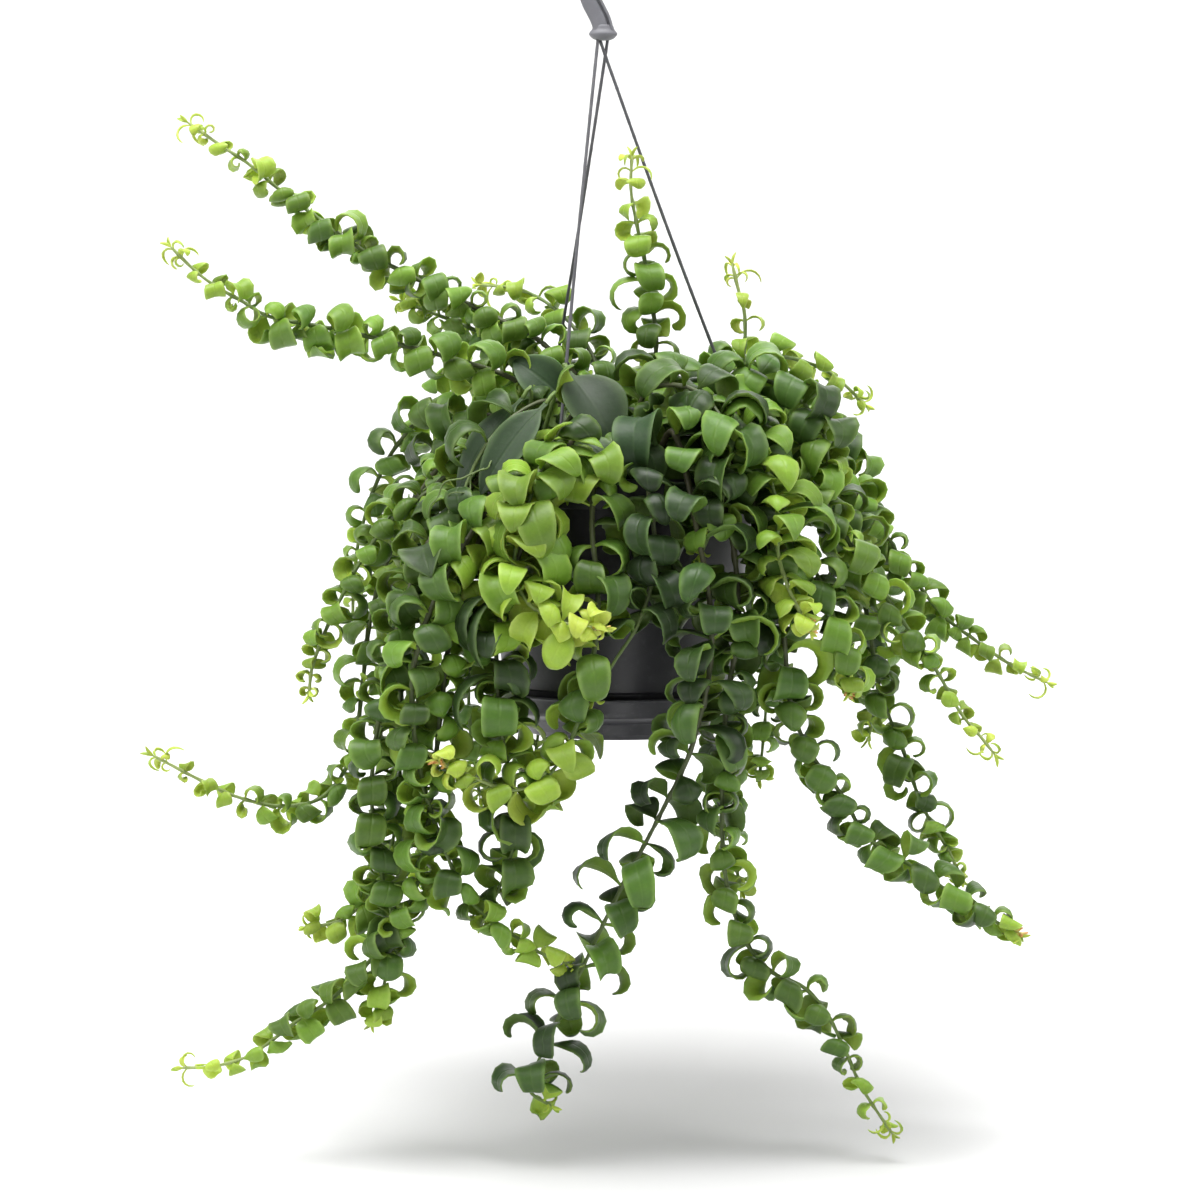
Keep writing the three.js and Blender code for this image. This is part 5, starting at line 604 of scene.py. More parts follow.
     82.6,122,36,36.3,18.4,242,-5.2,-0.37,0, 91.8,211,15,42.3,17.1,227,7,-0.18,0, 102.8,173,41,33.3,18.7,205,7.2,0.15,0, 102.8,294,12,32.5,16.7,233,-1.4,-0.22,0,
     112.4,184,10,35.9,17.8,210,-3.4,0.2,0, 112.4,47,22,35.9,17.8,225,-0.5,-0.14,0, 121.7,309,37,32.7,17.4,245,7.4,0.21,0, 121.7,152,13,31,16.9,273,3.6,-0.44,0,
     131.7,44,24,35.8,18.2,222,7.8,0.13,0, 131.7,258,-1,33.4,17.4,234,4.1,-0.08,0, 136.4,324,-15,42,25,80,0,0.22,0, 142.7,135,11,40.1,16.7,256,-2.6,-0.11,0,
     142.7,321,10,35.1,18.4,214,-2.3,0.12,0, 153.1,217,29,37.4,17,243,-6.2,0.22,0, 153.1,55,16,40.6,17.5,255,-6,0.08,0, 162.8,325,13,31.7,17.9,228,-5.9,0.55,0,
     162.8,114,9,26.3,18,219,-4.7,0.24,0, 172.8,58,20,27.8,16.8,224,-0.4,0.02,0, 172.8,203,27,35.3,16.6,264,-0.3,0.09,0, 182.7,172,39,30.5,15,268,2.4,-0.36,0,
     182.7,290,23,33.2,14.9,247,6.6,0.03,0, 192,221,17,31.2,14.9,217,-5.9,-0.42,0, 192,36,33,29.6,16.1,268,2.1,-0.13,0, 202.6,292,25,31.2,15.7,253,-7.4,0.17,0,
     202.6,123,18,33.7,16.5,244,1.4,-0.06,0, 211.7,43,28,29.2,15.7,263,5.7,0.2,0, 211.7,204,43,33.4,17.8,254,-2.7,0.23,0, 221.2,138,16,30.9,16.6,247,-7,0.07,0,
     221.2,308,33,32.3,16.3,276,-4,-0.17,0, 231.3,202,16,32.8,16.3,242,4.4,0.23,0, 231.3,57,21,27.3,14.8,220,0,0.02,0, 241.9,331,21,26.1,17,215,-4.6,0.17,0,
     241.9,144,15,34.7,15.4,203,-2.4,0.05,0, 250.7,25,15,26,14,245,6.1,-0.22,0, 250.7,213,29,26.8,15.2,208,-0.4,-0.17,0, 259.7,142,-1,31.4,15.4,226,-6.6,0.22,0,
     259.7,299,12,31.5,15.3,226,1.4,0.14,0, 270.2,224,40,32.3,16.6,218,-4.1,-0.46,0, 270.2,48,28,25.5,15.6,223,5.2,-0.13,0, 279.5,302,18,37.3,15.8,216,2.9,0.03,0,
     279.5,149,23,29.9,16.7,210,2.3,-0.16,0, 288.8,29,22,28.6,16.8,233,-7.9,-0.1,0, 288.8,212,35,29.4,14.1,210,-5.7,-0.39,0, 298.2,128,27,26.8,15.4,208,1.3,-0.37,0,
     298.2,286,22,32.4,15.7,276,-7.3,0.02,0, 308.8,189,42,32.1,16,240,-6.6,0.15,0, 308.8,47,26,29.9,15.7,261,-1.8,0.13,0, 318.2,296,38,35.3,16.3,274,1.8,-0.12,0,
     318.2,74,28,22.7,16.6,257,0.5,0.07,0, 327.1,101,23,29.3,14.7,263,-2.1,0.03,0, 327.1,206,33,40.9,14.2,226,-0.9,-0.11,0, 337.1,105,36,32.5,16.3,247,4.6,0.2,0,
     337.1,322,11,36.2,16.8,247,-4.3,0.4,0, 346.2,227,13,29.4,14.4,251,-6.3,-0.13,0, 346.2,33,37,31,15.9,275,4.2,-0.2,0, 357.3,299,25,33.1,15.7,240,3.9,-0.38,0.19,
     357.3,130,42,22.1,14.4,246,-6.9,-0.01,0.19, 367.7,54,15,25.3,13.2,242,-3.8,-0.18,0.43, 367.7,201,33,25.7,13,222,5.6,0.09,0.43, 377,142,35,21,13.3,247,1.7,-0.16,0.63,
     377,295,63,25.2,12.4,251,4.5,0.17,0.63, 386,254,41,17.8,12.3,266,2.1,0.01,0.83, 386,53,38,22.7,12.3,261,0.5,-0.49,0.83, 390.3,297,31,13.8,9.9,220,0.1,-0.04,0.93,
     390.3,162,33,11.1,10.9,264,1.6,0.45,0.93]),
    ('shoot_left_inner', 1.8, 0.8, 0.29, 0, 0, [(-30.1,-46.1,-293),(-30.1,-46.1,-275),(-43.9,-73,-254),(-74.9,-104,-293.1),(-95.5,-118,-330.3),(-106.3,-120,-369.2),(-102.5,-116,-416),(-90,-110,-458.2),(-77.3,-105.6,-485.1),(-59.3,-99.7,-500.6),(-43.8,-94,-512.7),(-24.6,-90,-521.7)],
    [26.7,181,30,23.2,15.2,268,2.4,-0.21,0, 26.7,18,28,20.7,15.3,260,-6.5,0.22,0, 37.2,242,34,23.5,13.6,238,-4.5,0.09,0, 47.7,323,26,18.9,15.1,225,7.6,0.16,0,
     47.7,161,24,22.6,14.1,270,-3.1,-0.5,0, 57.3,122,49,26.2,16,243,-4.6,0.19,0, 57.3,280,27,32.1,18,207,-0.8,0.02,0, 66.4,184,11,29.6,16.3,233,6.9,-0.08,0.49,
     66.4,328,38,28.9,15.6,267,-3.5,-0.19,0.49, 75.4,309,6,34.9,15.3,214,-3.4,0.06,0.48, 75.4,153,6,40.4,17,248,-1.5,-0.53,0.48, 84.6,353,2,28.6,17.2,204,-2.3,0.1,0.55,
     84.6,187,29,48,17,205,-0.7,0.24,0.8, 94.5,131,21,24.3,17.3,244,-0.6,0.01,0.8, 94.5,259,4,28.7,16.8,210,-5.1,0.18,0.8, 105.2,210,29,25.9,18.2,255,7,-0.09,0.8,
     105.2,1,24,40.1,17.5,211,-2.6,-0.21,0, 115.7,302,12,35.7,15.5,198,2,0.11,0.66, 115.7,132,5,39.1,16.6,201,-2.9,0.17,0.66, 126.6,357,34,39.1,16.5,229,2,0.47,0,
     126.6,253,-3,28.4,18,239,1.6,0.17,0.76, 137.3,117,41,30.9,18.7,246,-1.3,-0.4,0, 137.3,295,22,32.8,15.7,233,-3.2,-0.09,0.7, 147.1,190,26,35.9,15.6,272,-6,-0.44,0,
     147.1,353,20,38.9,17.7,240,-6.2,0.2,0, 156.7,278,9,32.9,17.7,213,7.3,-0.03,0, 156.7,113,16,29.3,17.5,272,0.2,0.22,0, 166.7,25,33,36.9,16.7,215,5,-0.24,0,
     166.7,182,-2,35.6,14.3,198,-1,0.04,0, 175.5,143,25,20.7,14.2,263,5.4,-0.37,0, 175.5,303,28,33.7,16.6,218,-7,-0.19,0, 186.2,191,26,31.8,15.6,259,-7.8,0.16,0,
     186.2,7,28,28,16.9,211,4.7,0,0, 193.4,72,5,46,13,175,0,-0.2,0, 196.7,282,11,27.1,16.8,200,-1.6,0.02,0, 196.7,160,41,32.8,15.2,239,6.8,-0.1,0,
     207.4,33,24,32.1,17.1,218,0.9,0.21,0, 207.4,168,15,25.9,16.2,261,6.2,-0.01,0, 216.3,115,18,25.7,15.6,242,5.2,0.04,0, 216.3,304,28,28.7,14.8,265,2.1,-0.07,0,
     226.9,168,39,33.2,15.3,217,-7.1,0.49,0, 226.9,4,13,25.7,16,200,4.8,-0.11,0, 235.8,317,10,28.6,14.9,207,6.6,0.05,0, 235.8,104,19,27.1,13.7,243,4.3,0.59,0,
     246.8,19,9,26,13.5,253,-6.9,-0.12,0, 246.8,156,16,30,13.8,224,-5.9,0.45,0, 257.8,100,33,36.6,14.1,269,-1.7,-0.1,0, 257.8,245,9,20.4,13.5,265,5.4,-0.11,0,
     268.7,234,19,19.3,14.6,256,4.6,0.22,0, 268.7,17,21,33.9,15.9,236,-2.5,0.03,0, 278,287,12,38.2,14.8,266,6.9,0.55,0, 278,125,37,24.5,13.8,206,-5.2,0,0,
     287.5,341,26,23.5,15.9,228,4.8,-0.5,0, 287.5,183,15,31,16.2,207,1.4,-0.37,0, 296.6,80,25,38.9,13.9,231,-2.8,-0.45,0, 296.6,270,33,28.6,15.7,204,-4.9,-0.02,0,
     305.7,203,32,24.2,13.8,241,-4.3,-0.16,0.05, 305.7,350,12,29.8,14.5,237,-2.5,0.12,0.05, 314.9,307,17,23.8,13.5,249,-3.6,-0.53,0.15, 314.9,113,16,28.3,13.5,200,-4,0.42,0.15,
     324.8,66,10,19.2,15.3,202,1.9,-0.05,0.26, 324.8,191,31,20,14.2,203,5.8,0.24,0.26, 334.5,117,14,22.3,13.8,230,3.1,0.07,0.37, 334.5,315,23,24.6,12.6,261,-0.2,0.12,0.37,
     343.8,177,8,18.1,11.8,267,4.4,-0.14,0.47, 343.8,20,14,21.8,11.9,205,-4.8,-0.12,0.47, 353.4,296,39,20,12.4,216,2.3,0.15,0.58, 353.4,101,18,20.8,13.4,204,4.7,-0.43,0.58,
     361.8,354,22,18.5,10.8,230,2.5,-0.15,0.68, 361.8,204,38,16.9,11.4,270,3.4,-0.23,0.68, 369.4,91,37,18.9,12.5,259,2.4,0.17,0.76, 369.4,267,54,20.4,12.2,200,4.6,0.21,0.76,
     378.2,210,55,17,10.2,234,1.7,0.08,0.86, 378.2,20,59,20.8,11.6,231,0.1,0,0.86, 386.4,268,66,11.2,10.2,260,1.5,-0.18,0.95, 386.4,101,39,15.9,9.5,211,1.6,-0.08,0.95]),
    ('shoot_left_tip', 1.8, 0.8, 0.49, 1, 0, [(-58.3,2.6,-293),(-58.3,2.6,-275),(-58.6,6,-239.5),(-94,0,-261.9),(-117.3,-12,-298),(-131.7,-26,-340),(-136.6,-38,-381.8),(-141.4,-48,-415.5),(-156.9,-56,-436.9),(-178.7,-62,-441),(-200.5,-66,-435.8),(-220,-70,-426.3),(-244.7,-74,-412.7)],
    [29.7,269,38,24.3,12.2,270,-5.5,-0.05,0, 29.7,67,12,17.5,12.9,242,5.6,0.02,0, 39.1,1,31,22.9,12.7,249,-2.2,-0.09,0, 39.1,167,18,21.7,10.9,223,0.3,0.04,0,
     48.9,72,25,24.9,11.9,276,-7.9,0.2,0, 48.9,244,14,30,11.5,244,-5.8,-0.1,0, 59.5,106,6,22.7,13.6,237,-2.6,-0.5,0, 59.5,355,10,30.8,13.4,223,6.6,0.09,0,
     69,277,21,29.9,13.9,211,-5,0.06,0, 69,77,24,25.3,13.7,220,-5.8,-0.23,0, 79.1,336,25,24.5,13.4,230,5.1,-0.17,0, 79.1,192,12,27.6,12.8,258,4.8,0.24,0,
     90.3,68,42,24.9,12.7,229,5.4,-0.23,0, 90.3,266,22,28.3,12.5,244,5.4,-0.52,0, 101.1,183,14,30,13,249,-4.8,-0.15,0, 101.1,359,30,26,13.5,264,6.1,-0.19,0,
     111.3,242,31,23.7,12.9,276,3.1,0.09,0, 111.3,31,6,22.3,13.1,246,3.9,-0.18,0, 121.4,348,13,31.5,12.3,222,7.9,0.04,0, 121.4,144,18,29.4,12.9,284,-7.2,-0.21,0,
     131.6,17,34,19,13.5,218,-6,0.5,0, 131.6,251,31,29.2,12.2,259,6.1,-0.18,0, 140.4,157,40,25.8,12.2,281,0.4,0.15,0, 140.4,314,33,28.6,12.6,234,-6.8,0.47,0,
     149.4,246,20,28.7,13.6,284,-3.8,-0.17,0, 149.4,56,25,41,13.1,235,-1.2,-0.47,0, 159.1,354,27,36.6,12.5,289,0.7,-0.16,0, 159.1,148,25,37.3,12.7,245,-0.1,0.11,0,
     168.8,67,6,24.9,13,230,-0.5,-0.14,0, 168.8,274,41,20.4,13.4,219,-1.9,-0.17,0, 178.5,197,40,22,11.7,275,2.5,0.05,0, 178.5,359,22,21.8,11.9,257,5.5,-0.18,0,
     188.6,271,34,34.1,12.1,210,0.4,0.06,0, 188.6,60,36,29.9,12,272,-5.5,-0.23,0, 199.3,333,26,27.2,12.7,211,4.7,-0.23,0, 199.3,171,23,20.7,11.4,241,4.9,0,0,
     208.2,76,27,21.4,12.3,259,3.2,-0.03,0, 208.2,278,9,23.6,11.2,211,7.2,-0.02,0, 219.1,177,16,25,12.7,241,-2.7,-0.09,0, 219.1,0,24,33.6,11.5,213,-3.6,-0.02,0,
     228.8,250,40,24.3,11.1,277,7.7,0.58,0, 228.8,52,26,26.4,11.7,227,-3.8,-0.21,0, 238.9,344,11,18.9,11.8,229,6,-0.23,0, 238.9,172,36,24.4,10.8,234,3.9,-0.1,0,
     249.9,91,39,20.7,12.7,252,-0.4,0.4,0, 249.9,243,38,22.5,12,218,-3.5,-0.12,0, 258.8,160,19,23.7,12,261,7.6,-0.05,0, 258.8,344,32,22.7,12.4,224,-1.8,0.24,0,
     269.2,283,30,18.8,10.7,232,2.2,-0.18,0, 269.2,86,19,18.8,10.7,283,3.9,-0.14,0, 279,353,25,21.1,11.9,272,-4.9,0.09,0, 279,160,23,18.4,10.8,212,0.6,-0.09,0,
     288.6,58,15,24.1,11.5,281,2.7,0.41,0, 288.6,268,26,23.6,12.1,241,6,-0.43,0, 298,182,29,24.6,10.8,261,5.9,0.07,0, 298,9,9,20.5,10.9,248,-6.8,0.48,0,
     309,249,36,19.8,11.5,224,-6.7,0.05,0, 309,89,40,21.7,12.9,250,-6.1,0.17,0, 319.4,342,12,23.4,10.6,275,6.1,-0.21,0.07, 319.4,162,34,27.8,11.4,254,0.8,0.22,0.07,
     329.1,73,30,16.9,11.4,231,6.1,0.02,0.2, 329.1,247,11,22.6,10.8,232,-3.3,-0.02,0.2, 339,179,29,15.9,10.1,259,-5.1,-0.02,0.32, 339,2,13,21.7,9.7,239,2.3,0.03,0.32,
     350.6,270,9,14.7,8.9,225,4,0.08,0.46, 350.6,81,24,19.3,10.3,218,-5.3,0.1,0.46, 362.2,318,11,16.4,8,258,-0.1,0.43,0.61, 362.2,156,30,17.8,8.6,270,-3.2,-0.21,0.61,
     374.3,63,43,9.7,8.7,235,-2.6,0.22,0.76, 374.3,229,49,10.1,7.9,246,1.7,-0.01,0.76, 387.1,148,34,9.7,5.1,142,-1.8,0.51,0.92, 387.1,338,47,9.1,5,152,-0.8,-0.22,0.92]),
    ('shoot_lower_left', 1.8, 0.8, 0.43, 1, 0, [(-31.4,-33.2,-293),(-31.4,-33.2,-275),(-48.8,-58,-256.6),(-70.1,-90,-293.8),(-85.7,-106,-340.4),(-92.4,-110,-390.8),(-97.9,-104,-438.1),(-106.1,-97.1,-480.9),(-125.9,-90,-513.6),(-148.2,-84,-537.9),(-169.2,-84,-552.2),(-192.2,-86,-568.8),(-211.5,-88,-574.8),(-228.5,-90,-575.5)],
    [29.9,161,39,28.2,13.5,233,-6.5,0.24,0, 39.7,10,27,17.8,14,211,5.4,-0.02,0, 48.6,312,19,27,12.4,253,0.4,-0.17,0, 75.7,43,1,25.7,14.4,244,-3.1,-0.48,0,
     75.7,179,1,22.4,16.1,251,6.7,0.22,0, 85.5,140,6,28.2,14.8,202,-0.3,-0.15,0, 85.5,306,49,21.8,15.4,249,-7.2,-0.02,0, 95.6,266,38,35.7,14.6,217,2.6,-0.24,0.7,
     95.6,65,3,35.8,15.1,198,-4.3,-0.03,0.7, 105.4,306,20,42.4,13.8,211,-7.7,0.17,0.76, 105.4,147,12,33.4,16.6,210,1.4,-0.36,0.76, 113.9,37,18,29.1,16.4,266,-2.9,-0.42,0.67,
     113.9,240,10,46,14.1,236,7.7,0.05,0.67, 124.2,115,9,27.6,14.2,203,-2.4,0.06,0.76, 124.2,298,16,29.1,15.4,219,-0.5,-0.13,0.76, 133.3,211,5,33.5,14.9,212,1.6,0.13,0.74,
     133.3,105,32,27.9,14.4,229,-7.4,0.06,0, 142,298,10,32.2,15.7,210,-2.9,-0.04,0.8, 142,171,32,38.9,14.4,226,7.8,-0.09,0.8, 152.7,103,17,32.5,15.4,193,-1.2,-0.2,0,
     152.7,263,10,42.3,13.8,201,-5.5,0.01,0, 161.1,137,31,47.6,14,232,3.3,-0.16,0, 161.1,320,28,36.1,14.3,212,-4.1,-0.23,0, 169.8,243,28,40.6,13.3,240,6.7,0.15,0,
     169.8,82,19,22.9,12.8,236,1.4,0.04,0, 180.4,297,23,25.8,14.6,212,-4.4,-0.41,0, 180.4,151,19,25.2,13,208,5.8,-0.38,0, 190.8,120,21,23.9,14.4,229,-5.3,0.02,0,
     190.8,256,4,27.6,14.9,223,-5.1,0.07,0, 201,170,26,30.1,14.5,237,0.8,-0.42,0, 201,325,30,26.8,15,198,-1.5,-0.46,0, 211.3,262,12,26.2,15,208,5,-0.53,0,
     211.3,83,26,29.9,14,243,7.1,-0.03,0, 221.7,353,22,19.8,13.6,258,7,0.53,0, 221.7,194,38,26.8,15.4,224,5.9,0.25,0, 231.8,94,3,21.6,14.2,225,4.7,0.42,0,
     231.8,261,26,27,14.1,237,-4.8,0.24,0.62, 241.5,136,26,26.7,13.4,261,6.6,0.23,0.56, 241.5,301,42,23.8,13,200,-4.6,-0.04,0, 250.5,229,28,27.8,13.2,236,0.7,0.02,0,
     250.5,61,16,18.1,13.2,210,5.6,0.05,0, 261,9,36,22.3,12.2,242,0.6,0.21,0, 261,156,23,32.5,12.9,194,5.8,-0.5,0, 270,100,17,26.3,14.6,193,-3.9,0.2,0,
     270,295,10,18.6,13.7,213,1.9,-0.07,0, 280.3,138,39,23.9,12.1,252,3.4,0.6,0, 280.3,8,28,34.9,14.7,219,-6.3,0.14,0, 289.4,187,2,20.5,13,198,-4.5,-0.03,0,
     289.4,94,43,19.2,13,262,-3.9,-0.21,0, 299.2,348,16,32.3,13,261,-4.6,-0.52,0, 299.2,147,33,29.1,14.1,234,7.3,0.01,0, 308.2,50,38,21.4,13.8,197,3.4,0.07,0,
     308.2,241,24,23.4,13.7,265,4.2,-0.22,0, 317.6,122,43,23.8,12.5,246,0,-0.05,0, 317.6,323,26,20.8,12.5,211,-2.2,0.2,0, 327.7,269,17,17.3,13.7,245,-6.3,-0.18,0,
     327.7,27,12,19,14.7,259,-7.4,0.23,0, 336.3,349,10,35.5,12.7,258,0.8,-0.14,0, 336.3,129,35,27.4,13.5,238,0,0.01,0, 346.6,36,20,25.3,12.6,209,7.7,0.56,0,
     346.6,259,25,23.6,14.3,217,-5.3,0.25,0, 355.1,329,9,21.2,12.3,199,0.4,0.17,0, 363.5,268,37,17.8,13.8,233,7.2,-0.01,0, 363.5,90,9,30.7,13,202,-0.2,-0.44,0,
     372.1,347,15,22.8,12.4,210,6.8,0.11,0, 372.1,119,40,22.4,12.1,251,4,-0.51,0, 381.6,52,40,27.6,13,239,5.9,0.04,0, 381.6,246,25,23.7,13,195,-4,0.17,0,
     391,134,17,21.6,14.7,215,0.6,-0.44,0, 391,11,12,21.3,12.7,194,-0.2,-0.23,0, 399.7,243,29,22,13.3,196,-3.1,0.2,0, 399.7,46,16,22.2,12.2,204,-1.8,-0.24,0,
     409,335,23,22.7,13.5,226,-1.7,0.24,0.14, 409,142,32,20.1,12.4,255,5.4,-0.24,0.14, 419.9,47,19,20,12.4,257,-1,0.12,0.29, 419.9,260,20,17.9,12.4,254,-6.2,-0.46,0.29,
     430.7,174,37,14.9,10.2,233,-1.9,0.22,0.45, 430.7,327,15,15.7,11.9,263,2.4,-0.23,0.45, 442.5,230,17,14.8,9.3,236,2,0.02,0.61, 442.5,72,24,18.5,9.8,209,-3.5,-0.04,0.61,
     454.2,320,36,12.6,8.3,223,-0.4,-0.17,0.78, 454.2,139,42,11.3,9.4,206,1.3,0.24,0.78, 468.3,38,35,8.5,5.1,130,0.1,0.15,0.98]),
    ('shoot_lower_left_b', 1.8, 0.8, 0.43, 0, 0, [(-55.9,-25.4,-293),(-55.9,-25.4,-275),(-65.2,-52.7,-249.5),(-92.7,-69.5,-289.4),(-110.3,-76,-341.6),(-114.6,-76,-394.1),(-116,-72,-441.9),(-125.8,-68,-479.5),(-144.4,-66,-499.9),(-165.5,-66,-505.2)],
    [28.5,137,6,16.6,13.7,200,0.1,0.24,0, 47,145,41,20.9,14.1,220,0.4,-0.18,0, 56.9,196,29,34.9,14.9,233,-0.2,-0.45,0, 56.9,330,49,20.7,15.7,235,6.3,-0.1,0,
     66.4,88,35,38.7,15.9,250,1.3,0.15,0, 74.5,28,31,45,15.6,243,3.1,0.1,0, 74.5,180,10,30.9,14.3,198,3.4,0.05,0, 93.7,224,-4,24.4,15.8,242,-1.2,-0.17,0,
     93.7,21,-4,24.9,14.9,202,1.8,-0.16,0, 102.6,295,10,22.8,14.6,258,1.6,-0.21,0, 112.3,355,18,27.9,15.4,236,7,-0.46,0, 112.3,194,23,35.2,14.6,251,-7,-0.08,0,
     120.6,119,32,34.8,14.2,221,3.9,0.04,0, 120.6,242,10,35.4,15.4,263,-1.8,-0.22,0, 130.6,241,4,23.8,14.1,205,-3.8,0.07,0, 130.6,50,4,22.6,15.2,210,-2.1,-0.02,0,
     140,306,42,25.6,16.6,199,2,0.23,0, 140,108,38,29.8,14.4,229,7.9,0.49,0, 148.6,32,23,31.5,14.6,256,6,0.23,0, 148.6,207,20,33.8,14.8,234,-3.8,0.05,0,
     157.8,108,34,33.1,16.4,238,4.6,0.12,0, 157.8,235,8,22.5,15,232,6.7,-0.36,0, 166.5,210,13,27.9,12.9,225,-4.8,0.06,0, 166.5,28,28,25.6,13.2,229,7.3,0.04,0,
     175.5,314,42,20.7,12.8,249,7.8,-0.02,0, 175.5,107,9,27.4,15.2,220,0.2,-0.17,0, 185.5,343,31,23,13.6,259,6.3,-0.2,0, 185.5,213,36,27.1,12.8,220,-0.8,0.09,0,
     195.1,101,21,29.4,13.2,201,-7.3,0.01,0, 195.1,298,1,21.2,13.8,266,6.8,-0.23,0, 204.2,190,38,23.4,13.9,239,1.3,0.24,0, 204.2,74,13,22.8,13.9,268,-2.6,-0.17,0,
     214.3,291,23,24.8,15.3,255,-2.7,-0.05,0, 214.3,121,8,29.2,13,211,-4.9,0.19,0, 223.9,36,19,22.1,13.1,211,-4,-0.16,0, 223.9,183,28,29.3,13.3,252,-7.1,-0.4,0,
     233.3,113,30,34.2,14.7,262,4.2,0.19,0, 233.3,267,46,26.2,14.7,258,-2.5,0.24,0, 241.9,221,3,31.6,14.2,246,-7.7,0.17,0, 241.9,35,39,21.5,13.8,271,-1.3,0.05,0,
     250.4,314,11,17.8,12.2,209,-3.9,0.55,0, 250.4,93,15,24,13.4,225,-4.6,-0.15,0, 258.7,11,33,31.8,13.3,253,6.5,-0.21,0, 258.7,187,7,25.7,14.7,208,5.6,0.42,0,
     267.9,114,16,23.8,12.8,205,-1.6,-0.2,0, 267.9,303,40,23.1,14.3,241,-5.4,-0.24,0, 278,202,25,25,13.9,223,3,0,0, 278,31,29,27.5,13.2,257,3.2,0.11,0,
     287.3,260,1,18.4,13,244,-8,-0.19,0, 287.3,113,7,34.1,13.7,233,2.4,0.14,0, 295.4,11,8,22.2,13,235,-6.3,0.03,0, 295.4,184,19,22.6,13.8,216,-4.4,0.4,0,
     304.4,106,23,26,14,204,-7.8,0.2,0, 304.4,277,26,19.7,13,244,-1.7,-0.23,0, 313.6,187,34,22,12.9,198,-6.4,-0.18,0, 313.6,2,27,24.2,14.4,248,1.5,0.46,0,
     323.1,262,24,31,12.9,232,6.9,0.01,0.16, 323.1,88,31,32,12.7,239,2.3,0.4,0.16, 332.7,338,40,17,12.9,210,-1.9,-0.39,0.4, 332.7,184,46,25.4,13.1,199,-3.1,-0.17,0.4,
     340,123,44,17.4,10.6,247,-3.3,0.1,0.58, 340,251,45,20.4,11.1,209,2,-0.05,0.58, 348.5,163,34,15,9.3,213,-4.1,0.06,0.8, 348.5,358,65,19.8,9.4,210,2.6,0.2,0.8,
     352.4,303,51,13.7,10,255,2.3,-0.16,0.89]),
    ('shoot_lime_front', 1.6, 0.8, 0.8, 0, 2, [(-19.2,-39,-293),(-19.2,-39,-275),(-15.3,-61.1,-231.9),(-31.4,-86.5,-242.5),(-41.8,-109,-264.2),(-50,-118.4,-289.7),(-53.9,-122.1,-312.6),(-45.7,-125,-330.3),(-27.3,-128,-339.8),(-7.4,-130,-342.2)],
    [28.8,226,5,30.9,15.2,160,6.3,0.12,0, 28.8,66,14,23.1,15.4,193,6,0.09,0, 35.9,344,40,27,14,195,-6,-0.17,0, 35.9,156,22,29.8,16.4,150,2.3,0.02,0,
     42.9,89,36,27.3,13.6,172,-6.5,-0.23,0, 42.9,255,35,21.9,14.8,154,-1.4,0.14,0, 49.5,177,10,24,8.7,64,-6.5,0.21,0, 49.5,291,9,18.7,8.7,60,-6.9,-0.12,0,
     57.4,29,13,19,11.5,70,-0.4,-0.18,0, 82.4,0,45,34,16,120,0,-0.2,0, 85.7,184,9,21.3,11.5,67,-0.2,0.02,0, 93.4,226,14,25.7,10.9,53,-5.7,0.54,0,
     101.2,104,5,25.5,9.9,54,0.8,-0.41,0, 108.8,260,32,32.1,9.9,61,7.4,-0.2,0, 115.8,187,8,34.9,11.3,61,4.7,-0.2,0, 115.8,332,16,24.6,10.8,71,-4.9,0.02,0,
     124,265,25,31.1,10.9,72,-7.8,0.26,0, 124,106,8,21.4,10.1,61,2.5,-0.06,0, 130.7,328,8,38.2,15.6,176,-7.8,0.08,0, 130.7,157,16,40.7,15.9,203,-3.5,-0.14,0,
     138.4,54,33,26.6,17.9,185,7.5,0.05,0, 138.4,282,37,33.2,18.8,184,6.2,0.16,0, 145.8,148,16,35,17.7,165,2.1,0.1,0, 145.8,358,22,36.3,18.7,188,0.2,0.52,0,
     152.6,242,17,34.8,18.6,159,1.2,0.19,0, 152.6,32,26,31.7,15.7,182,3.6,0.08,0, 160.5,339,32,34.1,18.4,172,5.4,0.25,0, 160.5,162,32,24.5,18.5,195,-5.5,0.09,0,
     167.9,30,10,21.2,17.1,195,0.5,0.47,0, 167.9,277,5,30.8,15,192,-4,0.03,0, 174.5,149,15,40.7,14.4,198,-3.3,-0.15,0, 174.5,318,34,31,16.5,151,-7.1,0.06,0,
     182,228,2,27.8,15.2,157,-0.8,-0.11,0, 182,72,12,29.6,14.4,189,-1.1,-0.13,0, 190.2,354,35,33.7,14.3,151,-1.4,0.07,0, 190.2,171,22,40.5,14.6,174,-1.8,0,0,
     196.9,54,9,27.5,14.4,171,3.4,0.23,0, 196.9,265,21,33.1,16.6,176,-4.1,0.06,0, 204.9,170,35,32.1,15.1,171,-0.2,0.01,0.07, 204.9,333,39,28.7,15.8,194,-0.1,-0.03,0.07,
     211.8,248,46,18.3,15.2,193,6.7,-0.04,0.22, 211.8,88,21,28,13.9,171,-1.3,0.56,0.22, 218.1,348,23,25.6,15.6,189,-4.9,-0.49,0.35, 218.1,158,16,21.8,15.4,185,4.8,0.16,0.35,
     224.9,42,29,19.5,12.8,164,-4.5,-0.47,0.5, 224.9,279,31,27.3,12.4,174,-1.1,0.52,0.5, 229.4,60,-15,34,16,150,0,-0.2,0, 232.7,156,52,19.9,11,200,-3.4,0.11,0.67,
     232.7,17,35,22.3,11.1,175,-4.7,0.16,0.67, 238.6,263,37,16.4,12.2,163,-0.5,-0.23,0.8, 238.6,80,51,15.4,11.5,191,0.9,-0.44,0.8, 241.9,339,57,19.2,11.9,187,-0.5,0.44,0.87,
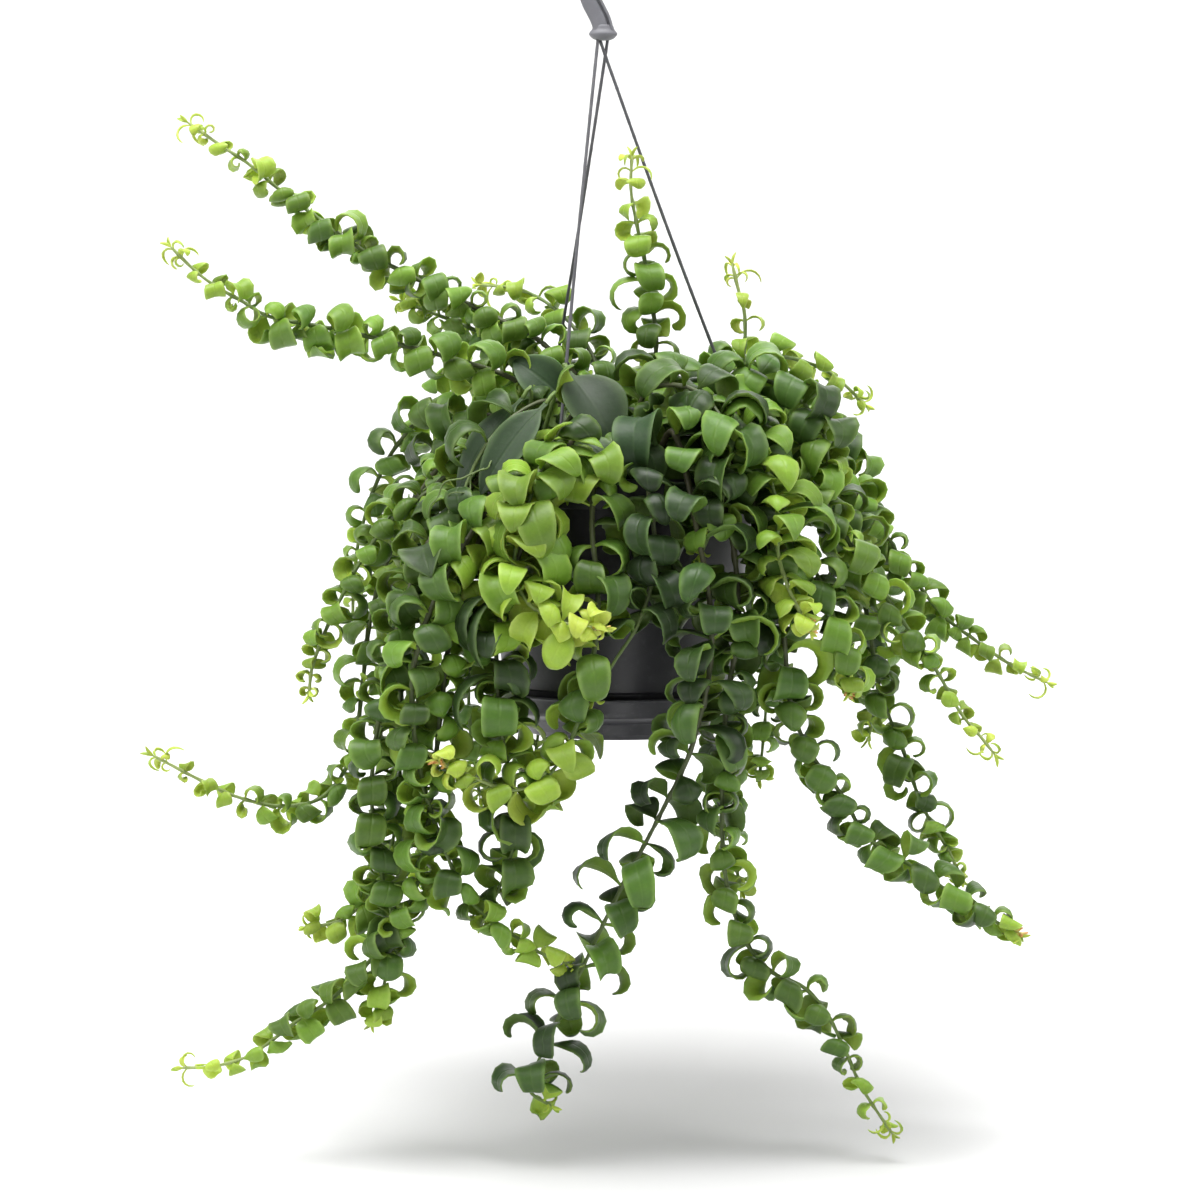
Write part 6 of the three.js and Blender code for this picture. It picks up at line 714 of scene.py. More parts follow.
     241.9,193,46,14.5,10.9,175,-2.9,0.08,0.87, 244.6,35,50,10.2,10.3,150,0.1,-0.49,0.93]),
    ('shoot_lime_low', 1.8, 0.8, 0.46, 0, 1, [(-8,-51.9,-293),(-8,-51.9,-275),(-10,-80,-242.3),(-14.1,-104,-287.9),(-11,-108,-328.9),(-15.3,-112.6,-369.3),(-24.8,-112.9,-400.6),(-38.3,-116,-420.1),(-56.2,-119,-426),(-74.1,-122,-419.4),(-93.5,-124,-410.5)],
    [29.8,5,-1,21.6,16,202,4.2,-0.08,0, 29.8,111,5,25.4,17.6,213,7.4,-0.15,0, 39.3,331,35,20.2,15.1,184,3.8,0.05,0, 39.3,179,29,25.4,15.8,229,5.8,-0.02,0,
     49,122,13,18.9,14.8,191,7.7,0.02,0, 49,321,9,28.6,15.4,214,2.3,0.11,0, 59.4,179,40,40.4,18.6,191,-8,-0.12,0, 69,267,26,24.3,19.9,197,-3.7,-0.18,0,
     69,146,28,38.1,16.5,243,2.4,-0.06,0, 78.6,38,7,31.7,16.7,234,0.4,-0.2,0.47, 78.6,218,10,30.7,16.4,247,-4.4,0.25,0, 89.3,95,40,26.7,18.4,248,0,-0.19,0.5,
     89.3,332,40,39.4,16.9,236,2.1,0.21,0, 98.1,268,46,26.6,19,212,4.3,-0.16,0, 98.1,14,41,31.7,19.4,216,6.9,0.08,0.55, 108.4,311,30,35.4,17.3,196,-6.2,0.24,0,
     108.4,114,36,53.8,17.8,182,2.6,0.4,0.44, 119.1,235,43,39.4,18.8,229,2.5,-0.39,0, 129.5,75,3,33.2,17.7,189,5.1,-0.22,0, 129.5,280,17,36.6,18.8,192,1.5,-0.05,0,
     139.3,179,22,31.6,17.8,229,-7.8,-0.45,0, 139.3,14,17,35.7,16.9,235,-4.6,0.17,0, 149.5,323,30,38.2,17.3,187,1.7,0.24,0, 149.5,104,7,31,18.4,197,3.5,0.21,0,
     159.9,58,26,38.1,17.6,225,4.4,0.2,0.79, 159.9,206,24,39.4,19.1,247,5.8,-0.43,0, 170.7,140,15,27.5,15.3,238,-6.3,0.18,0.79, 176.7,75,10,28,14,150,0,0.2,0.66,
     180.4,60,14,24.9,16.2,247,5,0.12,0.72, 190.4,348,25,58,17,235,0,-0.25,0, 193.4,108,-15,34,17,150,0,0.2,0, 196.7,97,3,25,16.8,187,5.1,-0.36,0,
     207,14,21,33.1,17,191,-0.5,-0.21,0, 212.7,75,10,30,15,170,0,-0.2,0, 216.6,129,39,35,16.6,218,0,-0.2,0, 216.6,284,37,27.3,15.4,240,7.1,-0.21,0,
     228.7,210,50,30,15,150,0,-0.2,0, 229.4,180,65,34,17,150,0,-0.2,0, 232.7,216,19,27.3,16,232,-4.8,0.4,0, 232.7,30,33,32.2,15.6,232,5.9,-0.53,0.62,
     240.7,330,50,30,15,160,0,0.2,0.61, 241.7,300,39,31.7,16.6,217,-6.4,-0.02,0.62, 241.7,105,34,28.8,16.2,241,0.3,0,0.62, 251.8,31,30,25.6,15.9,205,-2.7,-0.43,0.55,
     251.8,197,38,27.9,15.9,188,-1.5,0.2,0.55, 260.8,143,16,40.9,17.7,229,2.4,0.43,0.52, 260.8,311,25,24.9,16.8,193,-1.9,0.06,0.52, 271.5,201,20,33.5,14.1,196,6.5,0.04,0.55,
     271.5,56,48,31.8,15.6,232,-5.2,-0.15,0.55, 281.7,323,18,20.3,13.4,199,4.4,0.08,0.5, 281.7,147,10,20.8,14.1,210,-5.6,-0.05,0.5, 290.8,47,52,30.6,13.1,235,3.9,-0.12,0.54,
     290.8,217,34,29,14.4,198,-1.4,0.14,0.54, 298.8,128,41,15.8,12.2,235,-5,-0.15,0.66, 298.8,312,30,16.2,12.5,249,3.3,-0.53,0.66, 306.2,249,39,20.4,12.7,204,4.3,-0.15,0.81,
     306.2,358,44,16.7,12.3,212,2.6,-0.39,0.81, 310.4,107,42,11,11,231,-3.7,-0.24,0.89, 313.7,8,57,17.2,11.7,186,-1.2,0.05,0.96, 313.7,233,59,11.4,11.3,210,0.2,0.16,0.96]),
    ('shoot_center_left', 1.8, 0.8, 0.18, 0, 0, [(-20.6,-55,-293),(-20.6,-55,-275),(-25.3,-89.1,-248.4),(-45.1,-111.2,-288.3),(-61.3,-113.9,-338.8),(-62.5,-112,-385.4),(-55.4,-108,-427.2),(-55.6,-102,-459.2),(-65.1,-96.4,-485.8),(-71.4,-94.4,-499.2)],
    [25.5,163,34,34.2,16.5,237,-2.4,0.55,0, 36.5,219,27,27.1,17.7,209,-2.3,0.46,0, 47.1,314,3,26,15.7,201,4.3,0.2,0, 56.3,49,20,26.8,17,199,-5.5,-0.08,0.44,
     61.4,228,45,38,18,110,0,0.25,0, 67.8,1,10,38.5,17.8,241,-7.9,-0.17,0, 67.8,183,47,28,17.7,252,5.9,-0.17,0.5, 77.7,15,28,29.1,20.2,229,7.3,0.08,0.47,
     77.7,270,30,43.2,17,241,5.9,0.17,0.47, 88.9,180,34,27.6,17.3,260,-0.2,0.09,0.5, 88.9,350,1,30.5,17,230,3.3,0.18,0.5, 98.1,36,24,37.8,18.7,208,-7.8,-0.06,0.55,
     109.5,342,8,57.6,20.3,190,-0.7,-0.04,0.7, 109.5,175,19,42.4,18.7,236,-0.2,-0.16,0.7, 119.4,27,17,47.5,19.3,214,-7.9,0.15,0.75, 119.4,269,19,46.6,18.3,199,-3.3,-0.36,0.75,
     128.8,165,14,57.2,17.3,252,-1.1,-0.52,0.7, 128.8,278,22,46.8,20.4,201,-4.8,0.12,0.7, 138.4,198,39,30.3,19.5,251,5.6,0.17,0.8, 138.4,73,0,35.4,19,239,-7.3,-0.06,0.8,
     148.4,350,22,34.6,17.7,214,-4.7,0.57,0.8, 148.4,125,4,52.5,18,252,-0.4,0.12,0.8, 157.4,24,-15,52,15,140,0,-0.2,0, 160.7,31,21,57,17.1,201,6.1,-0.1,0,
     160.7,196,29,48.3,17.7,191,0.1,0.52,0.74, 170.5,129,29,26.2,16.1,194,0.6,0.12,0.7, 170.5,299,16,32.2,16.9,220,7.7,0.19,0.7, 180.2,225,24,30.7,16.8,238,-1.4,-0.09,0.65,
     180.2,41,24,29,16.6,242,-3.9,0.13,0, 180.7,180,50,30,15,170,0,0.2,0.79, 180.7,345,50,30,15,180,0,0.2,0, 190.5,301,17,36.3,17.9,242,-6.3,0.26,0,
     190.5,127,10,44.9,15.9,226,4.6,-0.23,0, 192.7,240,50,30,14,170,0,0.2,0, 196.4,36,5,46,13.5,140,0,-0.2,0, 200.1,70,9,29.8,17.2,261,-4.1,-0.18,0,
     200.1,264,51,26.6,17.3,196,4.7,-0.22,0, 200.7,180,50,30,15,160,0,-0.2,0, 209.9,168,26,50,16,191,5.9,0.01,0, 209.9,327,17,47.7,18.6,256,-1.4,0.09,0,
     214.4,240,45,34,16,160,0,-0.2,0, 220.7,165,50,32,15,165,0,-0.2,0, 221.1,223,7,31.9,17.9,190,5.3,0.13,0.6, 221.1,72,26,29,18.4,244,5.4,0.15,0,
     230.9,7,4,23.7,16,255,5.6,0.06,0.62, 230.9,166,11,36.9,17,221,-6.8,0.11,0.62, 232.7,225,50,32,16,150,0,0.2,0.62, 242,42,23,27.3,16.1,205,5.4,0.02,0.53,
     242,223,41,22.7,16.2,212,-2.7,-0.18,0.53, 253,132,13,30.6,17.8,218,1.3,-0.14,0.52, 253,290,41,33,16,234,-6.2,-0.09,0.52, 263.4,206,0,24,16,194,-7.4,0.08,0.56,
     263.4,27,8,42.1,15.4,257,-3.3,0.4,0, 273.5,325,22,31.4,16,205,-1,0.57,0, 273.5,112,25,31.9,15.8,228,0.7,-0.15,0, 285.1,55,34,40.9,17.4,249,-6,-0.18,0,
     285.1,231,36,30.2,15.5,238,-7.1,0.47,0, 295.8,125,30,32.3,15.4,212,-2.7,0.12,0.04, 295.8,294,25,31.3,17.3,200,5.1,0.4,0.04, 305.1,215,14,23.8,15.6,223,0.6,0.13,0.28,
     305.1,67,25,25.7,15.3,241,6.8,0.08,0.28, 315.3,355,44,18.1,12.8,243,-0.4,-0.01,0.53, 315.3,174,34,18.5,14.7,233,5.7,0.06,0.53, 324.5,202,36,14.8,12.5,214,1,-0.23,0.76,
     328.5,147,66,22.3,13.1,218,-2.3,-0.03,0.86, 332.3,70,30,11.6,10.3,213,2.2,0.04,0.96]),
    ('shoot_center_front', 1.6, 0.8, 0.04, 0, 0, [(4.3,-56.1,-293),(4.3,-56.1,-275),(5.6,-76,-237.2),(14.7,-102,-272.6),(18.3,-106,-308.4),(10.6,-108,-339.2),(-3.7,-109.7,-362.4),(-13.7,-106.8,-381.4)],
    [29,22,44,19.3,14.3,189,-7.7,-0.21,0, 29,158,22,24.6,14.1,201,0.2,-0.44,0, 40.4,24,45,40,19,130,0,0.25,0, 43.7,97,28,22.6,14.2,180,-3.2,-0.17,0,
     43.7,206,37,23.1,14.3,192,4.2,0.01,0, 54.6,133,7,38.6,14.9,163,0.4,0.2,0, 92,101,17,25.2,15,209,-7,0.26,0, 102.7,268,9,30.7,15,201,3.9,-0.02,0,
     102.7,16,34,26.1,17.2,188,-6.8,-0.21,0, 113.9,355,16,34.1,15,201,-7.1,-0.54,0, 113.9,162,40,29.5,15.5,185,2.6,-0.06,0, 124.6,49,24,35.2,15.3,178,-7.6,0.21,0,
     124.6,243,22,37.1,14.8,181,5.6,-0.11,0, 135,175,10,30.4,16.2,169,2.1,0.16,0, 135,357,33,29.3,17.4,190,-2.5,0.02,0, 144.5,246,17,35.7,17,182,-6.9,-0.07,0,
     144.5,48,25,31.2,17.4,204,-5,-0.17,0, 148.4,108,-15,36,8.5,35,0,0.4,0, 154,336,13,35,15.8,201,-6.2,0.51,0, 154,139,17,38.3,15.2,200,-1.2,-0.4,0,
     157.4,216,-15,30,15,120,0,-0.2,0, 163.4,70,37,25.2,17.4,220,-7.2,0.09,0, 163.4,231,5,28.9,17.2,200,5.3,0.21,0, 172.8,163,12,20.1,15.1,199,-3.3,-0.02,0,
     172.8,311,40,39.9,15,192,0.6,0.11,0, 183.1,48,49,21.6,15.2,173,6.6,-0.1,0, 212.9,17,36,23.5,12.7,205,-1,-0.16,0.57, 221.1,98,56,11.2,11.8,174,-3.9,-0.19,0.85]),
    ('shoot_center_low', 1.8, 0.8, 0.15000000000000002, 0, 0, [(15.9,-50.3,-293),(15.9,-50.3,-275),(28.1,-75.8,-243.7),(40.1,-106.5,-293.3),(47.7,-106.4,-349.7),(38.7,-98,-402.3),(21.2,-92,-442.2),(3.1,-88,-476.8),(-11,-84,-506.3),(-24.7,-80,-536),(-37.3,-76,-563.1),(-46.9,-74,-589),(-35.3,-74,-598.6)],
    [26.2,166,4,23.7,15.9,205,1,-0.48,0, 26.2,289,42,30,15.7,246,2.6,-0.4,0, 39.9,226,41,48.6,15.4,223,5.9,0.26,0, 39.9,27,23,23.1,15.5,244,-3.1,-0.19,0,
     53.9,104,45,40.4,19.5,230,0,-0.04,0, 61.4,276,65,38,17,170,0,0.25,0, 66.8,357,13,37.8,16.8,188,7.1,0.09,0, 66.8,254,41,48.4,18.4,217,5.3,0.02,0,
     78.5,183,14,35.4,20,229,5.1,-0.19,0, 78.5,329,15,50.4,19.4,248,-2.3,0.04,0, 89.7,258,15,37.8,17.5,231,2.3,0.1,0, 89.7,22,30,34.1,17.8,221,1.7,0.12,0,
     103.7,317,31,40.3,17.1,204,5.9,-0.01,0, 103.7,198,29,39.7,19.3,236,-7.8,0.11,0, 115.4,41,39,38.7,19.9,188,-1.1,0.16,0, 115.4,187,44,45.1,17.6,224,5.1,-0.07,0,
     129.3,162,7,48.5,19.9,192,7.3,0.42,0, 129.3,316,20,42.2,17.4,206,-3.3,0.25,0, 143.2,212,8,39.8,16.6,220,4.3,0.23,0, 143.2,34,17,45.6,16.7,181,4.9,-0.44,0,
     154.3,308,24,40.1,17.8,222,5.5,0.05,0, 154.3,95,7,30.2,18,218,-3,0.07,0, 166.8,26,34,33.4,17.7,214,-1.4,0.17,0, 166.8,172,1,41.5,18.5,184,-6.1,0.51,0,
     180.1,146,17,42.6,16.1,225,2.8,-0.09,0, 180.1,302,38,53.7,16.5,202,-1.3,0.25,0, 180.7,60,-10,30,15,170,0,-0.2,0, 191.2,223,23,32.8,15.7,199,-6.7,0.11,0,
     191.2,48,38,41.1,15.8,185,1.9,0.22,0, 204.4,333,30,38.1,16.2,205,-6.6,-0.09,0, 204.4,123,10,33.4,17.8,197,1,0.13,0, 204.7,45,30,32,16,170,0,-0.2,0,
     212.7,105,-10,32,16,160,0,-0.2,0, 216.5,38,23,56.8,16.2,239,4.8,-0.5,0, 216.5,211,25,33.5,17.4,232,-6.7,0.15,0, 228.5,139,15,37.8,16.7,212,-0.2,0.25,0,
     228.5,304,28,50,18.3,230,1,-0.49,0, 236.7,105,10,30,15,160,0,0.2,0, 242.4,250,5,29.5,14.7,186,-6.8,-0.13,0, 242.4,56,38,32.4,15.8,232,-5.5,-0.15,0,
     255.4,336,9,31.3,17,238,0.5,-0.52,0, 255.4,149,23,31.9,16.1,189,3.5,-0.23,0, 268.8,34,36,37.6,15.1,247,2.5,0.2,0, 268.8,216,10,32.7,17.1,182,-3.2,0,0,
     282.5,135,29,36.1,14.6,223,-3.3,0.16,0, 282.5,302,31,45.6,17.4,197,3.5,0.04,0, 295.8,251,15,34.8,16,211,-0.9,-0.39,0, 295.8,45,12,38.2,15.6,185,7.3,0.06,0,
     308.5,328,26,51.6,16.4,199,6.4,0.11,0, 308.5,159,22,37.3,17.4,237,4.8,-0.43,0, 321.8,51,27,43.4,15.1,183,-4.7,0.1,0, 321.8,222,12,31.4,15.6,238,-2.2,-0.15,0,
     332.9,153,31,30.3,15.1,217,5.7,-0.12,0, 332.9,317,28,36.9,15.5,187,0.9,0.22,0, 344.4,233,15,31.6,14.6,212,-3.8,0.14,0, 344.4,57,31,41.2,15,231,-7.9,-0.44,0,
     358.2,306,28,34.2,15.5,211,0.4,0.55,0, 358.2,145,14,38,15.2,198,3.5,0.56,0, 370.1,12,-2,29.8,15.4,242,-0.7,0.05,0, 370.1,226,32,37.3,16.6,191,6.1,0.18,0,
     381.7,138,27,50,16.4,224,4.3,0.15,0, 381.7,338,9,39.1,14.7,194,0.5,-0.13,0, 392.9,243,35,37,16,222,0.8,0.22,0, 392.9,53,18,30.4,14.6,195,6.1,0.01,0,
     404.6,333,8,35.4,15.3,189,6.7,0.03,0, 404.6,154,19,38.1,15.3,226,1.6,-0.19,0, 417.1,58,37,32.7,14.9,187,1.3,0.49,0, 417.1,253,34,37.8,14.5,183,-5.8,-0.01,0,
     430.8,155,15,32.9,15.4,222,0.8,-0.01,0, 430.8,317,28,36.2,16.2,229,3.9,0.14,0, 442.3,243,40,33.3,16.1,189,0.1,-0.1,0.21, 442.3,36,64,30.7,16.7,197,0.1,0.18,0.21,
     453.1,331,38,18.4,12.6,195,-0.6,-0.17,0.75, 453.1,146,55,18.1,11.5,211,0.1,0.5,0.75]),
    ('shoot_center_right', 1.8, 0.8, 0.30000000000000004, 1, 0, [(28.3,-46.5,-293),(28.3,-46.5,-275),(37.1,-64,-240.2),(56.3,-92,-288.5),(61.4,-98,-340),(55.4,-94,-387.1),(53.5,-90,-434.5),(55.8,-86,-477),(65.4,-82,-508.2),(80.2,-80,-526.4),(96.1,-78,-534.2),(108.8,-76,-548.3),(119.5,-74,-569.9),(128.2,-72,-589.4),(144.6,-72,-614.4)],
    [25.8,243,17,22,13.8,208,-2.6,0.03,0, 25.8,78,22,24.6,13.8,202,6.1,-0.22,0, 35,351,24,20.6,15.5,213,3.3,0.16,0, 35,144,42,27.6,14.8,223,-6.6,0.41,0,
     44.9,23,47,21.7,13.9,189,4.2,0.07,0, 44.9,267,35,23.6,15.5,246,-2.8,-0.43,0, 55.9,104,38,24.2,16.4,193,5.6,-0.14,0, 55.9,3,37,29.1,17,247,-4.6,-0.01,0,
     65.7,258,25,33.7,16.5,195,-2.1,-0.54,0, 65.7,31,51,24,15.2,235,7.4,0.26,0, 76.3,305,31,29.2,15.4,186,5.5,0.12,0, 76.3,193,18,28.1,16,194,-2.3,-0.06,0,
     87,57,25,27.3,16.2,248,6,0.08,0, 87,263,27,23.8,16,205,4.1,-0.1,0, 98.5,172,49,27.2,18.1,226,0.1,-0.12,0, 98.5,323,42,32.8,15.2,199,4.2,-0.54,0,
     109.5,256,35,29.5,18.1,241,4.7,-0.46,0, 109.5,82,14,37.5,16.3,215,-3.4,0.09,0, 119.9,348,24,37.1,17.8,189,-4.4,0.16,0, 119.9,177,43,23.3,15.3,229,2.1,-0.14,0,
     129.2,7,39,24.9,17.5,226,-5.5,0.04,0, 129.2,261,23,40.8,17.6,217,1.6,-0.15,0, 140.5,316,21,34.9,17.6,232,-0.7,-0.51,0, 149.9,226,11,38.9,16,223,-5.9,0.16,0,
     149.9,70,15,31.8,17.9,193,-6.5,0.1,0, 160.3,314,25,34.6,15.2,247,6.3,0.05,0, 160.3,154,23,29.1,16.2,251,-2.4,-0.17,0, 166.4,144,45,50,17,205,0,-0.25,0,
     168.7,180,10,30,15,180,0,-0.2,0, 171.1,26,17,28.5,15.9,202,-5.2,0.53,0, 171.1,218,12,25.7,14.4,206,5.7,-0.09,0, 182,137,36,24.3,16,247,3.6,-0.22,0,
     182,3,-1,22.7,15.6,212,-3.9,-0.2,0, 192.4,231,39,39.6,16.7,193,-4,-0.15,0, 192.4,82,16,20.2,14.8,214,6,0.22,0, 201.6,331,39,27.3,14,254,-4.9,-0.23,0,
     201.6,165,15,29.8,16.2,187,0.5,0.17,0, 210.8,16,36,25.7,14.7,210,-0.5,-0.19,0, 210.8,247,25,25,13.8,196,0.6,0.51,0, 222,154,7,38.7,15.6,219,6.3,-0.15,0,
     222,302,6,26.8,16,213,-6.6,-0.22,0, 233.2,231,40,37.4,15.1,250,7.1,-0.09,0, 233.2,23,13,39,14.8,207,-6.8,-0.05,0, 242.6,307,12,30,13.6,223,-6.6,-0.05,0,
     242.6,207,2,20.3,13.6,237,6.1,0.01,0, 253.1,18,14,22.9,13.7,228,-2.9,-0.13,0, 253.1,216,6,30.1,15.8,203,-3.5,0.6,0, 264.2,132,12,26.5,15.9,228,-5.9,-0.17,0,
     264.2,304,9,27.5,15.7,247,2.7,-0.22,0, 274.3,233,22,25.3,13.2,200,5.6,0.51,0, 274.3,67,34,28.6,13.2,213,1,0.06,0, 283.7,336,25,22.4,15,206,3.9,-0.07,0,
     283.7,160,26,32.5,13.7,199,-0.7,-0.09,0, 294.1,42,13,24.5,13.7,238,-3.9,-0.18,0, 294.1,253,13,24.7,14.9,205,-0.7,-0.1,0, 303.7,154,10,28.6,15.6,197,4.5,0.24,0,
     303.7,307,17,27.6,14.9,200,5.2,0.5,0, 315.1,227,22,26.7,13.8,229,-5.1,0.17,0, 315.1,50,12,25.2,14.6,224,0.9,-0.01,0, 324.4,309,18,26,15,204,0.3,-0.42,0,
     324.4,147,47,22.5,14.8,194,-0.4,0.59,0, 336,51,33,24.8,14.4,201,-2.1,0.07,0, 336,250,31,25.9,14.4,236,5,0.11,0, 347.5,127,14,39.6,13.3,240,6.2,0.15,0,
     347.5,324,19,29.5,15.3,249,6.4,-0.13,0, 356.7,252,21,24.1,13.5,222,-7.6,-0.09,0, 356.7,69,15,23.2,16,245,-4,-0.05,0, 367.6,333,33,30,14.9,246,3.9,0.14,0,
     367.6,162,25,28,14.1,250,0.4,0.48,0, 377.2,72,26,26.1,15.7,213,-7.9,0.22,0, 377.2,239,8,23.8,13.7,186,2.9,-0.49,0, 388.8,157,40,29.6,15,190,0.5,-0.19,0,
     388.8,327,38,23.8,15.1,225,-5.5,-0.46,0, 399.8,235,14,39.6,14.9,251,2.5,0.25,0, 399.8,75,15,22.3,13.3,205,-0.2,-0.19,0, 410.3,329,19,25.2,14.9,191,-4.6,-0.23,0.13,
     410.3,195,46,19.8,13.8,234,6.6,0.01,0.13, 421.5,75,14,19.8,13.7,237,5.6,0,0.27, 421.5,279,31,16.4,13.2,207,5,0.1,0.27, 432.2,134,18,16.2,11.7,217,3,0.13,0.4,
     432.2,330,9,16.7,11.7,220,-4.5,-0.14,0.4, 445.6,235,16,17,10.8,239,-1.3,-0.37,0.57, 445.6,49,33,15.1,12.1,193,-2.8,-0.47,0.57, 460.5,338,31,12.7,10.9,192,-3.3,0.05,0.75,
     460.5,143,48,16.8,10.8,210,-1.4,-0.13,0.75, 476.2,45,54,8.9,6.6,124,1.3,0.1,0.95, 476.2,214,43,9.4,5.8,122,1,-0.17,0.95]),
    ('shoot_right_low', 1.8, 0.8, 0.28, 0, 1, [(40.1,-40.8,-293),(40.1,-40.8,-275),(47.7,-50.9,-238.8),(72.7,-84.3,-289.2),(84.6,-86,-340.9),(89.1,-82,-383),(99.8,-78,-410.7),(116.8,-76,-433.6),(130.6,-74,-456.5),(155.5,-72,-472.6),(178.4,-70,-488.7),(200.7,-68,-502.8),(210.8,-68,-508.7)],
    [27.5,86,8,18.3,13.7,223,-7,-0.47,0, 27.5,228,41,21.6,15.2,243,-7.9,-0.07,0, 37.4,91,46,24.3,14.7,205,6.4,0.24,0, 37.4,272,45,17.9,16,255,-3.2,-0.23,0,
     48,199,42,27.2,16,241,5.9,0.05,0, 48,29,49,21.2,14.6,201,3.2,0.19,0, 57.5,318,39,30.5,16.1,233,-5.7,0.11,0, 57.5,106,45,26.6,16,235,0.9,-0.41,0,
     66.8,25,29,37.3,18.1,200,-5.9,0,0, 66.8,269,50,33.1,17.9,241,-5.4,0.1,0, 76.5,187,28,29.9,16.9,270,-3.2,-0.53,0, 76.5,327,38,38.7,16.1,237,-2.5,0.49,0,
     87,262,24,26.5,17.5,232,3.5,0.14,0, 87,360,26,23.6,16.6,249,4.1,-0.15,0, 96.6,311,10,50.2,18,207,-5.6,-0.05,0, 96.6,170,5,27.6,16.1,246,5.4,0.15,0,
     106.6,41,26,42.5,18,258,0.5,-0.13,0, 106.6,257,39,34.6,17.7,218,-1.5,0.17,0, 116.7,159,18,33.4,15.7,246,6.5,0.41,0, 116.7,304,39,24.4,16.6,269,-3.8,0.22,0,
     125.8,233,15,49,15.5,258,0.4,0.11,0, 125.8,26,48,28,17.5,260,7.9,-0.45,0, 136.1,322,16,37.3,15.6,244,2.6,-0.19,0, 136.1,133,26,34,17.3,232,1.3,0.06,0,
     146.7,23,42,32.2,17.4,256,-2.2,0.03,0, 146.7,219,27,38.2,17.5,222,-2.3,-0.07,0, 155.5,107,32,25.3,16.7,247,5.1,-0.09,0, 155.5,342,34,31.7,16.7,220,-1.2,-0.04,0,
     165.9,241,21,25.2,14.2,245,5.8,0.2,0, 165.9,80,7,27.4,17,223,1.3,-0.11,0, 176,4,10,25.4,16.5,228,3.4,0.55,0, 176,164,16,32.9,16.5,200,6.2,0.52,0,
     185.9,86,40,33.1,16,256,-1,0.58,0, 185.9,228,29,29.9,16.5,231,4.1,0.11,0, 195.9,164,20,27.7,14.6,265,-5.6,-0.17,0, 195.9,322,32,40.9,14.6,211,-7,0.56,0,
     205.3,220,11,43,16.8,247,-7.6,0.48,0, 205.3,39,26,41.1,16.6,255,2.4,0.14,0, 215.4,316,20,32.9,15.8,219,4,-0.05,0, 215.4,140,33,28.4,15.1,209,4,0.21,0,
     224.4,67,37,32.4,17.1,201,-5.1,-0.49,0, 224.4,250,34,26.7,17,239,-0.3,0.11,0, 233.7,151,29,23.9,14.2,204,-6.9,0.08,0, 233.7,305,22,24.2,15.2,235,2.5,0.1,0,
     244.1,248,19,24.3,15.1,256,2.6,-0.09,0, 244.1,59,29,32.2,14.3,259,2.2,-0.2,0, 252.9,332,36,27.4,14.5,211,-6.4,-0.1,0, 252.9,149,26,26.7,14.9,245,7,-0.48,0,
     262.5,50,22,28.3,16.2,215,3,-0.14,0, 262.5,230,32,29.5,14.9,209,-0.7,0.1,0, 271.6,151,34,29,15.2,259,-2.3,0.08,0, 271.6,323,9,24.7,14,252,-5.8,-0.03,0,
     281.5,212,32,25.9,14.4,202,4.2,0.05,0, 281.5,61,25,29,15.6,236,7.9,-0.17,0, 290.3,335,21,24.5,14.5,266,-4.1,-0.24,0, 290.3,135,26,29.1,15.9,238,6,-0.16,0,
     300.4,68,35,25,14.1,214,2.5,0.02,0, 300.4,235,23,26.4,16.4,257,-4.3,0.07,0, 310.3,150,18,25.4,14,248,3.3,-0.21,0, 310.3,317,11,27.9,15.8,223,1.5,0.08,0,
     320.2,252,32,29.8,13.9,207,1.8,0.21,0, 320.2,65,16,24.7,16,199,7,0.21,0, 329.2,342,20,29.7,13.6,211,6,0.22,0, 329.2,163,20,24.3,14.1,229,0.4,-0.04,0,
     339.5,67,40,30.1,16.4,228,-6.8,-0.21,0, 339.5,251,31,29.6,13.8,253,-7.6,0.06,0, 349.9,164,30,27.7,14.7,234,-3.5,0.19,0, 349.9,327,40,30,14.9,208,5.6,-0.17,0,
     360,239,38,28.1,14.8,248,7.5,-0.16,0, 360,60,36,29.9,16.5,269,-5.3,0.17,0, 369.7,337,24,22.3,14.1,202,-7.3,0.04,0.06, 369.7,164,14,28.9,13.6,215,-7.5,-0.12,0.06,
     378.3,61,38,25.1,13.4,204,-0.5,-0.22,0.3, 378.3,247,38,23.7,13.2,250,0.5,0.52,0.3, 387.8,131,34,16.9,13.8,229,-3.4,-0.45,0.57, 387.8,340,34,25.1,12.7,258,-3.2,-0.14,0.57,
     396.1,233,41,14.7,12.1,221,3,-0.01,0.81, 396.1,40,53,16.2,12.1,247,3.6,0.1,0.81, 399.5,120,52,12.5,10.3,267,-3.2,-0.08,0.91]),
    ('shoot_right_a', 1.8, 0.8, 0.32, 0, 0, [(57.2,-11.2,-293),(57.2,-11.2,-275),(67.4,-20,-238.8),(102.9,-26,-259.9),(122,-30,-297),(131.7,-32,-339.6),(139.3,-32,-382.4),(151.9,-30,-414.7),(162.2,-30,-444.3),(176.2,-30,-468.5),(183.8,-30,-484.7)],
    [25.7,138,22,24.9,13.1,255,3.8,0.2,0, 25.7,347,37,22,14,258,5.7,0.03,0, 34.6,268,41,17.3,14.3,229,5.6,0.23,0, 34.6,39,47,22.4,13.6,240,2.4,-0.22,0,
     43.4,327,32,27.2,13.7,232,-0.5,-0.22,0, 43.4,147,29,18.3,12.8,247,-0.9,-0.42,0, 53.2,99,23,32.1,15.8,273,2.2,0.59,0, 53.2,224,40,37,16.2,217,4.8,0.17,0,
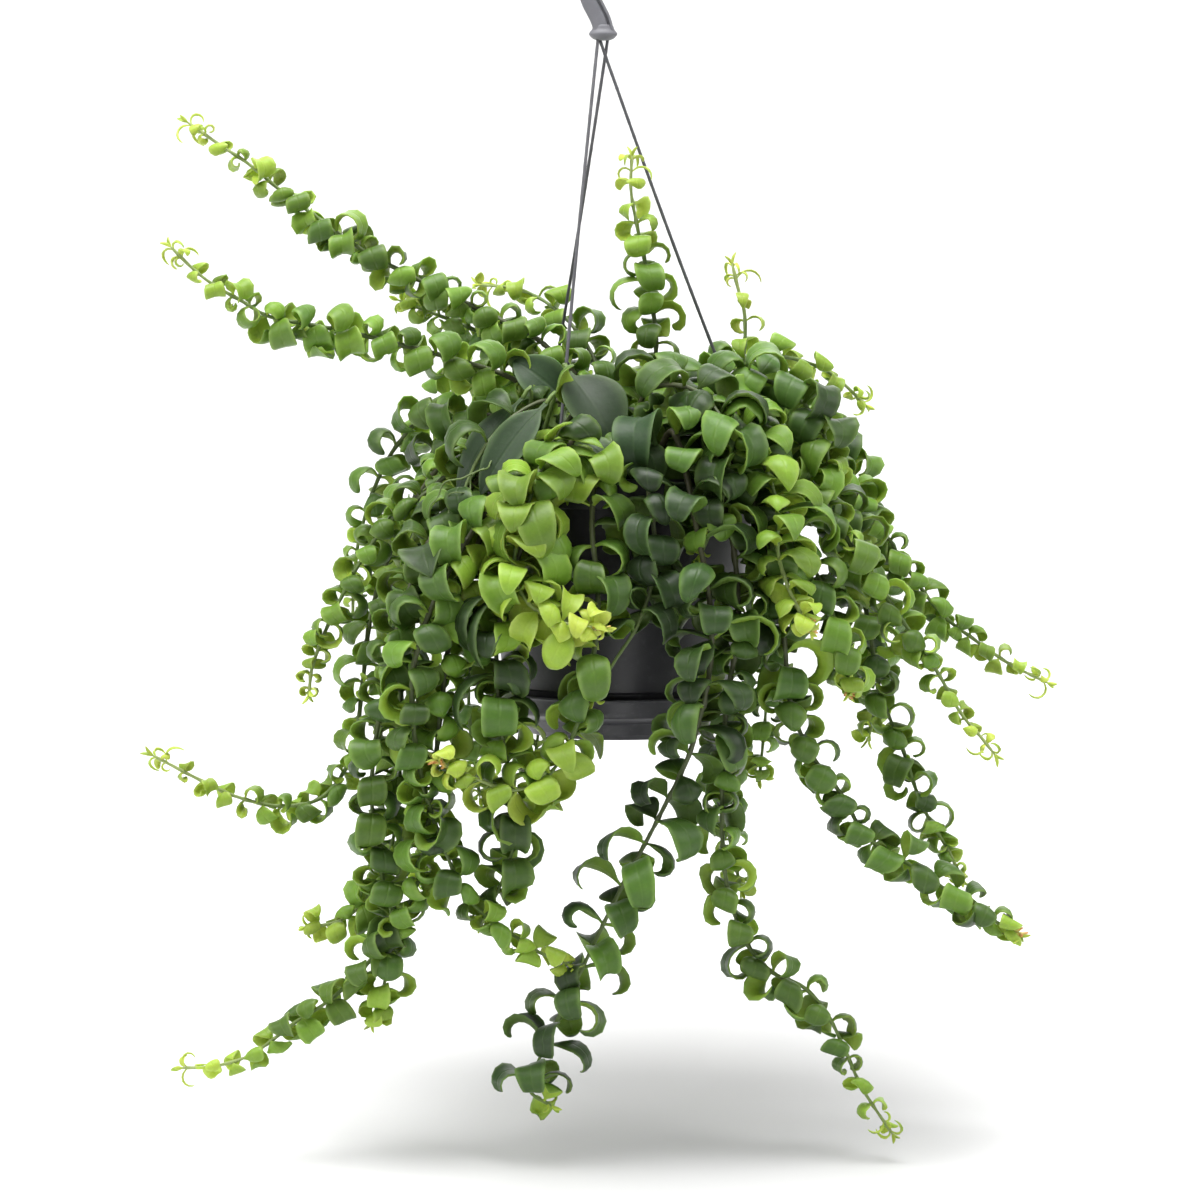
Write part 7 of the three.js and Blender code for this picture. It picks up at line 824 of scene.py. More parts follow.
     62.8,200,3,24,15.2,231,-3.5,-0.04,0, 62.8,24,37,31,17.1,272,-5.9,0.05,0, 72.2,264,32,35.4,14.3,229,2.8,0.08,0, 72.2,68,24,35.2,15.4,252,-3.2,0,0,
     82.4,355,38,33.8,15.1,238,7.9,-0.17,0, 82.4,164,18,32.6,17.2,211,-7.9,0.08,0, 93.1,82,40,31.6,16.3,225,-1.2,0.26,0, 93.1,289,18,33.2,17.1,252,4.8,0.09,0,
     103.3,160,13,29.9,16.9,241,4.3,0.52,0, 103.3,353,9,32.4,17.1,215,4.1,-0.51,0, 113.8,280,15,35.1,15.6,221,-0.1,-0.19,0, 113.8,100,22,29.1,14.7,242,1.7,0.48,0,
     124.3,345,14,33.8,15.2,234,-0.6,0.19,0, 124.3,156,7,33.2,17.2,221,7.6,-0.04,0, 134.6,72,37,37.1,15.1,239,-7.1,0.15,0, 134.6,249,30,41.7,14.6,244,-6.7,-0.43,0,
     144.4,198,19,27.6,15.4,246,-1.8,0.18,0, 144.4,347,34,47.6,14.6,276,-1.8,0.16,0, 153.9,265,37,36.5,15.6,275,-3.1,0.49,0, 153.9,102,29,31.6,16.6,242,-0.1,0.42,0,
     163.6,18,18,31.8,16.9,234,6.5,0.23,0, 163.6,171,22,44.6,14.6,220,-0.5,0.12,0, 173.4,103,33,27.3,14.3,257,4.2,0.56,0, 173.4,262,34,29.6,15,251,-3.3,0.11,0,
     183.1,204,9,19.3,13.7,245,-7.7,-0.24,0, 183.1,353,34,24.2,14.5,237,0.2,0.15,0, 192.6,271,19,27.8,15.2,272,5.7,-0.08,0, 192.6,74,27,31.7,13.9,229,6.7,0.12,0,
     202.6,11,39,35.7,13.2,274,4.6,0.22,0, 202.6,163,44,28,15.3,257,3.7,0.2,0, 211.9,63,10,30,15.3,245,6.1,-0.17,0, 211.9,257,37,28.4,14.1,227,-3,0.16,0,
     222.1,174,10,27.7,13.4,211,7,-0.02,0, 222.1,347,15,35,14.6,282,7.6,-0.41,0, 232.4,272,8,27,14.6,215,-1,-0.02,0, 232.4,108,22,27.4,13,216,-7,-0.15,0,
     243,350,28,36.6,13.7,255,5.5,-0.18,0, 243,194,11,24.8,13.1,237,1.2,-0.22,0, 253.3,84,24,29.4,13.9,266,-4.9,-0.54,0, 253.3,286,17,30.6,14.7,231,-1.4,-0.14,0,
     263.7,197,10,29.2,12.6,262,-2,0.56,0, 263.7,340,26,24.9,13.9,243,0.1,0.05,0, 272.4,287,12,27.7,14.7,217,0,-0.4,0, 272.4,105,39,33.5,13.7,215,3.2,0.19,0,
     282.1,14,33,25.6,12.7,225,4.3,0.25,0, 282.1,182,41,27.9,13,285,-4.9,0.53,0, 291.6,45,21,17.2,13.8,218,0.4,0.14,0, 291.6,278,27,25.5,13,253,0.1,-0.01,0,
     300.2,169,19,25.5,12.8,235,4.9,-0.1,0.16, 300.2,349,21,34.3,13.3,223,-2.9,-0.06,0.16, 309.4,279,10,24.3,13.3,219,-3.2,0.22,0.34, 309.4,52,24,17.8,13.7,233,6.5,-0.22,0.34,
     317.3,322,29,16.8,12,287,4.8,-0.11,0.5, 317.3,156,47,21.1,11.2,271,-4.6,-0.13,0.5, 325.7,135,30,13.1,11.8,241,-1.7,-0.53,0.67, 325.7,281,30,17.2,12,260,0.8,0.07,0.67,
     334.3,198,33,16.6,9.8,273,-3.7,0.2,0.84, 334.3,360,37,12.2,9.7,252,0.9,-0.09,0.84, 338.3,255,37,9.3,8.9,217,2.5,-0.15,0.92]),
    ('shoot_right_b', 1.6, 0.8, 0.42, 1, 0, [(58,6,-293),(58,6,-275),(65.9,16,-234.4),(103.1,22,-250.8),(132.9,26,-283.6),(156.5,26,-319.1),(175.7,26,-344.9),(194.9,26,-360.2),(214.2,26,-373.4),(235,26,-383.8)],
    [27.5,118,15,14.7,12.6,255,4.5,0.45,0, 27.5,352,22,18.3,10.6,226,0.9,-0.2,0, 35.9,286,42,20,10.7,274,-0.3,-0.19,0, 35.9,68,28,16.7,12.3,271,4.9,0.03,0,
     43.8,24,43,18.5,12.4,278,2.5,-0.14,0, 43.8,221,32,17.2,12.1,228,2,0.56,0, 52.5,82,45,20.1,13.4,273,6.9,0.1,0, 52.5,301,15,22.3,12,202,6.8,0.1,0,
     60,184,37,29.8,13.8,218,-0.1,0.24,0, 60,359,32,34.3,13.3,216,-6.9,0.17,0, 67.7,311,-5,24.4,11.9,269,0.4,0.11,0, 67.7,70,43,28.5,13,211,-7.7,-0.06,0,
     74.9,352,23,28.6,12.5,202,8,-0.1,0, 74.9,167,26,22.4,12.5,255,-4,-0.51,0, 82.8,90,37,24.5,12.6,245,-1,-0.54,0, 82.8,242,29,29.7,13.2,217,0.9,-0.08,0,
     91.3,183,40,29.1,12,250,-0.6,-0.11,0, 91.3,348,37,29.6,13.9,240,-5.7,0.16,0, 99.1,256,10,35.2,13.1,240,6.8,0.59,0, 99.1,76,17,26.6,14.1,217,6.3,0.6,0,
     106.8,326,21,36.3,12.4,231,3.8,-0.15,0, 106.8,170,12,21.3,13.2,222,-4.4,0.5,0, 115.6,81,37,33.9,12.6,213,0.7,-0.1,0, 115.6,270,19,27.7,13.4,238,1.2,0.16,0,
     124.4,140,19,29.4,14.5,225,5.3,0.48,0, 124.4,352,10,22.6,12.7,217,1.4,-0.04,0, 132.6,236,24,23.9,12.2,253,6.3,-0.13,0, 132.6,64,11,27.8,12.6,220,1.6,-0.4,0,
     141.2,358,10,30,13.4,220,3.9,0.26,0, 141.2,137,18,26.9,13.8,215,2,-0.23,0, 149.4,83,24,27.6,12.9,270,-0.2,0.11,0, 149.4,273,17,34.7,14.3,267,3.7,0.15,0,
     158.4,125,46,25.3,13.7,215,5.9,0.43,0, 158.4,328,28,22.5,12.9,220,3.2,-0.07,0, 167.3,225,18,30.1,13.1,243,6.2,0.17,0, 167.3,90,31,22.8,11.2,255,5,0.16,0,
     175.8,3,33,20.4,13.3,242,7.5,-0.22,0, 175.8,153,25,30.6,12.4,238,-6.6,-0.07,0, 184.1,96,13,25.5,12.7,219,-5.9,0.07,0, 184.1,260,33,25.6,12.4,234,2.7,-0.09,0,
     192.3,163,22,24.1,12.1,224,-2.4,-0.04,0, 192.3,359,13,19.8,11.1,229,-0.8,0.03,0, 200.7,251,16,19.2,11.4,235,5.3,-0.01,0, 200.7,71,26,23.2,12.9,271,0.6,-0.18,0,
     209.7,336,33,24.2,11.9,226,7.4,-0.16,0, 209.7,142,28,24.1,13.2,259,-0.3,0.2,0, 218,57,24,23,13.4,221,-4,-0.44,0, 218,262,17,23.6,12.4,249,2.3,0.21,0,
     227,138,20,31.3,12.3,272,-2.6,0.23,0.1, 227,302,15,16,11.5,266,-1,0.03,0.1, 235.5,205,4,16.2,10.9,256,-3.2,-0.15,0.21, 235.5,34,35,18.1,9.8,235,0.1,0.14,0.21,
     243.9,355,36,18,10.9,249,4.5,-0.52,0.32, 243.9,150,20,22.5,9.3,258,-5.5,0.07,0.32, 254.6,89,22,15.4,9.1,234,-3.4,0.23,0.46, 254.6,263,16,15.5,8.8,202,2.9,-0.06,0.46,
     264.5,164,12,16.5,9.6,209,-2.4,0.17,0.6, 264.5,6,38,13.5,9.5,204,-1.8,0.11,0.6, 274.8,251,47,11.6,7.9,238,0.5,0.12,0.73, 274.8,65,48,12.2,7.4,262,-2.2,0.53,0.73,
     285.2,336,60,10.1,5.7,258,2.1,0.03,0.87, 291.8,86,52,6.9,4.9,153,1.1,0.26,0.96]),
    ('shoot_right_c', 1.6, 0.8, 0.46, 1, 0, [(58.4,-24.1,-293),(58.4,-24.1,-275),(69.4,-40,-243.5),(103,-58,-274.5),(126.4,-64,-311),(148.6,-64,-342.5),(166.2,-62,-368),(179.7,-60,-391.4),(190.3,-60,-404.1),(198.3,-60,-414.2)],
    [24.5,219,11,20.3,13.3,235,-1.3,0.04,0, 32.3,163,40,23,11.3,205,-2.9,0.04,0, 41.7,275,32,17.8,12.4,264,-6.2,0.21,0, 41.7,115,52,18.8,11.8,216,-3.3,-0.52,0,
     50.7,305,36,20.5,12.6,214,-7,0.1,0, 50.7,166,36,29.1,12.9,208,5.2,0.43,0, 59.4,11,43,25.5,14,249,3.3,0.2,0, 59.4,196,39,22.5,12.9,244,-0.1,-0.14,0,
     68.3,120,25,30.6,12.9,216,1.9,-0.39,0, 68.3,352,34,24.4,14.9,255,0.3,-0.18,0, 76.3,254,10,25.6,13,232,-4,-0.15,0, 76.3,45,30,32.9,14.8,233,-7.8,-0.18,0,
     85,352,15,31.3,13.4,216,-4.7,0.05,0, 85,175,8,36.2,13.5,242,4.6,0.06,0, 93,13,18,31.3,12.4,263,3.1,0.02,0, 93,284,42,24.4,12.7,267,-4.8,-0.52,0,
     101.6,140,22,31.6,13.8,232,5.9,-0.13,0, 101.6,3,7,40.1,13.1,272,6.5,0.26,0, 109.3,257,23,29.4,13.1,249,4.6,-0.15,0, 109.3,44,13,30.9,14.6,234,2.4,0.06,0,
     118.2,329,14,24.8,14.2,261,7.5,0.1,0, 118.2,120,34,27.3,14,251,-3,-0.22,0, 127.8,72,45,27.8,12.8,270,-2.7,0.03,0, 127.8,264,11,28.6,12.8,231,7.9,-0.15,0,
     136,140,28,24.6,14.7,225,-0.5,0.02,0, 136,349,13,25.6,13.5,256,6,-0.13,0, 145.2,236,0,24,14,230,-2.3,0.06,0, 145.2,37,15,43.6,15,236,2.5,0,0,
     154.1,315,37,27.1,14,255,-4.9,-0.41,0, 154.1,119,10,31,14.3,244,-5.3,0.2,0, 161.8,42,10,33.1,14.3,278,-1.4,-0.07,0, 161.8,228,16,31,15,208,0.1,0.19,0,
     170.6,153,9,26.5,12,244,7.5,-0.23,0, 170.6,353,10,30.6,12.9,205,-5.4,0.4,0, 180,259,39,27.6,11.9,204,0.2,0.17,0, 180,86,16,23.7,12.9,242,-6.6,0.07,0,
     188.9,310,15,25.7,12.3,217,-0.8,-0.18,0, 188.9,157,42,26.6,13.3,218,-6.5,-0.05,0, 198.1,44,15,26.3,13.9,234,-0.1,-0.51,0, 198.1,226,11,36.2,12.2,266,8,-0.13,0,
     206.1,131,23,20.5,12.7,216,-4.6,0.09,0.06, 206.1,345,35,23.2,11.3,271,5.7,0.18,0.06, 214.6,262,35,22,13.1,205,3.8,-0.23,0.17, 214.6,39,31,17.8,11.4,244,2.1,-0.47,0.17,
     224.6,333,28,16.7,11.3,228,-5.5,0.05,0.3, 224.6,145,28,19.2,10.8,221,1.3,0.24,0.3, 235.8,67,18,16.1,11,214,-2.2,-0.19,0.45, 235.8,264,31,16.8,9.7,256,-2.1,0.19,0.45,
     246.8,134,14,16.3,9.2,243,3.8,-0.16,0.6, 246.8,310,17,17.5,8.9,218,-0.4,0.24,0.6, 258.2,261,50,10.8,8.1,231,2.6,-0.13,0.75, 258.2,93,43,13.2,7.5,271,3,-0.2,0.75,
     269.8,323,51,9,5.5,137,-1.7,-0.09,0.91, 269.8,159,38,7.6,5.5,166,1.3,-0.13,0.91]),
    ('shoot_lime_right', 1.6, 0.8, 0.62, 0, 2, [(33.7,-27.6,-293),(33.7,-27.6,-275),(51.2,-43.7,-235),(69.4,-74.2,-249.9),(80.9,-96,-278),(81.7,-104,-304.4),(87.8,-108,-324.8),(98.5,-110,-345.3)],
    [28.8,185,31,24.4,13.9,160,-0.3,-0.41,0, 28.8,39,-3,22.1,14.7,189,1.9,0.02,0, 37.8,249,10,23.7,13.7,172,2.4,0.06,0, 37.8,97,22,28.8,14.1,185,-5,0.09,0,
     46.1,177,26,30.3,14.5,173,-6.7,0.12,0, 53.3,115,51,27.1,17.6,176,7.9,-0.52,0, 53.3,241,28,36.4,18,140,4.4,0.22,0, 60.8,163,21,32.2,16.8,170,-5.4,0.42,0,
     69.6,292,44,28.4,15.5,154,-4.6,-0.15,0, 69.6,62,23,34.7,15.3,153,-4,-0.01,0, 78.3,353,18,31,18,171,2,0.46,0, 78.3,232,41,26.6,18,148,4,-0.15,0,
     85.6,73,26,38.4,15.4,146,4.8,-0.08,0, 85.6,302,35,32.9,15.4,143,5.2,-0.16,0, 93.6,207,37,35.8,16.7,180,-5.2,0.26,0, 93.6,348,23,36.5,18,180,5.2,0.06,0,
     101.7,293,22,31.5,16.1,159,-6.4,-0.05,0, 101.7,79,46,24.9,17.8,140,-7.5,-0.1,0, 110.5,360,10,29.6,15.8,161,3.4,0.21,0, 110.5,217,-1,30.8,16.6,155,6.8,0.03,0,
     118,50,36,23.7,17.8,184,7.9,-0.04,0, 118,300,6,31.5,16.6,146,3.4,-0.01,0, 125.9,230,12,28.7,15.2,150,4.4,-0.05,0, 125.9,19,3,43.5,17.4,165,-6.5,-0.37,0,
     134.3,286,26,30.1,17.9,181,-2.7,-0.06,0, 134.3,61,21,29,17,180,0.3,0,0, 141.8,347,7,34.3,14.9,161,-5.8,0.08,0, 141.8,240,49,26.9,17,187,7.6,-0.08,0,
     150.3,51,44,27,15.1,148,-6.2,-0.44,0, 150.3,304,20,47.8,15.7,161,-5.5,-0.03,0, 159.4,229,29,24.8,17.1,144,-1.1,0.05,0, 159.4,3,39,34.5,16,154,5.6,-0.02,0,
     167.2,273,43,30.4,14.4,171,7.1,-0.1,0, 167.2,71,44,26.4,16.6,174,0.1,-0.48,0, 174.9,349,25,31.2,16.7,181,-5.2,-0.04,0, 174.9,124,32,19.7,15.2,188,-5,-0.23,0,
     183.9,119,7,19.8,15.1,165,5,0.03,0.2, 183.9,271,2,22.1,13.2,139,7,-0.44,0.2, 191.1,191,42,20.1,15,183,5.6,0.17,0.38, 191.1,0,34,19.7,14,157,-4.6,-0.17,0.38,
     198.5,236,41,19.3,12.6,163,5.5,-0.09,0.56, 198.5,97,41,18.2,12.7,140,-1.5,-0.17,0.56, 206.3,4,39,18.1,10.6,162,0.9,0.19,0.76, 206.3,133,34,18.5,12.2,159,1.2,-0.04,0.76,
     209.6,60,34,18,11.1,179,-1.7,0.08,0.84, 209.6,253,32,17.1,12.1,184,-2.3,-0.11,0.84, 212.5,183,34,12.2,11.3,166,0.4,-0.05,0.91, 212.5,47,40,11.3,10.5,151,-1.9,-0.37,0.91]),
    ('shoot_right_back', 1.8, 0.8, 0.24, 0, 0, [(45.4,26.3,-293),(45.4,26.3,-275),(65.3,44.8,-227.8),(101.7,54.9,-238.8),(128.2,60,-268.6),(144.1,62,-313),(147.5,60,-357.3),(143.1,58,-396.1),(138.6,56,-418.2)],
    [24,147,38,31.2,13,221,-7.1,-0.15,0, 24,334,18,27.9,14.6,280,4.8,-0.13,0, 34.2,277,34,20.1,14,241,6.2,-0.47,0, 34.2,51,27,22.8,13.5,278,6,-0.38,0,
     45.1,298,14,18.9,13.9,262,-2.5,-0.04,0, 45.1,138,27,25.4,12.7,236,-1.7,0.1,0, 55.2,74,17,34.5,14.5,247,0.2,0.12,0, 55.2,220,40,47,16.3,257,-2.9,-0.08,0,
     64.8,161,32,30.4,16,224,-4.8,-0.5,0, 64.8,352,20,34.5,15.1,226,-4.8,0.26,0, 73.7,245,28,29.7,14.5,211,-1.3,0.01,0, 73.7,56,22,30.3,14.7,232,-3.4,-0.15,0,
     84.3,325,15,39.1,17.3,226,-3.4,-0.12,0, 84.3,123,34,29.4,16.3,226,-5.5,-0.23,0, 93.4,71,28,32.4,17.2,232,-6.8,0,0, 93.4,259,23,36.6,15.6,266,3.2,-0.03,0,
     104.4,163,27,49.4,15.8,265,-5.2,-0.1,0, 104.4,355,28,51.2,14.6,269,-5.8,0.5,0, 114.7,260,26,50.4,15.8,236,5.8,0.12,0, 114.7,50,39,34.5,15.4,207,-0.1,0.15,0,
     125.8,352,15,36,15.8,207,-1.9,-0.08,0, 125.8,151,32,33.8,17,284,-5.1,-0.03,0, 135.5,84,31,38.9,17,229,-5.2,0.59,0, 135.5,237,34,43.3,14.4,213,0.9,0.22,0,
     145,192,9,31.6,15.5,207,-6.3,-0.54,0, 145,321,10,36.8,15.4,228,4.2,0.09,0, 154.7,267,26,52.5,14.2,262,-0.3,0.21,0, 154.7,49,36,30.3,15.4,247,1.1,0.43,0,
     165.2,325,21,27.9,14.6,247,7.4,-0.21,0, 165.2,136,15,41.4,14.6,210,3.5,0.1,0, 176.2,87,39,28.3,14.8,280,-7.8,-0.07,0, 176.2,261,20,33.2,15.8,243,5.5,-0.18,0,
     187.1,140,11,29,15.8,223,3.4,-0.08,0, 187.1,325,20,29.9,14.2,273,-7.1,0.19,0, 197.8,266,19,25.8,14.4,239,-0.5,-0.23,0, 197.8,53,8,25.1,13.9,250,-6.1,-0.44,0,
     208.3,338,28,41.9,14.1,248,-3.6,0.25,0, 208.3,139,3,41.4,14.7,280,6.1,-0.19,0, 219.2,61,30,31.5,15.5,260,2.9,-0.23,0, 219.2,261,9,25.9,14.1,265,5.4,-0.46,0,
     228.4,174,35,30.8,15.8,253,1.6,-0.11,0, 228.4,3,36,35.9,15.1,208,2,0.18,0, 237.3,269,24,35.3,12.8,236,4.4,0.05,0, 237.3,61,18,30.1,13,220,-0.9,-0.09,0,
     248.2,351,40,28.9,12.8,206,-2.2,0.13,0, 248.2,138,27,26.3,13,244,2.7,0.03,0, 257.8,67,17,23.9,14.4,223,0.1,0.01,0, 257.8,249,40,30.7,15.2,234,5.6,0.1,0,
     267.2,144,12,26.2,13.3,208,6.9,0.48,0.16, 267.2,323,25,27.8,13.6,278,-4,-0.22,0.16, 276.2,216,26,33.8,12.6,228,1.5,0.55,0.34, 276.2,58,27,21.3,12.8,250,1.7,-0.18,0.34,
     284.9,356,23,14.6,11.1,237,-2.9,-0.4,0.52, 284.9,173,44,21.4,12.7,234,0.6,-0.48,0.52, 293.2,80,43,19.5,11.8,229,-0.1,-0.05,0.68, 293.2,262,31,19.3,11.5,226,-3.6,-0.13,0.68,
     301.4,182,43,18.1,11,249,-2.9,-0.12,0.85, 301.4,339,39,13.4,10.8,281,2.5,0.12,0.85, 305.2,246,30,15.6,10.2,214,0.2,0.03,0.92]),
    ('shoot_right_mid', 1.6, 0.8, 0.3, 0, 1, [(46.6,-29.6,-293),(46.6,-29.6,-275),(61.9,-59,-247.9),(88.9,-80,-289.2),(108.6,-84,-330.6),(118.2,-82,-362.1),(119.5,-80,-380.1)],
    [25.9,142,16,39.8,14.9,220,3.6,-0.52,0, 25.9,308,15,20,13.1,215,-6.3,-0.12,0, 35,108,34,24.3,14.5,256,-4.1,-0.44,0, 44.4,6,6,21.5,15.7,205,-5.6,-0.09,0,
     44.4,211,37,23.6,13.1,266,7.4,-0.18,0, 53.4,259,45,23.4,17.8,220,2.4,0.43,0, 73.1,258,26,38.2,16.7,261,3,-0.03,0, 83,347,28,35.1,15.8,219,-0.9,-0.1,0,
     83,183,28,38.8,17.3,259,5.8,0.23,0, 93.2,58,42,30.4,15.7,265,5.3,-0.46,0, 93.2,226,26,52.1,17.5,220,-0.9,-0.09,0, 104.3,181,31,37.3,17.1,246,-1.7,-0.22,0,
     104.3,294,3,24.4,16.2,229,-2.7,0.02,0, 115.1,256,36,32.9,16,226,2,-0.48,0, 115.1,111,17,31.4,16,239,5,0.09,0, 125.8,331,26,37.8,15.9,212,4,0.14,0,
     125.8,171,8,44.7,16.4,237,0.5,-0.54,0, 135.1,28,15,26.1,15.2,235,2.8,-0.47,0, 135.1,237,36,29.7,16.1,202,-1.2,0.01,0, 144.5,184,31,33.6,15,233,-4,0.07,0,
     144.5,346,8,35.8,15.8,199,3.3,-0.46,0, 154.8,263,27,30.3,17.4,208,4.9,-0.53,0, 154.8,57,12,37,16.3,258,-4.3,0.05,0, 165.1,313,20,31.7,15.5,236,6.5,0.1,0,
     165.1,161,44,30.7,16.5,272,-2.2,-0.06,0, 174.9,54,9,41.2,14.8,231,-3.1,0.18,0, 174.9,264,23,30.8,16.5,245,-5.6,-0.17,0, 185.4,157,30,28.8,14.4,227,-0.1,-0.52,0.25,
     185.4,345,40,28.9,12.9,241,-0.5,0.23,0.25, 194.1,232,43,25,13.6,265,5.6,0.55,0.47, 194.1,61,50,32,13.7,225,-1.1,-0.06,0.47, 203.9,340,34,26.5,11.6,236,-1.4,0.18,0.71,
     203.9,126,32,21.5,12.8,262,2.6,0.14,0.71, 208.1,57,36,16.6,12.1,222,-3.6,0.06,0.82, 208.1,222,39,19.6,10.5,221,2.8,0.18,0.82, 211.8,331,47,13.5,11.6,207,0.5,-0.05,0.91]),
    ('shoot_crown_right', 1.6, 0.8, 0.2, 0, 0, [(36,-10,-293),(36,-10,-275),(43.3,-24,-228),(66.9,-34,-216.1),(90.3,-44,-223.3),(106.8,-52,-243.2),(110.9,-56,-269.3)],
    [27.4,239,6,24.8,16.2,199,0.5,0.05,0, 27.4,85,22,27.9,15.8,224,-5.9,-0.05,0, 37.5,49,46,22.4,18.1,248,-3.1,-0.53,0, 37.5,153,40,33.8,17.7,197,-4.8,-0.23,0,
     46.9,116,24,22.3,16.6,210,-4,0.23,0, 46.9,253,19,21.2,17.7,235,7.6,0.03,0, 56.5,200,44,50.2,19.4,224,5.5,0.19,0, 56.5,31,34,29.7,20.5,218,-3.8,-0.21,0,
     65.3,247,31,31.9,19.2,192,3.6,-0.37,0, 65.3,127,36,31.9,20,240,-3.7,0.13,0, 75.7,303,43,44.7,20.4,181,3.1,-0.16,0, 75.7,233,-1,34.9,17.9,231,-0.7,-0.44,0,
     84.5,67,30,27.8,17.4,232,-1.9,-0.02,0, 84.5,315,32,35.3,17.9,206,4,0.14,0, 94.6,242,41,34.2,18.2,209,7.3,-0.08,0, 94.6,22,27,41.5,19.1,222,0.1,-0.24,0,
     104.9,283,40,48.2,19.5,193,-0.1,-0.2,0, 104.9,85,40,37.5,18.8,231,2.5,-0.07,0, 115.2,1,14,43.3,20.6,234,6.9,0.14,0, 115.2,148,-4,26.2,20.5,239,2.4,-0.12,0,
     125.2,60,46,35.4,18.6,211,-5.4,0.05,0, 125.2,300,26,34.2,17.5,245,-5.2,0,0, 134.3,169,14,36.3,17.7,221,0,0.07,0, 134.3,13,8,47.3,19.2,243,2.5,0.23,0,
     144.2,289,20,33.2,18.3,193,-3.6,0.4,0, 144.2,75,25,39.7,17.2,218,0.1,-0.06,0, 153.8,16,49,30.5,18.8,199,3,0.26,0.18, 153.8,161,56,28.3,18.8,204,6.9,-0.07,0.18,
     162.5,92,49,37.8,15.8,184,-1.8,-0.18,0.47, 162.5,269,41,27.8,16.7,226,-5.1,-0.17,0.47, 171.2,213,40,14.3,13.8,208,2.1,-0.53,0.76, 171.2,7,48,17.9,14,207,1.1,0.19,0.76,
     175.4,304,42,17.3,12.8,183,-2.4,0.43,0.89, 175.4,103,44,20.3,12.9,232,2,-0.49,0.89]),
    ('shoot_crown_front', 1.6, 0.8, 0.18, 0, 0, [(12,-26,-293),(12,-26,-275),(11.2,-40,-230.3),(25.6,-60,-219.3),(45.1,-78,-225.7),(56.2,-92,-247.1),(53,-99.3,-277.8),(41.9,-101.3,-305.9)],
    [28.8,81,17,22.9,17.8,182,1.8,-0.5,0, 28.8,236,9,31.8,17.7,217,2.1,0.02,0, 37.5,126,30,25.6,18.1,204,-5.9,-0.02,0, 37.5,306,13,26,15.1,188,4.7,-0.41,0,
     47.7,250,13,26,18.1,181,5.9,0.14,0, 47.7,31,23,23.1,16.1,205,0.2,0.01,0, 56.6,13,1,29.9,20,210,-4.3,-0.08,0, 56.6,167,15,48.2,18.4,186,-4.1,0.11,0,
     66.5,33,45,29.3,20.2,181,0.3,-0.15,0, 66.5,216,17,39.5,19.5,178,0.9,-0.02,0, 76.1,148,36,26.6,18.8,220,-3,-0.08,0, 76.1,299,9,34.6,18.7,183,-2.7,0.59,0,
     85.6,254,35,42.6,20.3,220,-5.3,0.24,0, 85.6,22,43,44.4,17.7,206,6.6,0.25,0, 96.2,328,21,41.2,19.1,198,7.3,-0.23,0, 96.2,190,5,28.9,19.7,187,0.3,-0.18,0,
     105.3,33,34,44.2,17.4,175,2.3,0.18,0, 105.3,229,33,29.5,19.9,232,3,0.12,0, 114.4,104,24,31.2,20.1,222,7.4,-0.39,0, 114.4,305,26,38.9,18.4,223,6.3,0.02,0,
     125,280,10,30.4,16.9,214,-3.7,-0.09,0, 125,54,36,32.8,18.9,182,-4.9,-0.45,0, 135.6,333,34,43.2,20,185,-4.4,0.06,0, 135.6,147,9,38.1,17.4,218,0.4,-0.06,0,
     139.4,324,45,38,17,190,0,-0.25,0, 145.7,44,38,44.5,19.3,197,-4.6,-0.06,0, 145.7,274,34,34.3,19.5,215,1.1,0.07,0, 154.3,101,9,30.9,19.9,183,-6.9,0.04,0,
     154.3,352,42,43.2,19.7,231,3.6,0.44,0, 163.9,269,23,29.1,18.1,222,-7,-0.15,0, 163.9,46,21,36.2,20.1,209,3.5,0.47,0, 172.9,10,42,27.2,17.5,195,-1.8,0.03,0,
     172.9,156,13,29.7,16.8,178,3.5,-0.21,0, 183.6,54,11,30.1,16.7,186,-2.7,0.06,0.06, 183.6,270,6,25.3,16,208,-6.6,0.21,0.06, 193.6,144,53,20.6,16.8,192,0.6,-0.12,0.39,
     193.6,343,57,27,14.8,213,0.6,-0.16,0.39, 201.8,46,35,23.7,13.6,223,4,0.02,0.67, 205.4,135,45,16.7,13.6,185,3,-0.44,0.79, 209.3,116,41,12.9,11.5,222,-1.2,-0.05,0.92]),
    ('shoot_crown_left', 1.6, 0.8, 0.1, 0, 0, [(-29.7,-20.3,-293),(-29.7,-20.3,-275),(-23.2,-41.1,-236.2),(-39.9,-59.6,-227.8),(-64,-77.3,-243.5),(-79.4,-88,-271.1),(-86.5,-96,-303.9)],
    [28.6,30,44,19.7,14.6,215,-6.1,0.26,0, 28.6,207,16,29.5,15.9,234,-3.3,-0.09,0, 39.6,163,33,27.5,16.2,197,6,0.04,0, 39.6,286,46,20.5,16.8,215,3.7,-0.13,0,
     49.8,212,12,38.4,15.2,181,4,-0.39,0, 49.8,22,47,19.7,15.3,196,2.5,-0.42,0, 59.9,329,32,35.8,18.6,187,1,0.12,0, 59.9,170,1,33.3,17.8,227,-7.1,-0.46,0,
     70.4,212,24,35.2,18.7,188,-4.7,-0.38,0, 81.2,131,3,28.1,16,215,2.7,0.02,0, 90.9,53,12,28.2,15.8,232,0.4,-0.47,0, 111.2,64,22,48.7,17.2,201,-6.4,0.42,0,
     132.6,31,29,48.4,17.7,223,-5.4,-0.17,0, 163.5,102,20,26.7,15,247,-6.9,-0.09,0.25, 163.5,337,18,34.4,16.1,242,-4.2,-0.09,0.25, 172.7,245,42,22.1,13.1,239,-1.1,0.25,0.75,
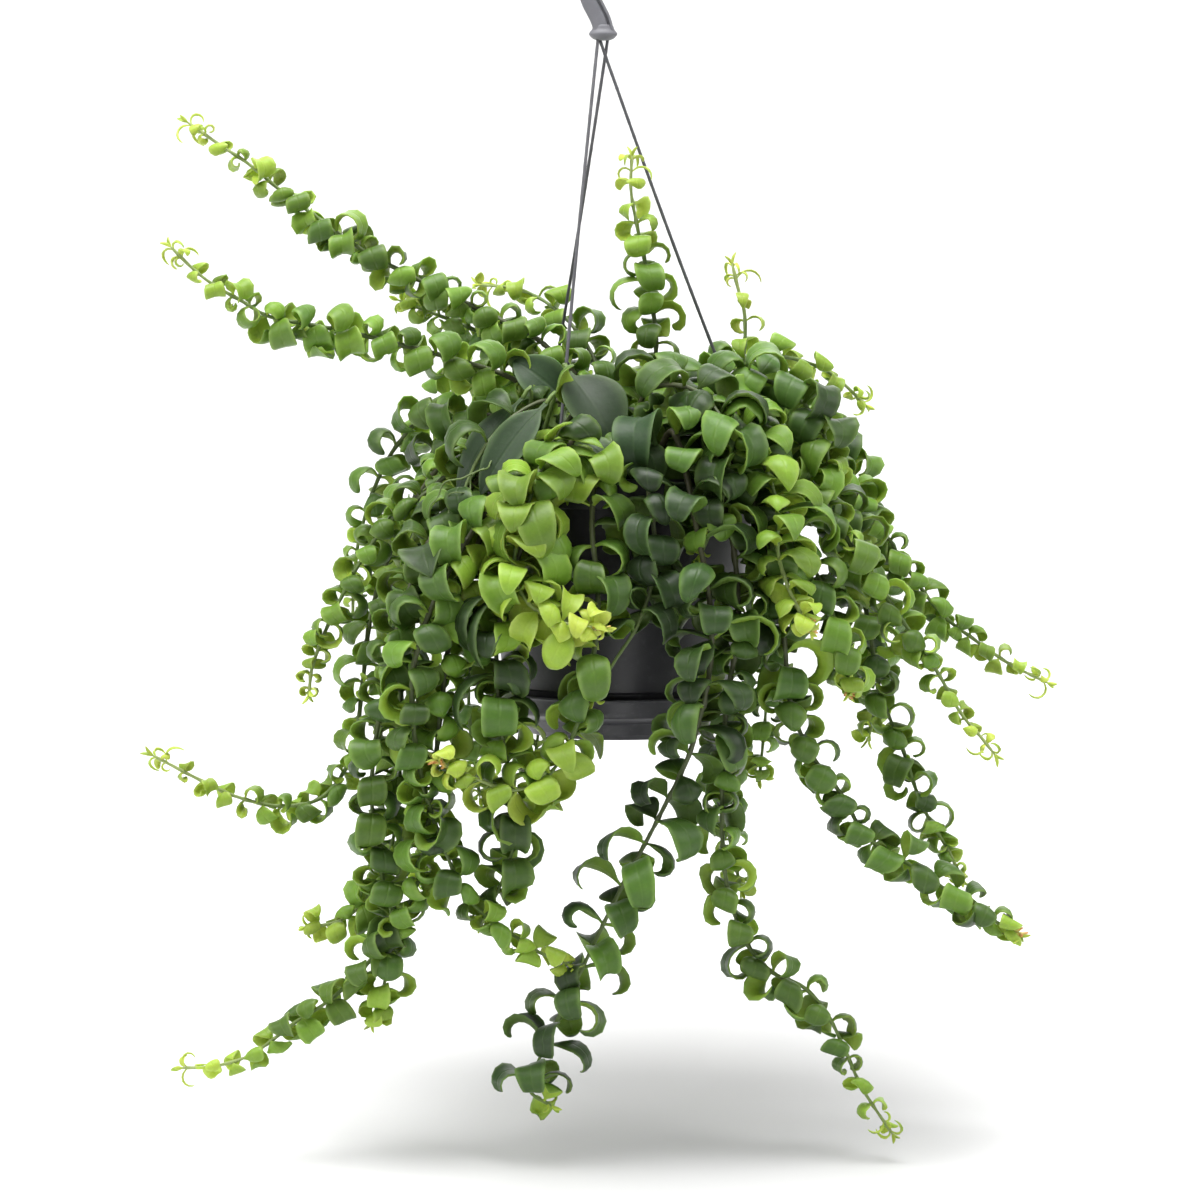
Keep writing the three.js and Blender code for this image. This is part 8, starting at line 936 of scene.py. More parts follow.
     172.7,52,67,31.8,12.7,189,0.1,0.18,0.49, 181.2,299,34,15.1,12.3,201,1.2,0.46,0.7, 181.2,111,61,15.9,13.8,204,-0.5,-0.39,0.7]),
    ('shoot_back_left_a', 1.8, 0.8, 0.24, 0, 0, [(-55.7,15.4,-293),(-55.7,15.4,-275),(-70,30,-238),(-100,44,-256),(-116,52,-300),(-120,54,-360),(-118,50,-420),(-112,44,-470),(-104,40,-498)],
    [24.4,11,24,18.9,13.9,252,-0.2,-0.15,0, 24.4,262,30,27.1,13.3,248,-6.4,-0.22,0, 35.5,217,25,20.5,16,252,0.1,0.46,0, 35.5,326,17,18.9,14.4,270,-3,-0.04,0,
     46.3,211,49,19.4,13.9,237,3.7,0.18,0, 46.3,39,15,20.4,14.7,229,-5.2,-0.51,0, 56.2,337,47,31.3,17.8,210,2.6,-0.16,0, 56.2,172,32,39.3,16.7,239,-7.8,0.08,0,
     67.8,62,22,40.8,16.4,261,1.3,0.12,0, 67.8,259,46,35.1,15.3,247,-2.4,0.17,0, 78.9,164,22,41.5,16.1,225,4.4,0.12,0, 78.9,329,36,39.8,15.9,261,6.7,0.58,0,
     90.3,252,14,35,16.6,255,6.9,0.03,0, 90.3,62,30,37.8,17.9,218,0.2,-0.16,0, 102,325,32,39.1,15.8,277,4.3,0.09,0, 102,144,34,45.2,16.8,212,-1.6,0.6,0,
     113,53,35,39.9,16.4,221,7.4,-0.21,0, 113,235,17,35.8,15.1,214,4.2,0.19,0, 124.7,155,24,45.2,15.7,273,-1,-0.16,0, 124.7,354,32,37.5,14.9,256,7.8,-0.03,0,
     135.2,241,27,53.5,16.7,265,4.4,0.13,0, 135.2,88,7,39.2,15.9,230,-2.3,-0.01,0, 147.3,324,29,34.1,16.9,273,5,-0.23,0, 147.3,172,10,37,16.3,222,-1.1,0.07,0,
     158.3,57,10,45,16,214,-6.6,0.51,0, 158.3,235,28,39.8,16.3,275,-4.8,-0.06,0, 168.9,175,-1,25.6,13.7,213,5.3,-0.21,0, 168.9,340,39,34.5,14.4,231,3.1,0.13,0,
     180.3,268,25,35,15.7,273,3.1,0.12,0, 180.3,98,9,35.4,16,243,7.6,-0.04,0, 189.8,6,16,42.4,13.7,223,7.4,-0.16,0, 189.8,176,17,44.7,15.8,224,-1.7,-0.24,0,
     201.4,58,23,35.1,16.3,204,2.3,-0.01,0, 201.4,239,29,34.6,16,246,6,-0.22,0, 213,148,13,32.4,16.3,263,4.3,0.19,0, 213,355,39,32.6,14.4,209,-0.3,-0.13,0,
     224.4,279,4,25.9,16.6,219,3.8,-0.18,0, 224.4,51,36,32.8,16,212,7.3,0.02,0, 236.5,14,2,21.2,13.4,259,-6,-0.04,0, 236.5,151,25,33.7,14.2,224,3.3,0.16,0,
     248.3,74,12,25.2,15.9,239,-6.1,0.13,0, 248.3,247,27,28.2,13.2,261,-7.5,-0.17,0, 259.4,136,19,28.1,13.9,232,0.3,-0.09,0, 259.4,323,41,28.7,14.7,243,6.4,0.17,0,
     271.1,239,39,30.5,13.1,210,2.9,0.07,0, 271.1,48,17,25.5,14.9,263,-7.9,0.15,0, 281.8,346,10,30.8,15,232,-5.1,-0.48,0.04, 281.8,165,10,26.3,15.3,228,-6.3,0.09,0.04,
     291.4,70,35,27,15,255,-0.9,0.1,0.17, 291.4,268,31,29,14.3,265,-2.2,0.21,0.17, 300.6,153,40,22.9,12.8,252,4.4,-0.13,0.3, 300.6,343,12,18.7,14.1,236,-4.2,-0.06,0.3,
     311.4,267,6,24.3,13.2,249,5.2,-0.18,0.46, 311.4,82,27,27.6,13.8,232,5,0.16,0.46, 321.5,353,14,26.1,11.2,208,4.4,-0.41,0.6, 321.5,187,38,27.5,11.5,245,1.7,-0.18,0.6,
     331.3,79,38,24,10.7,272,3.8,0.02,0.74, 331.3,250,26,14.6,11.1,238,-1.1,-0.16,0.74, 340.9,162,34,17.4,10,209,3.9,-0.47,0.88, 340.9,12,30,20,10,270,2.8,0.08,0.88,
     344.7,254,42,12.7,11,223,-1.4,0,0.93, 344.7,86,54,12.3,10.1,207,3.4,-0.18,0.93]),
    ('shoot_back_left_b', 1.8, 0.8, 0.18, 0, 0, [(-36,36,-293),(-36,36,-275),(-46,56,-234),(-68,86,-248),(-80,104,-292),(-84,110,-350),(-84,108,-410),(-78,104,-456)],
    [27.5,224,21,26.5,15.6,222,4.2,-0.19,0, 27.5,47,34,36.4,15.7,245,8,-0.47,0, 38.4,341,39,29.3,13.6,264,6.9,0.05,0, 38.4,139,36,26.2,14.9,248,5.2,-0.19,0,
     50,44,40,40,17.9,208,4.3,-0.12,0, 50,222,8,36.2,16.4,230,-5.1,0.09,0, 62,128,19,32.4,16.5,210,-3.3,-0.51,0, 62,300,36,38.8,16.8,238,-4.7,0.11,0,
     71.6,192,50,29,16.2,238,1.7,0.23,0, 71.6,37,39,34.8,16.3,261,4.4,0.07,0, 81.9,350,29,26.9,15.4,237,-3.6,0.57,0, 81.9,122,37,31.6,17.1,260,-7.5,0.49,0,
     93.5,64,29,33.8,16.7,199,4.5,-0.48,0, 93.5,227,36,35,17.4,223,-3.8,0.05,0, 105.1,161,17,39.5,17.8,218,-4,-0.06,0, 105.1,332,33,33.6,15.2,266,3.9,0.11,0,
     116.6,251,10,31.4,16.4,224,6.6,0.23,0, 116.6,73,26,38.4,16.2,243,-4.6,-0.1,0, 127.3,326,11,40.6,16.7,230,-4.1,-0.08,0, 127.3,165,27,38.2,16.1,209,-4.5,-0.48,0,
     139.1,65,27,35.6,17.1,266,-7.4,0.47,0, 139.1,250,7,49.1,15.5,230,2.3,-0.13,0, 151,157,22,38.2,15,216,-0.4,-0.46,0, 151,307,39,53.4,18,202,4.3,0.1,0,
     161.2,252,35,41.4,17.9,237,5,0.15,0, 161.2,59,26,35.5,16.2,201,-7,-0.24,0, 170.8,346,38,29.4,15.9,267,2.5,0.16,0, 170.8,165,24,34.8,16.2,260,5.8,0.23,0,
     182.6,50,22,34.7,15.2,245,-6.5,-0.14,0, 182.6,262,39,33.2,16.4,269,-2.9,0.13,0, 194.5,130,21,30,16.6,204,6.8,0.23,0, 194.5,317,39,42.2,15,258,-5.3,-0.17,0,
     205.9,228,10,35,14.5,201,-7,0.14,0, 205.9,38,17,32.9,14.1,219,4.4,-0.41,0, 216.8,319,28,33.5,14,268,2.9,-0.11,0, 216.8,151,30,28.8,16.7,266,-3.7,0.02,0,
     228,70,21,37,15.5,203,-6.7,0,0, 228,225,26,34.1,16.3,205,-1,-0.16,0, 239.8,140,9,25.3,13.6,269,6.3,-0.14,0, 239.8,310,31,29.5,14.9,233,1.9,0.01,0,
     249.9,254,10,21.8,14,227,-2.7,-0.22,0, 249.9,68,10,24.6,13.7,259,-6.2,-0.08,0, 261.5,313,18,28.5,14.9,217,2.2,-0.03,0, 261.5,134,18,27.5,14.3,209,-2.6,0.11,0,
     271.8,44,25,32,12.8,240,0.6,-0.2,0.16, 271.8,246,34,21.8,13.1,203,-0.6,-0.2,0.16, 283.3,137,12,24.9,12.5,215,-2.9,0.12,0.35, 283.3,313,39,23.5,13.6,210,-0.7,0.04,0.35,
     292.5,225,36,21.5,13.4,220,0.3,0.17,0.5, 292.5,37,39,21.7,12.3,233,0,0.15,0.5, 302.8,330,34,19.5,12.6,258,1.7,-0.22,0.68, 302.8,167,35,17.3,11.3,215,-2,-0.19,0.68,
     310.7,81,38,22.5,11.9,235,0.1,-0.03,0.81, 310.7,225,39,16.6,11.6,227,0,-0.5,0.81, 315.4,145,45,13.4,10.9,265,1.3,-0.22,0.89, 315.4,325,54,19.2,11.1,261,2.5,0.08,0.89,
     319.5,283,55,14,9,268,-2.5,-0.04,0.95, 319.5,93,36,8.9,9.3,259,-2.7,-0.41,0.95]),
    ('shoot_back_left_c', 1.6, 0.8, 0.36, 1, 0, [(-50,28,-293),(-50,28,-275),(-66,58,-224),(-98,84,-232),(-128,98,-262),(-146,104,-310),(-150,100,-360)],
    [25.1,182,40,26.1,14.9,222,1.2,-0.03,0, 36,313,8,23,12.5,235,3.9,-0.46,0, 36,177,15,24.1,13.8,204,7.1,0.14,0, 45.6,20,47,21.3,13.7,205,-7.7,-0.01,0,
     45.6,253,36,21.4,12.6,224,2.7,0.18,0, 54.8,165,42,36.5,16.2,235,6.5,-0.01,0, 54.8,327,39,39.1,16.2,261,-4.5,0.07,0, 65.6,224,48,23.4,14,217,0.7,0.01,0,
     65.6,35,44,25.4,15.8,255,-7.5,-0.03,0, 76.9,318,39,27.7,14.1,217,0.8,0.47,0, 76.9,115,39,29.9,14.4,267,-2.2,0.14,0, 88.5,59,19,30.6,15.9,229,1.2,0.09,0,
     88.5,245,41,34.2,14.5,254,-5.9,-0.46,0, 98.5,135,38,38.3,14.9,214,6.6,-0.16,0, 98.5,330,34,36.9,16.6,250,-2,-0.19,0, 108.5,227,40,36.8,14.9,263,7.5,0.55,0,
     108.5,59,39,31.8,16,213,-7,0.22,0, 120.1,346,19,30.3,15.3,210,-2.6,0.17,0, 120.1,150,18,37.3,16.4,231,-0.3,0.05,0, 130.3,49,18,30,14.6,224,3.4,0.13,0,
     130.3,266,32,36.8,15.8,212,0.4,-0.15,0, 140.3,156,25,35.4,16.3,208,-2.8,-0.01,0, 140.3,331,16,38.7,16.5,252,1.6,0.12,0, 151,198,8,23.6,15.2,236,5,-0.23,0,
     151,50,18,38.6,16.2,238,-4.4,-0.08,0, 162.5,324,39,38.9,15.1,236,-6.6,-0.52,0, 162.5,97,33,26,14.7,243,4.7,0.21,0, 172.8,59,10,26.9,15.1,251,3.8,0.06,0,
     172.8,237,28,25.4,14.8,266,-6.6,-0.02,0, 183.7,130,20,24.7,12.9,221,-3.2,0.2,0.02, 183.7,310,31,30.1,14.8,202,4.4,-0.22,0.02, 194.1,227,16,27.2,13.2,203,2.3,-0.49,0.13,
     194.1,75,31,38.4,14.4,204,3.4,-0.05,0.13, 205.1,332,27,27.4,12.3,254,3.8,-0.21,0.25, 205.1,136,11,27.6,14.1,214,2,0.17,0.25, 216.4,46,27,20.2,11.9,238,-4.3,0.14,0.38,
     216.4,227,32,22.3,13,219,-4.7,-0.02,0.38, 227.5,143,23,19.1,12.1,208,-4,0.05,0.5, 227.5,316,31,16.7,10.5,274,4.9,0.17,0.5, 240.4,234,14,15.1,9.5,220,3.2,-0.2,0.65,
     240.4,56,12,16.1,9.6,214,0.3,-0.43,0.65, 255.8,309,33,10.5,8.6,227,0.6,-0.11,0.82, 255.8,148,29,11.6,9.3,213,-0.9,0.15,0.82, 269.8,40,42,8.1,6.1,142,-1.2,-0.38,0.97,
     269.8,245,47,9.1,5.9,128,0.5,-0.17,0.97]),
    ('shoot_back_center_a', 1.8, 0.8, 0.12, 0, 0, [(-16,46,-293),(-16,46,-275),(-22,66,-234),(-34,96,-250),(-42,114,-296),(-44,120,-350),(-44,118,-404),(-48,112,-446)],
    [28.3,188,32,26.5,13.5,202,7.3,0.56,0, 28.3,335,13,27.2,15.8,226,1.7,-0.18,0, 39.3,258,7,29.3,13.3,196,4.7,0.01,0, 39.3,31,32,22.4,15.4,224,-4.9,0.2,0,
     49.3,317,42,43.6,13.9,224,-0.1,-0.13,0, 49.3,185,27,27.3,13.7,244,0.5,0.03,0, 61,57,31,35,16.1,219,5.5,0.43,0, 61,275,26,41.5,16.5,241,5.1,0.18,0,
     70.6,172,38,36,15.2,223,-2.3,0.19,0, 70.6,358,35,51.8,15.9,236,5,-0.14,0, 82.5,297,46,25.9,14.8,251,-5.9,0.1,0, 82.5,75,26,43.4,14.9,239,-0.2,0.19,0,
     92.9,1,9,32.2,17.5,223,3.6,0.24,0, 92.9,150,28,31.8,16,220,3.5,0.09,0, 104.5,90,18,36.6,17.3,191,-4.6,-0.38,0, 104.5,258,23,40.1,16.5,231,2.2,0.06,0,
     115.7,180,22,42.3,15.7,216,-3.8,0.05,0, 115.7,326,20,31.6,15.8,238,-7.3,0,0, 126.5,232,14,36.6,16.8,218,-1.7,0.47,0, 126.5,88,19,36.1,15.8,217,2.3,-0.43,0,
     138.3,335,29,38.3,15.6,228,-3,0.01,0, 138.3,118,6,26.2,17.7,199,1.2,0.05,0, 148.8,88,30,50.2,17,256,5,-0.11,0, 148.8,241,24,37.8,16.5,208,-0.2,-0.23,0,
     158.9,174,41,40.6,17.1,222,-7.3,0.04,0, 158.9,349,15,48.8,15.9,235,6.2,0.23,0, 170.9,264,39,28.3,14.1,192,-7.7,0.05,0, 170.9,72,31,31.9,13.8,237,2.1,0.55,0,
     180.7,328,20,32.4,16.6,196,-4.2,-0.12,0, 180.7,180,14,33.8,15.2,206,4.9,-0.03,0, 190.8,93,11,27.1,14.6,253,4.2,0.24,0, 190.8,240,33,29.5,15.1,240,3.8,0.12,0,
     200.8,178,8,43.6,14.6,230,0.2,0.03,0, 200.8,350,20,35.4,16,259,-0.3,0.09,0, 211.6,263,32,29,15.6,211,3.5,-0.17,0, 211.6,88,20,35.4,14.6,205,0.7,0.11,0,
     223.4,2,29,31.1,15.5,236,-3.7,-0.42,0, 223.4,173,11,28.9,14.9,215,5.1,0.02,0, 233.4,70,13,27.9,13.6,195,-2.2,-0.08,0, 233.4,269,28,26.6,15.4,216,-0.8,-0.11,0,
     243.7,152,13,29.2,14.4,218,-0.3,-0.08,0, 243.7,351,15,26.9,14.2,189,2.7,0.1,0, 255.4,244,28,28.9,13.5,230,2.2,-0.11,0.01, 255.4,106,43,28.3,13.1,199,1.8,0.22,0.01,
     266.4,344,27,24.3,12.4,217,2,0.25,0.23, 266.4,181,24,22.3,14.3,223,-1.4,-0.52,0.23, 276.3,68,26,32.4,12,203,2.8,0.22,0.43, 276.3,266,34,28.3,12,252,-5.5,-0.14,0.43,
     286.3,154,36,25.5,12.9,231,-5.2,0.52,0.63, 286.3,339,42,22.3,11.1,228,2.8,-0.13,0.63, 295.4,258,44,22,11.2,192,0.5,0.17,0.81, 295.4,37,34,16.7,10.7,236,-2.5,-0.14,0.81,
     300.1,333,59,13.3,9.3,231,-2.4,-0.12,0.91, 300.1,159,38,15.6,10.5,249,-1.3,-0.1,0.91]),
    ('shoot_back_center_b', 1.6, 0.8, 0.52, 0, 0, [(6,50,-293),(6,50,-275),(8,72,-236),(6,100,-250),(4,116,-294),(2,122,-340),(4,120,-384)],
    [26.1,5,24,25.9,15.9,231,-5.8,-0.24,0, 26.1,183,26,24.3,15.6,176,-4.4,0.44,0, 35.2,157,5,20.2,15,186,-0.3,0.56,0, 35.2,278,13,25.5,13.4,225,5.5,-0.41,0,
     46.2,182,27,28.4,14.7,188,3.3,0.56,0, 46.2,348,26,25.2,13.9,210,-0.2,0.2,0, 55.1,286,38,40.2,16,205,-5.6,0.5,0, 55.1,63,18,29.6,15,213,-5.1,-0.19,0,
     65.2,357,17,34.1,17,232,-0.4,0,0, 65.2,189,45,36.9,16.5,175,6.6,-0.11,0, 75.3,110,31,32.1,15.1,175,-0.1,0,0, 75.3,330,30,26.8,17.9,236,3.1,0.22,0,
     84.8,191,12,28.1,14.9,176,-2.1,0.07,0, 84.8,353,20,35.3,17.5,184,-2.9,-0.07,0, 94.2,279,37,32.5,17.1,178,2.8,-0.12,0, 94.2,104,30,36.4,16.4,172,6.4,0.15,0,
     103.9,15,12,35.8,17.6,213,-1.5,0.22,0, 103.9,171,34,30.4,16.2,215,5.7,-0.24,0, 114,103,36,39,16.1,224,1.8,0.45,0, 114,282,9,54,18,229,2.9,-0.18,0,
     123.4,194,9,41.1,15.9,222,-0.8,-0.13,0, 123.4,20,25,32.8,17.1,195,0.8,0,0, 132.7,282,24,31.4,15.8,223,1.5,0.22,0, 132.7,97,14,38.3,17.8,174,6.2,0.03,0,
     142.3,6,25,37.4,17.2,238,-6.9,-0.03,0, 142.3,167,33,51.6,15.2,209,4.1,0.04,0, 151.9,102,12,37.2,15.4,196,4.6,0.19,0, 151.9,276,29,41,17.1,177,-5.3,-0.42,0,
     161.4,202,22,44.2,15.5,225,-6.2,0.18,0, 161.4,15,21,34.7,15.5,216,2.5,0.01,0, 170.6,276,32,32.4,16.2,181,-7.4,0.14,0, 170.6,109,19,40.4,15,172,-2.7,-0.14,0,
     179.9,1,19,26.4,14.6,223,-1.8,0.15,0, 179.9,173,11,31.5,15,174,-6.9,0.1,0, 190.2,80,12,27.3,16.3,200,3.7,0.13,0, 190.2,271,19,45.9,15.3,183,2.9,-0.1,0,
     200.6,183,12,24.1,13.9,178,-6.2,0.13,0.14, 200.6,14,15,30.9,13.4,223,6.3,0.04,0.14, 209.7,275,11,34.8,13.9,236,4.6,-0.13,0.37, 209.7,108,23,30.1,13.7,181,2.8,-0.01,0.37,
     218,15,40,18.4,12.3,202,4.8,0.02,0.57, 218,173,42,18.1,12.2,189,-2,0.12,0.57, 227.3,90,37,19.3,10.4,204,2.5,0.22,0.81, 227.3,233,28,13.5,10.5,208,2.8,0.48,0.81,
     231.6,168,33,11.8,10.3,173,-1.6,-0.4,0.91, 231.6,345,31,11.3,11,192,1.7,0.22,0.91]),
    ('shoot_back_center_c', 1.8, 0.8, 0.2, 0, 0, [(22,44,-293),(22,44,-275),(30,66,-236),(42,92,-250),(52,110,-296),(56,118,-354),(58,116,-414),(62,108,-470),(70,102,-508)],
    [27.1,340,28,26.9,14.1,251,-5.4,-0.16,0, 27.1,175,17,29.7,14,268,7.3,0.09,0, 37.6,33,23,21.6,14.1,270,-4.3,-0.06,0, 37.6,244,36,26.8,13.5,206,2.6,-0.37,0,
     47.9,151,22,40.9,15.5,222,-6,-0.52,0, 47.9,314,21,33.2,14.3,236,5,-0.04,0, 57.4,225,36,39.8,16.5,252,-1.8,0.43,0, 57.4,96,17,28.6,17.4,247,-4.7,-0.37,0,
     69.2,29,33,28.1,16.8,259,5.8,-0.23,0, 69.2,157,30,54.4,15.3,237,-6.5,-0.07,0, 79.3,57,18,43.2,15.9,249,-2.8,-0.41,0, 79.3,265,42,32.3,16.4,272,3.7,-0.16,0,
     90.7,155,18,35.3,16.4,215,0.5,-0.47,0, 90.7,4,37,34,15.3,238,-6.8,-0.06,0, 101.2,266,32,34.1,17.3,234,6.1,0.54,0, 101.2,83,10,34.4,16,265,-0.9,-0.1,0,
     111.5,349,26,38.2,14.9,225,1.3,-0.43,0, 111.5,219,33,32.5,16.8,267,-1.2,-0.19,0, 122.4,70,20,35.2,17.2,253,-1.5,0.09,0, 122.4,284,13,35,14.9,204,-5.1,0.13,0,
     132,188,18,39.1,15.5,256,-7.3,0.5,0, 132,356,25,35.2,18.1,257,3.8,0.25,0, 142.7,256,18,36.9,15.8,213,5,-0.12,0, 142.7,72,16,40.4,17.3,221,-6.4,0.41,0,
     153.9,359,17,38.5,15.7,257,3.4,0.17,0, 153.9,166,14,38.6,15.2,233,0.7,0.1,0, 165.5,45,14,47.6,16,255,-3,-0.07,0, 165.5,267,9,28.4,13.9,246,-1,-0.24,0,
     177.5,178,10,35.1,14.6,208,6.1,-0.22,0, 177.5,350,34,29.1,16.6,217,-4.5,-0.06,0, 188,252,23,29.7,15.5,234,-1.5,0.2,0, 188,94,10,34.9,16.6,244,-7.1,-0.05,0,
     199.9,353,29,29.6,14,241,-1.7,-0.05,0, 199.9,156,22,33.2,16,255,0.8,0.23,0, 210.7,87,25,33.1,16.6,234,-1.5,0.44,0, 210.7,253,20,33.5,15.8,236,0.1,-0.07,0,
     221.1,167,12,27.8,15.1,207,-2,-0.17,0, 221.1,359,17,29.1,13.9,230,-7.3,-0.44,0, 232,237,37,24.8,13.7,215,4.7,0.49,0, 232,80,12,28.9,15.7,230,1.5,0.14,0,
     243.2,333,29,27.8,13.3,265,-3.5,0.11,0, 243.2,183,29,25,14.9,202,2.8,-0.23,0, 253.2,84,26,42.7,13.7,237,4.5,0.22,0, 253.2,268,-1,21.8,13.5,246,6,0.03,0,
     263,148,30,32.1,15.1,257,-3.5,0.48,0, 263,18,10,32.1,15.8,198,8,0.07,0, 274.7,270,25,29.8,15.3,264,6.5,-0.07,0, 274.7,92,7,32.6,15.8,205,-6,-0.02,0,
     284.4,317,11,20.3,13.9,214,4.2,0.11,0, 284.4,183,28,29.3,15.1,251,0.3,0.15,0, 294.4,79,26,33.1,13.3,244,-5.2,-0.41,0, 294.4,239,7,28.7,14.1,206,2.6,0.1,0,
     305.6,153,34,28.2,14.5,245,-6.6,0.18,0.16, 305.6,5,17,23.6,14.9,216,-0.7,-0.24,0.16, 315.7,245,22,23.6,12.1,214,5.8,-0.14,0.31, 315.7,65,28,19.1,14.4,226,-6,0.54,0.31,
     326.5,346,25,22.3,13,270,-4.5,0.21,0.46, 326.5,161,14,19.3,11.6,232,3.6,0.04,0.46, 335,52,41,18.8,11.4,215,-2.2,-0.05,0.58, 335,257,11,21.6,12.1,232,-4.2,0.04,0.58,
     344.5,156,45,18.9,12.2,217,-1,0.16,0.72, 344.5,329,45,20.1,12.1,229,-2.7,-0.21,0.72, 354.1,265,49,19.8,10.8,213,3,-0.23,0.86, 354.1,66,36,21.3,10.2,254,-1.9,-0.03,0.86,
     358.6,295,50,10.8,9.8,265,2.3,0.06,0.92, 358.6,171,44,19.6,10.9,235,3.4,0.41,0.92, 362.9,95,38,14.5,10,213,-3.1,0,0.98]),
    ('shoot_back_right_a', 1.6, 0.8, 0.16, 0, 0, [(36,38,-293),(36,38,-275),(48,58,-236),(66,80,-250),(80,96,-294),(86,102,-348),(84,100,-400),(80,96,-444)],
    [24.7,9,23,22.3,13.2,232,-0.9,-0.09,0, 24.7,173,34,27.4,15.3,254,3.4,-0.1,0, 34.5,168,39,22.6,14.1,258,2.5,0.21,0, 34.5,351,14,30.3,15,202,5.8,-0.22,0,
     44.5,239,43,38.2,13.2,198,7.2,0.2,0, 44.5,14,20,34.6,13.8,241,0.4,0,0, 54.9,323,29,28.8,16.9,229,-7.5,0.1,0, 54.9,134,27,38.7,17.6,271,-7.8,0.03,0,
     66.1,17,17,26.3,17,262,-5,0.19,0, 66.1,210,22,30.2,16.1,245,0.1,-0.02,0, 76.6,96,42,27.3,17.2,219,-7.5,-0.19,0, 76.6,314,30,39.2,17.7,214,-4,-0.11,0,
     88.4,225,9,37,18.1,266,7.6,-0.05,0, 88.4,14,35,36.4,17.6,264,4.8,0.19,0, 98,306,43,39.6,17.5,200,4.8,-0.04,0, 98,110,26,48.6,14.9,249,-4.3,-0.11,0,
     109.7,43,36,34.8,17.5,251,-3.2,-0.02,0, 109.7,213,11,47.8,17,219,3.6,-0.11,0, 120.2,127,37,38.4,16.1,227,-5.1,-0.06,0, 120.2,318,45,36.3,17.1,202,5.5,-0.15,0,
     130.5,241,2,31.8,16.7,208,-2.8,0.06,0, 130.5,34,33,38.4,17.1,224,-0.4,0.45,0, 141.8,315,40,41.1,15.1,207,3.5,0.22,0, 141.8,127,12,41.3,16.2,214,0.2,-0.01,0,
     152.6,34,36,36.3,18.1,234,-3.8,0,0, 152.6,222,-2,30.4,16.5,214,-5.2,0.21,0, 162.5,97,9,35.6,14.9,217,0.8,-0.09,0, 162.5,288,33,32.2,15.7,238,0.1,-0.19,0,
     172.5,210,27,34.9,15.2,240,-6.4,-0.13,0, 172.5,32,8,27.4,15.8,207,-7.6,0.52,0, 182.2,303,22,29,13.9,239,-7.7,0.05,0, 182.2,133,26,34.9,14.9,208,3.7,0.16,0,
     192.9,25,33,28.1,15.4,238,4,0.13,0, 192.9,220,9,34.4,16.6,213,-2.4,0.1,0, 204,130,41,27.8,16.4,244,-2.2,-0.36,0, 204,305,27,27.9,15.6,244,-4.5,0.18,0,
     214.7,189,32,31.3,14.9,269,-7.7,0.1,0, 214.7,48,33,26.6,14.6,213,3.7,0.06,0, 225.9,305,40,40.7,15,238,1.7,0.25,0, 225.9,126,9,32.1,15.1,271,7.1,-0.02,0,
     237.1,41,31,26.7,14.2,263,7.7,-0.03,0, 237.1,229,22,24.5,14.7,230,7.3,0.06,0, 247.5,153,17,28.7,15.2,243,-3.2,-0.1,0.15, 247.5,318,26,24.2,14,266,3.6,-0.16,0.15,
     257.6,256,37,18.4,12,223,-2.5,-0.47,0.32, 257.6,27,22,26,13.7,250,2.8,-0.21,0.32, 268,320,8,20.1,13.2,259,5.1,-0.02,0.49, 268,151,21,24.1,11.5,238,5,0,0.49,
     277.7,73,36,16,11.5,224,4.1,0.01,0.65, 277.7,225,46,23.5,12.4,226,-4,0.47,0.65, 287.7,153,36,12.8,11.9,224,-0.7,-0.46,0.82, 287.7,288,33,19.8,11.6,210,-3.1,-0.17,0.82,
     292.1,245,32,9.6,11.3,212,-0.5,0.08,0.89, 292.1,32,32,14.8,9.8,233,0.9,0.12,0.89, 295.8,126,41,12.4,8.9,239,2,0.15,0.95]),
    ('shoot_back_right_b', 1.6, 0.8, 0.34, 1, 0, [(56.6,19.7,-293),(56.6,19.7,-275),(68.5,39,-234.1),(98.9,61.3,-247.7),(124,74,-286),(138,80,-336),(142,78,-380)],
    [24.8,227,38,24.3,13.1,218,7.4,-0.22,0, 24.8,62,30,19.9,13.8,277,-6.6,-0.13,0, 34.8,329,45,21.3,14.9,223,-3.9,-0.05,0, 44.9,69,24,29.8,13.9,216,7,-0.1,0,
     44.9,226,47,24.7,14.4,232,-0.7,-0.17,0, 56.2,179,48,30.6,14.3,209,4.2,0.13,0, 56.2,338,37,29,15.3,233,-3,0.16,0, 66.2,213,8,38.7,14.3,256,-0.4,0.21,0,
     66.2,62,38,31.2,16.6,217,-5.8,0.14,0, 76.6,308,24,33.3,15,230,6.9,0.05,0, 76.6,115,37,28.8,16.8,255,-6.4,-0.22,0, 87.7,20,44,28.5,15.3,226,-2.9,0.42,0,
     87.7,241,28,29.3,16.7,261,5.9,0.14,0, 98.9,144,6,49.1,14.1,263,7.7,-0.06,0, 98.9,314,40,39.3,16.8,203,5.8,0.25,0, 108.8,264,29,37.3,15.4,214,-2,-0.03,0,
     108.8,22,32,30.7,16,262,1.4,0.04,0, 119.3,315,31,39.2,16.7,239,0.8,0.48,0, 119.3,132,18,37.4,16.3,205,-3.9,-0.11,0, 130.2,13,32,44.3,16.3,240,4,0.09,0,
     130.2,211,21,44.5,15.7,265,-2.3,-0.05,0, 141.2,122,16,37,15.1,212,3.4,-0.11,0, 141.2,289,9,33.4,15.2,207,6.3,-0.03,0, 151.3,258,13,51.5,14.3,243,-3.8,0.55,0,
     151.3,1,25,23.8,15.3,250,-0.1,0.17,0, 162.5,309,9,38.3,14.4,219,-2.6,-0.22,0, 162.5,177,5,26.2,14.5,210,2.4,0.22,0, 172.8,359,52,24.6,14.1,212,-5.7,-0.02,0.01,
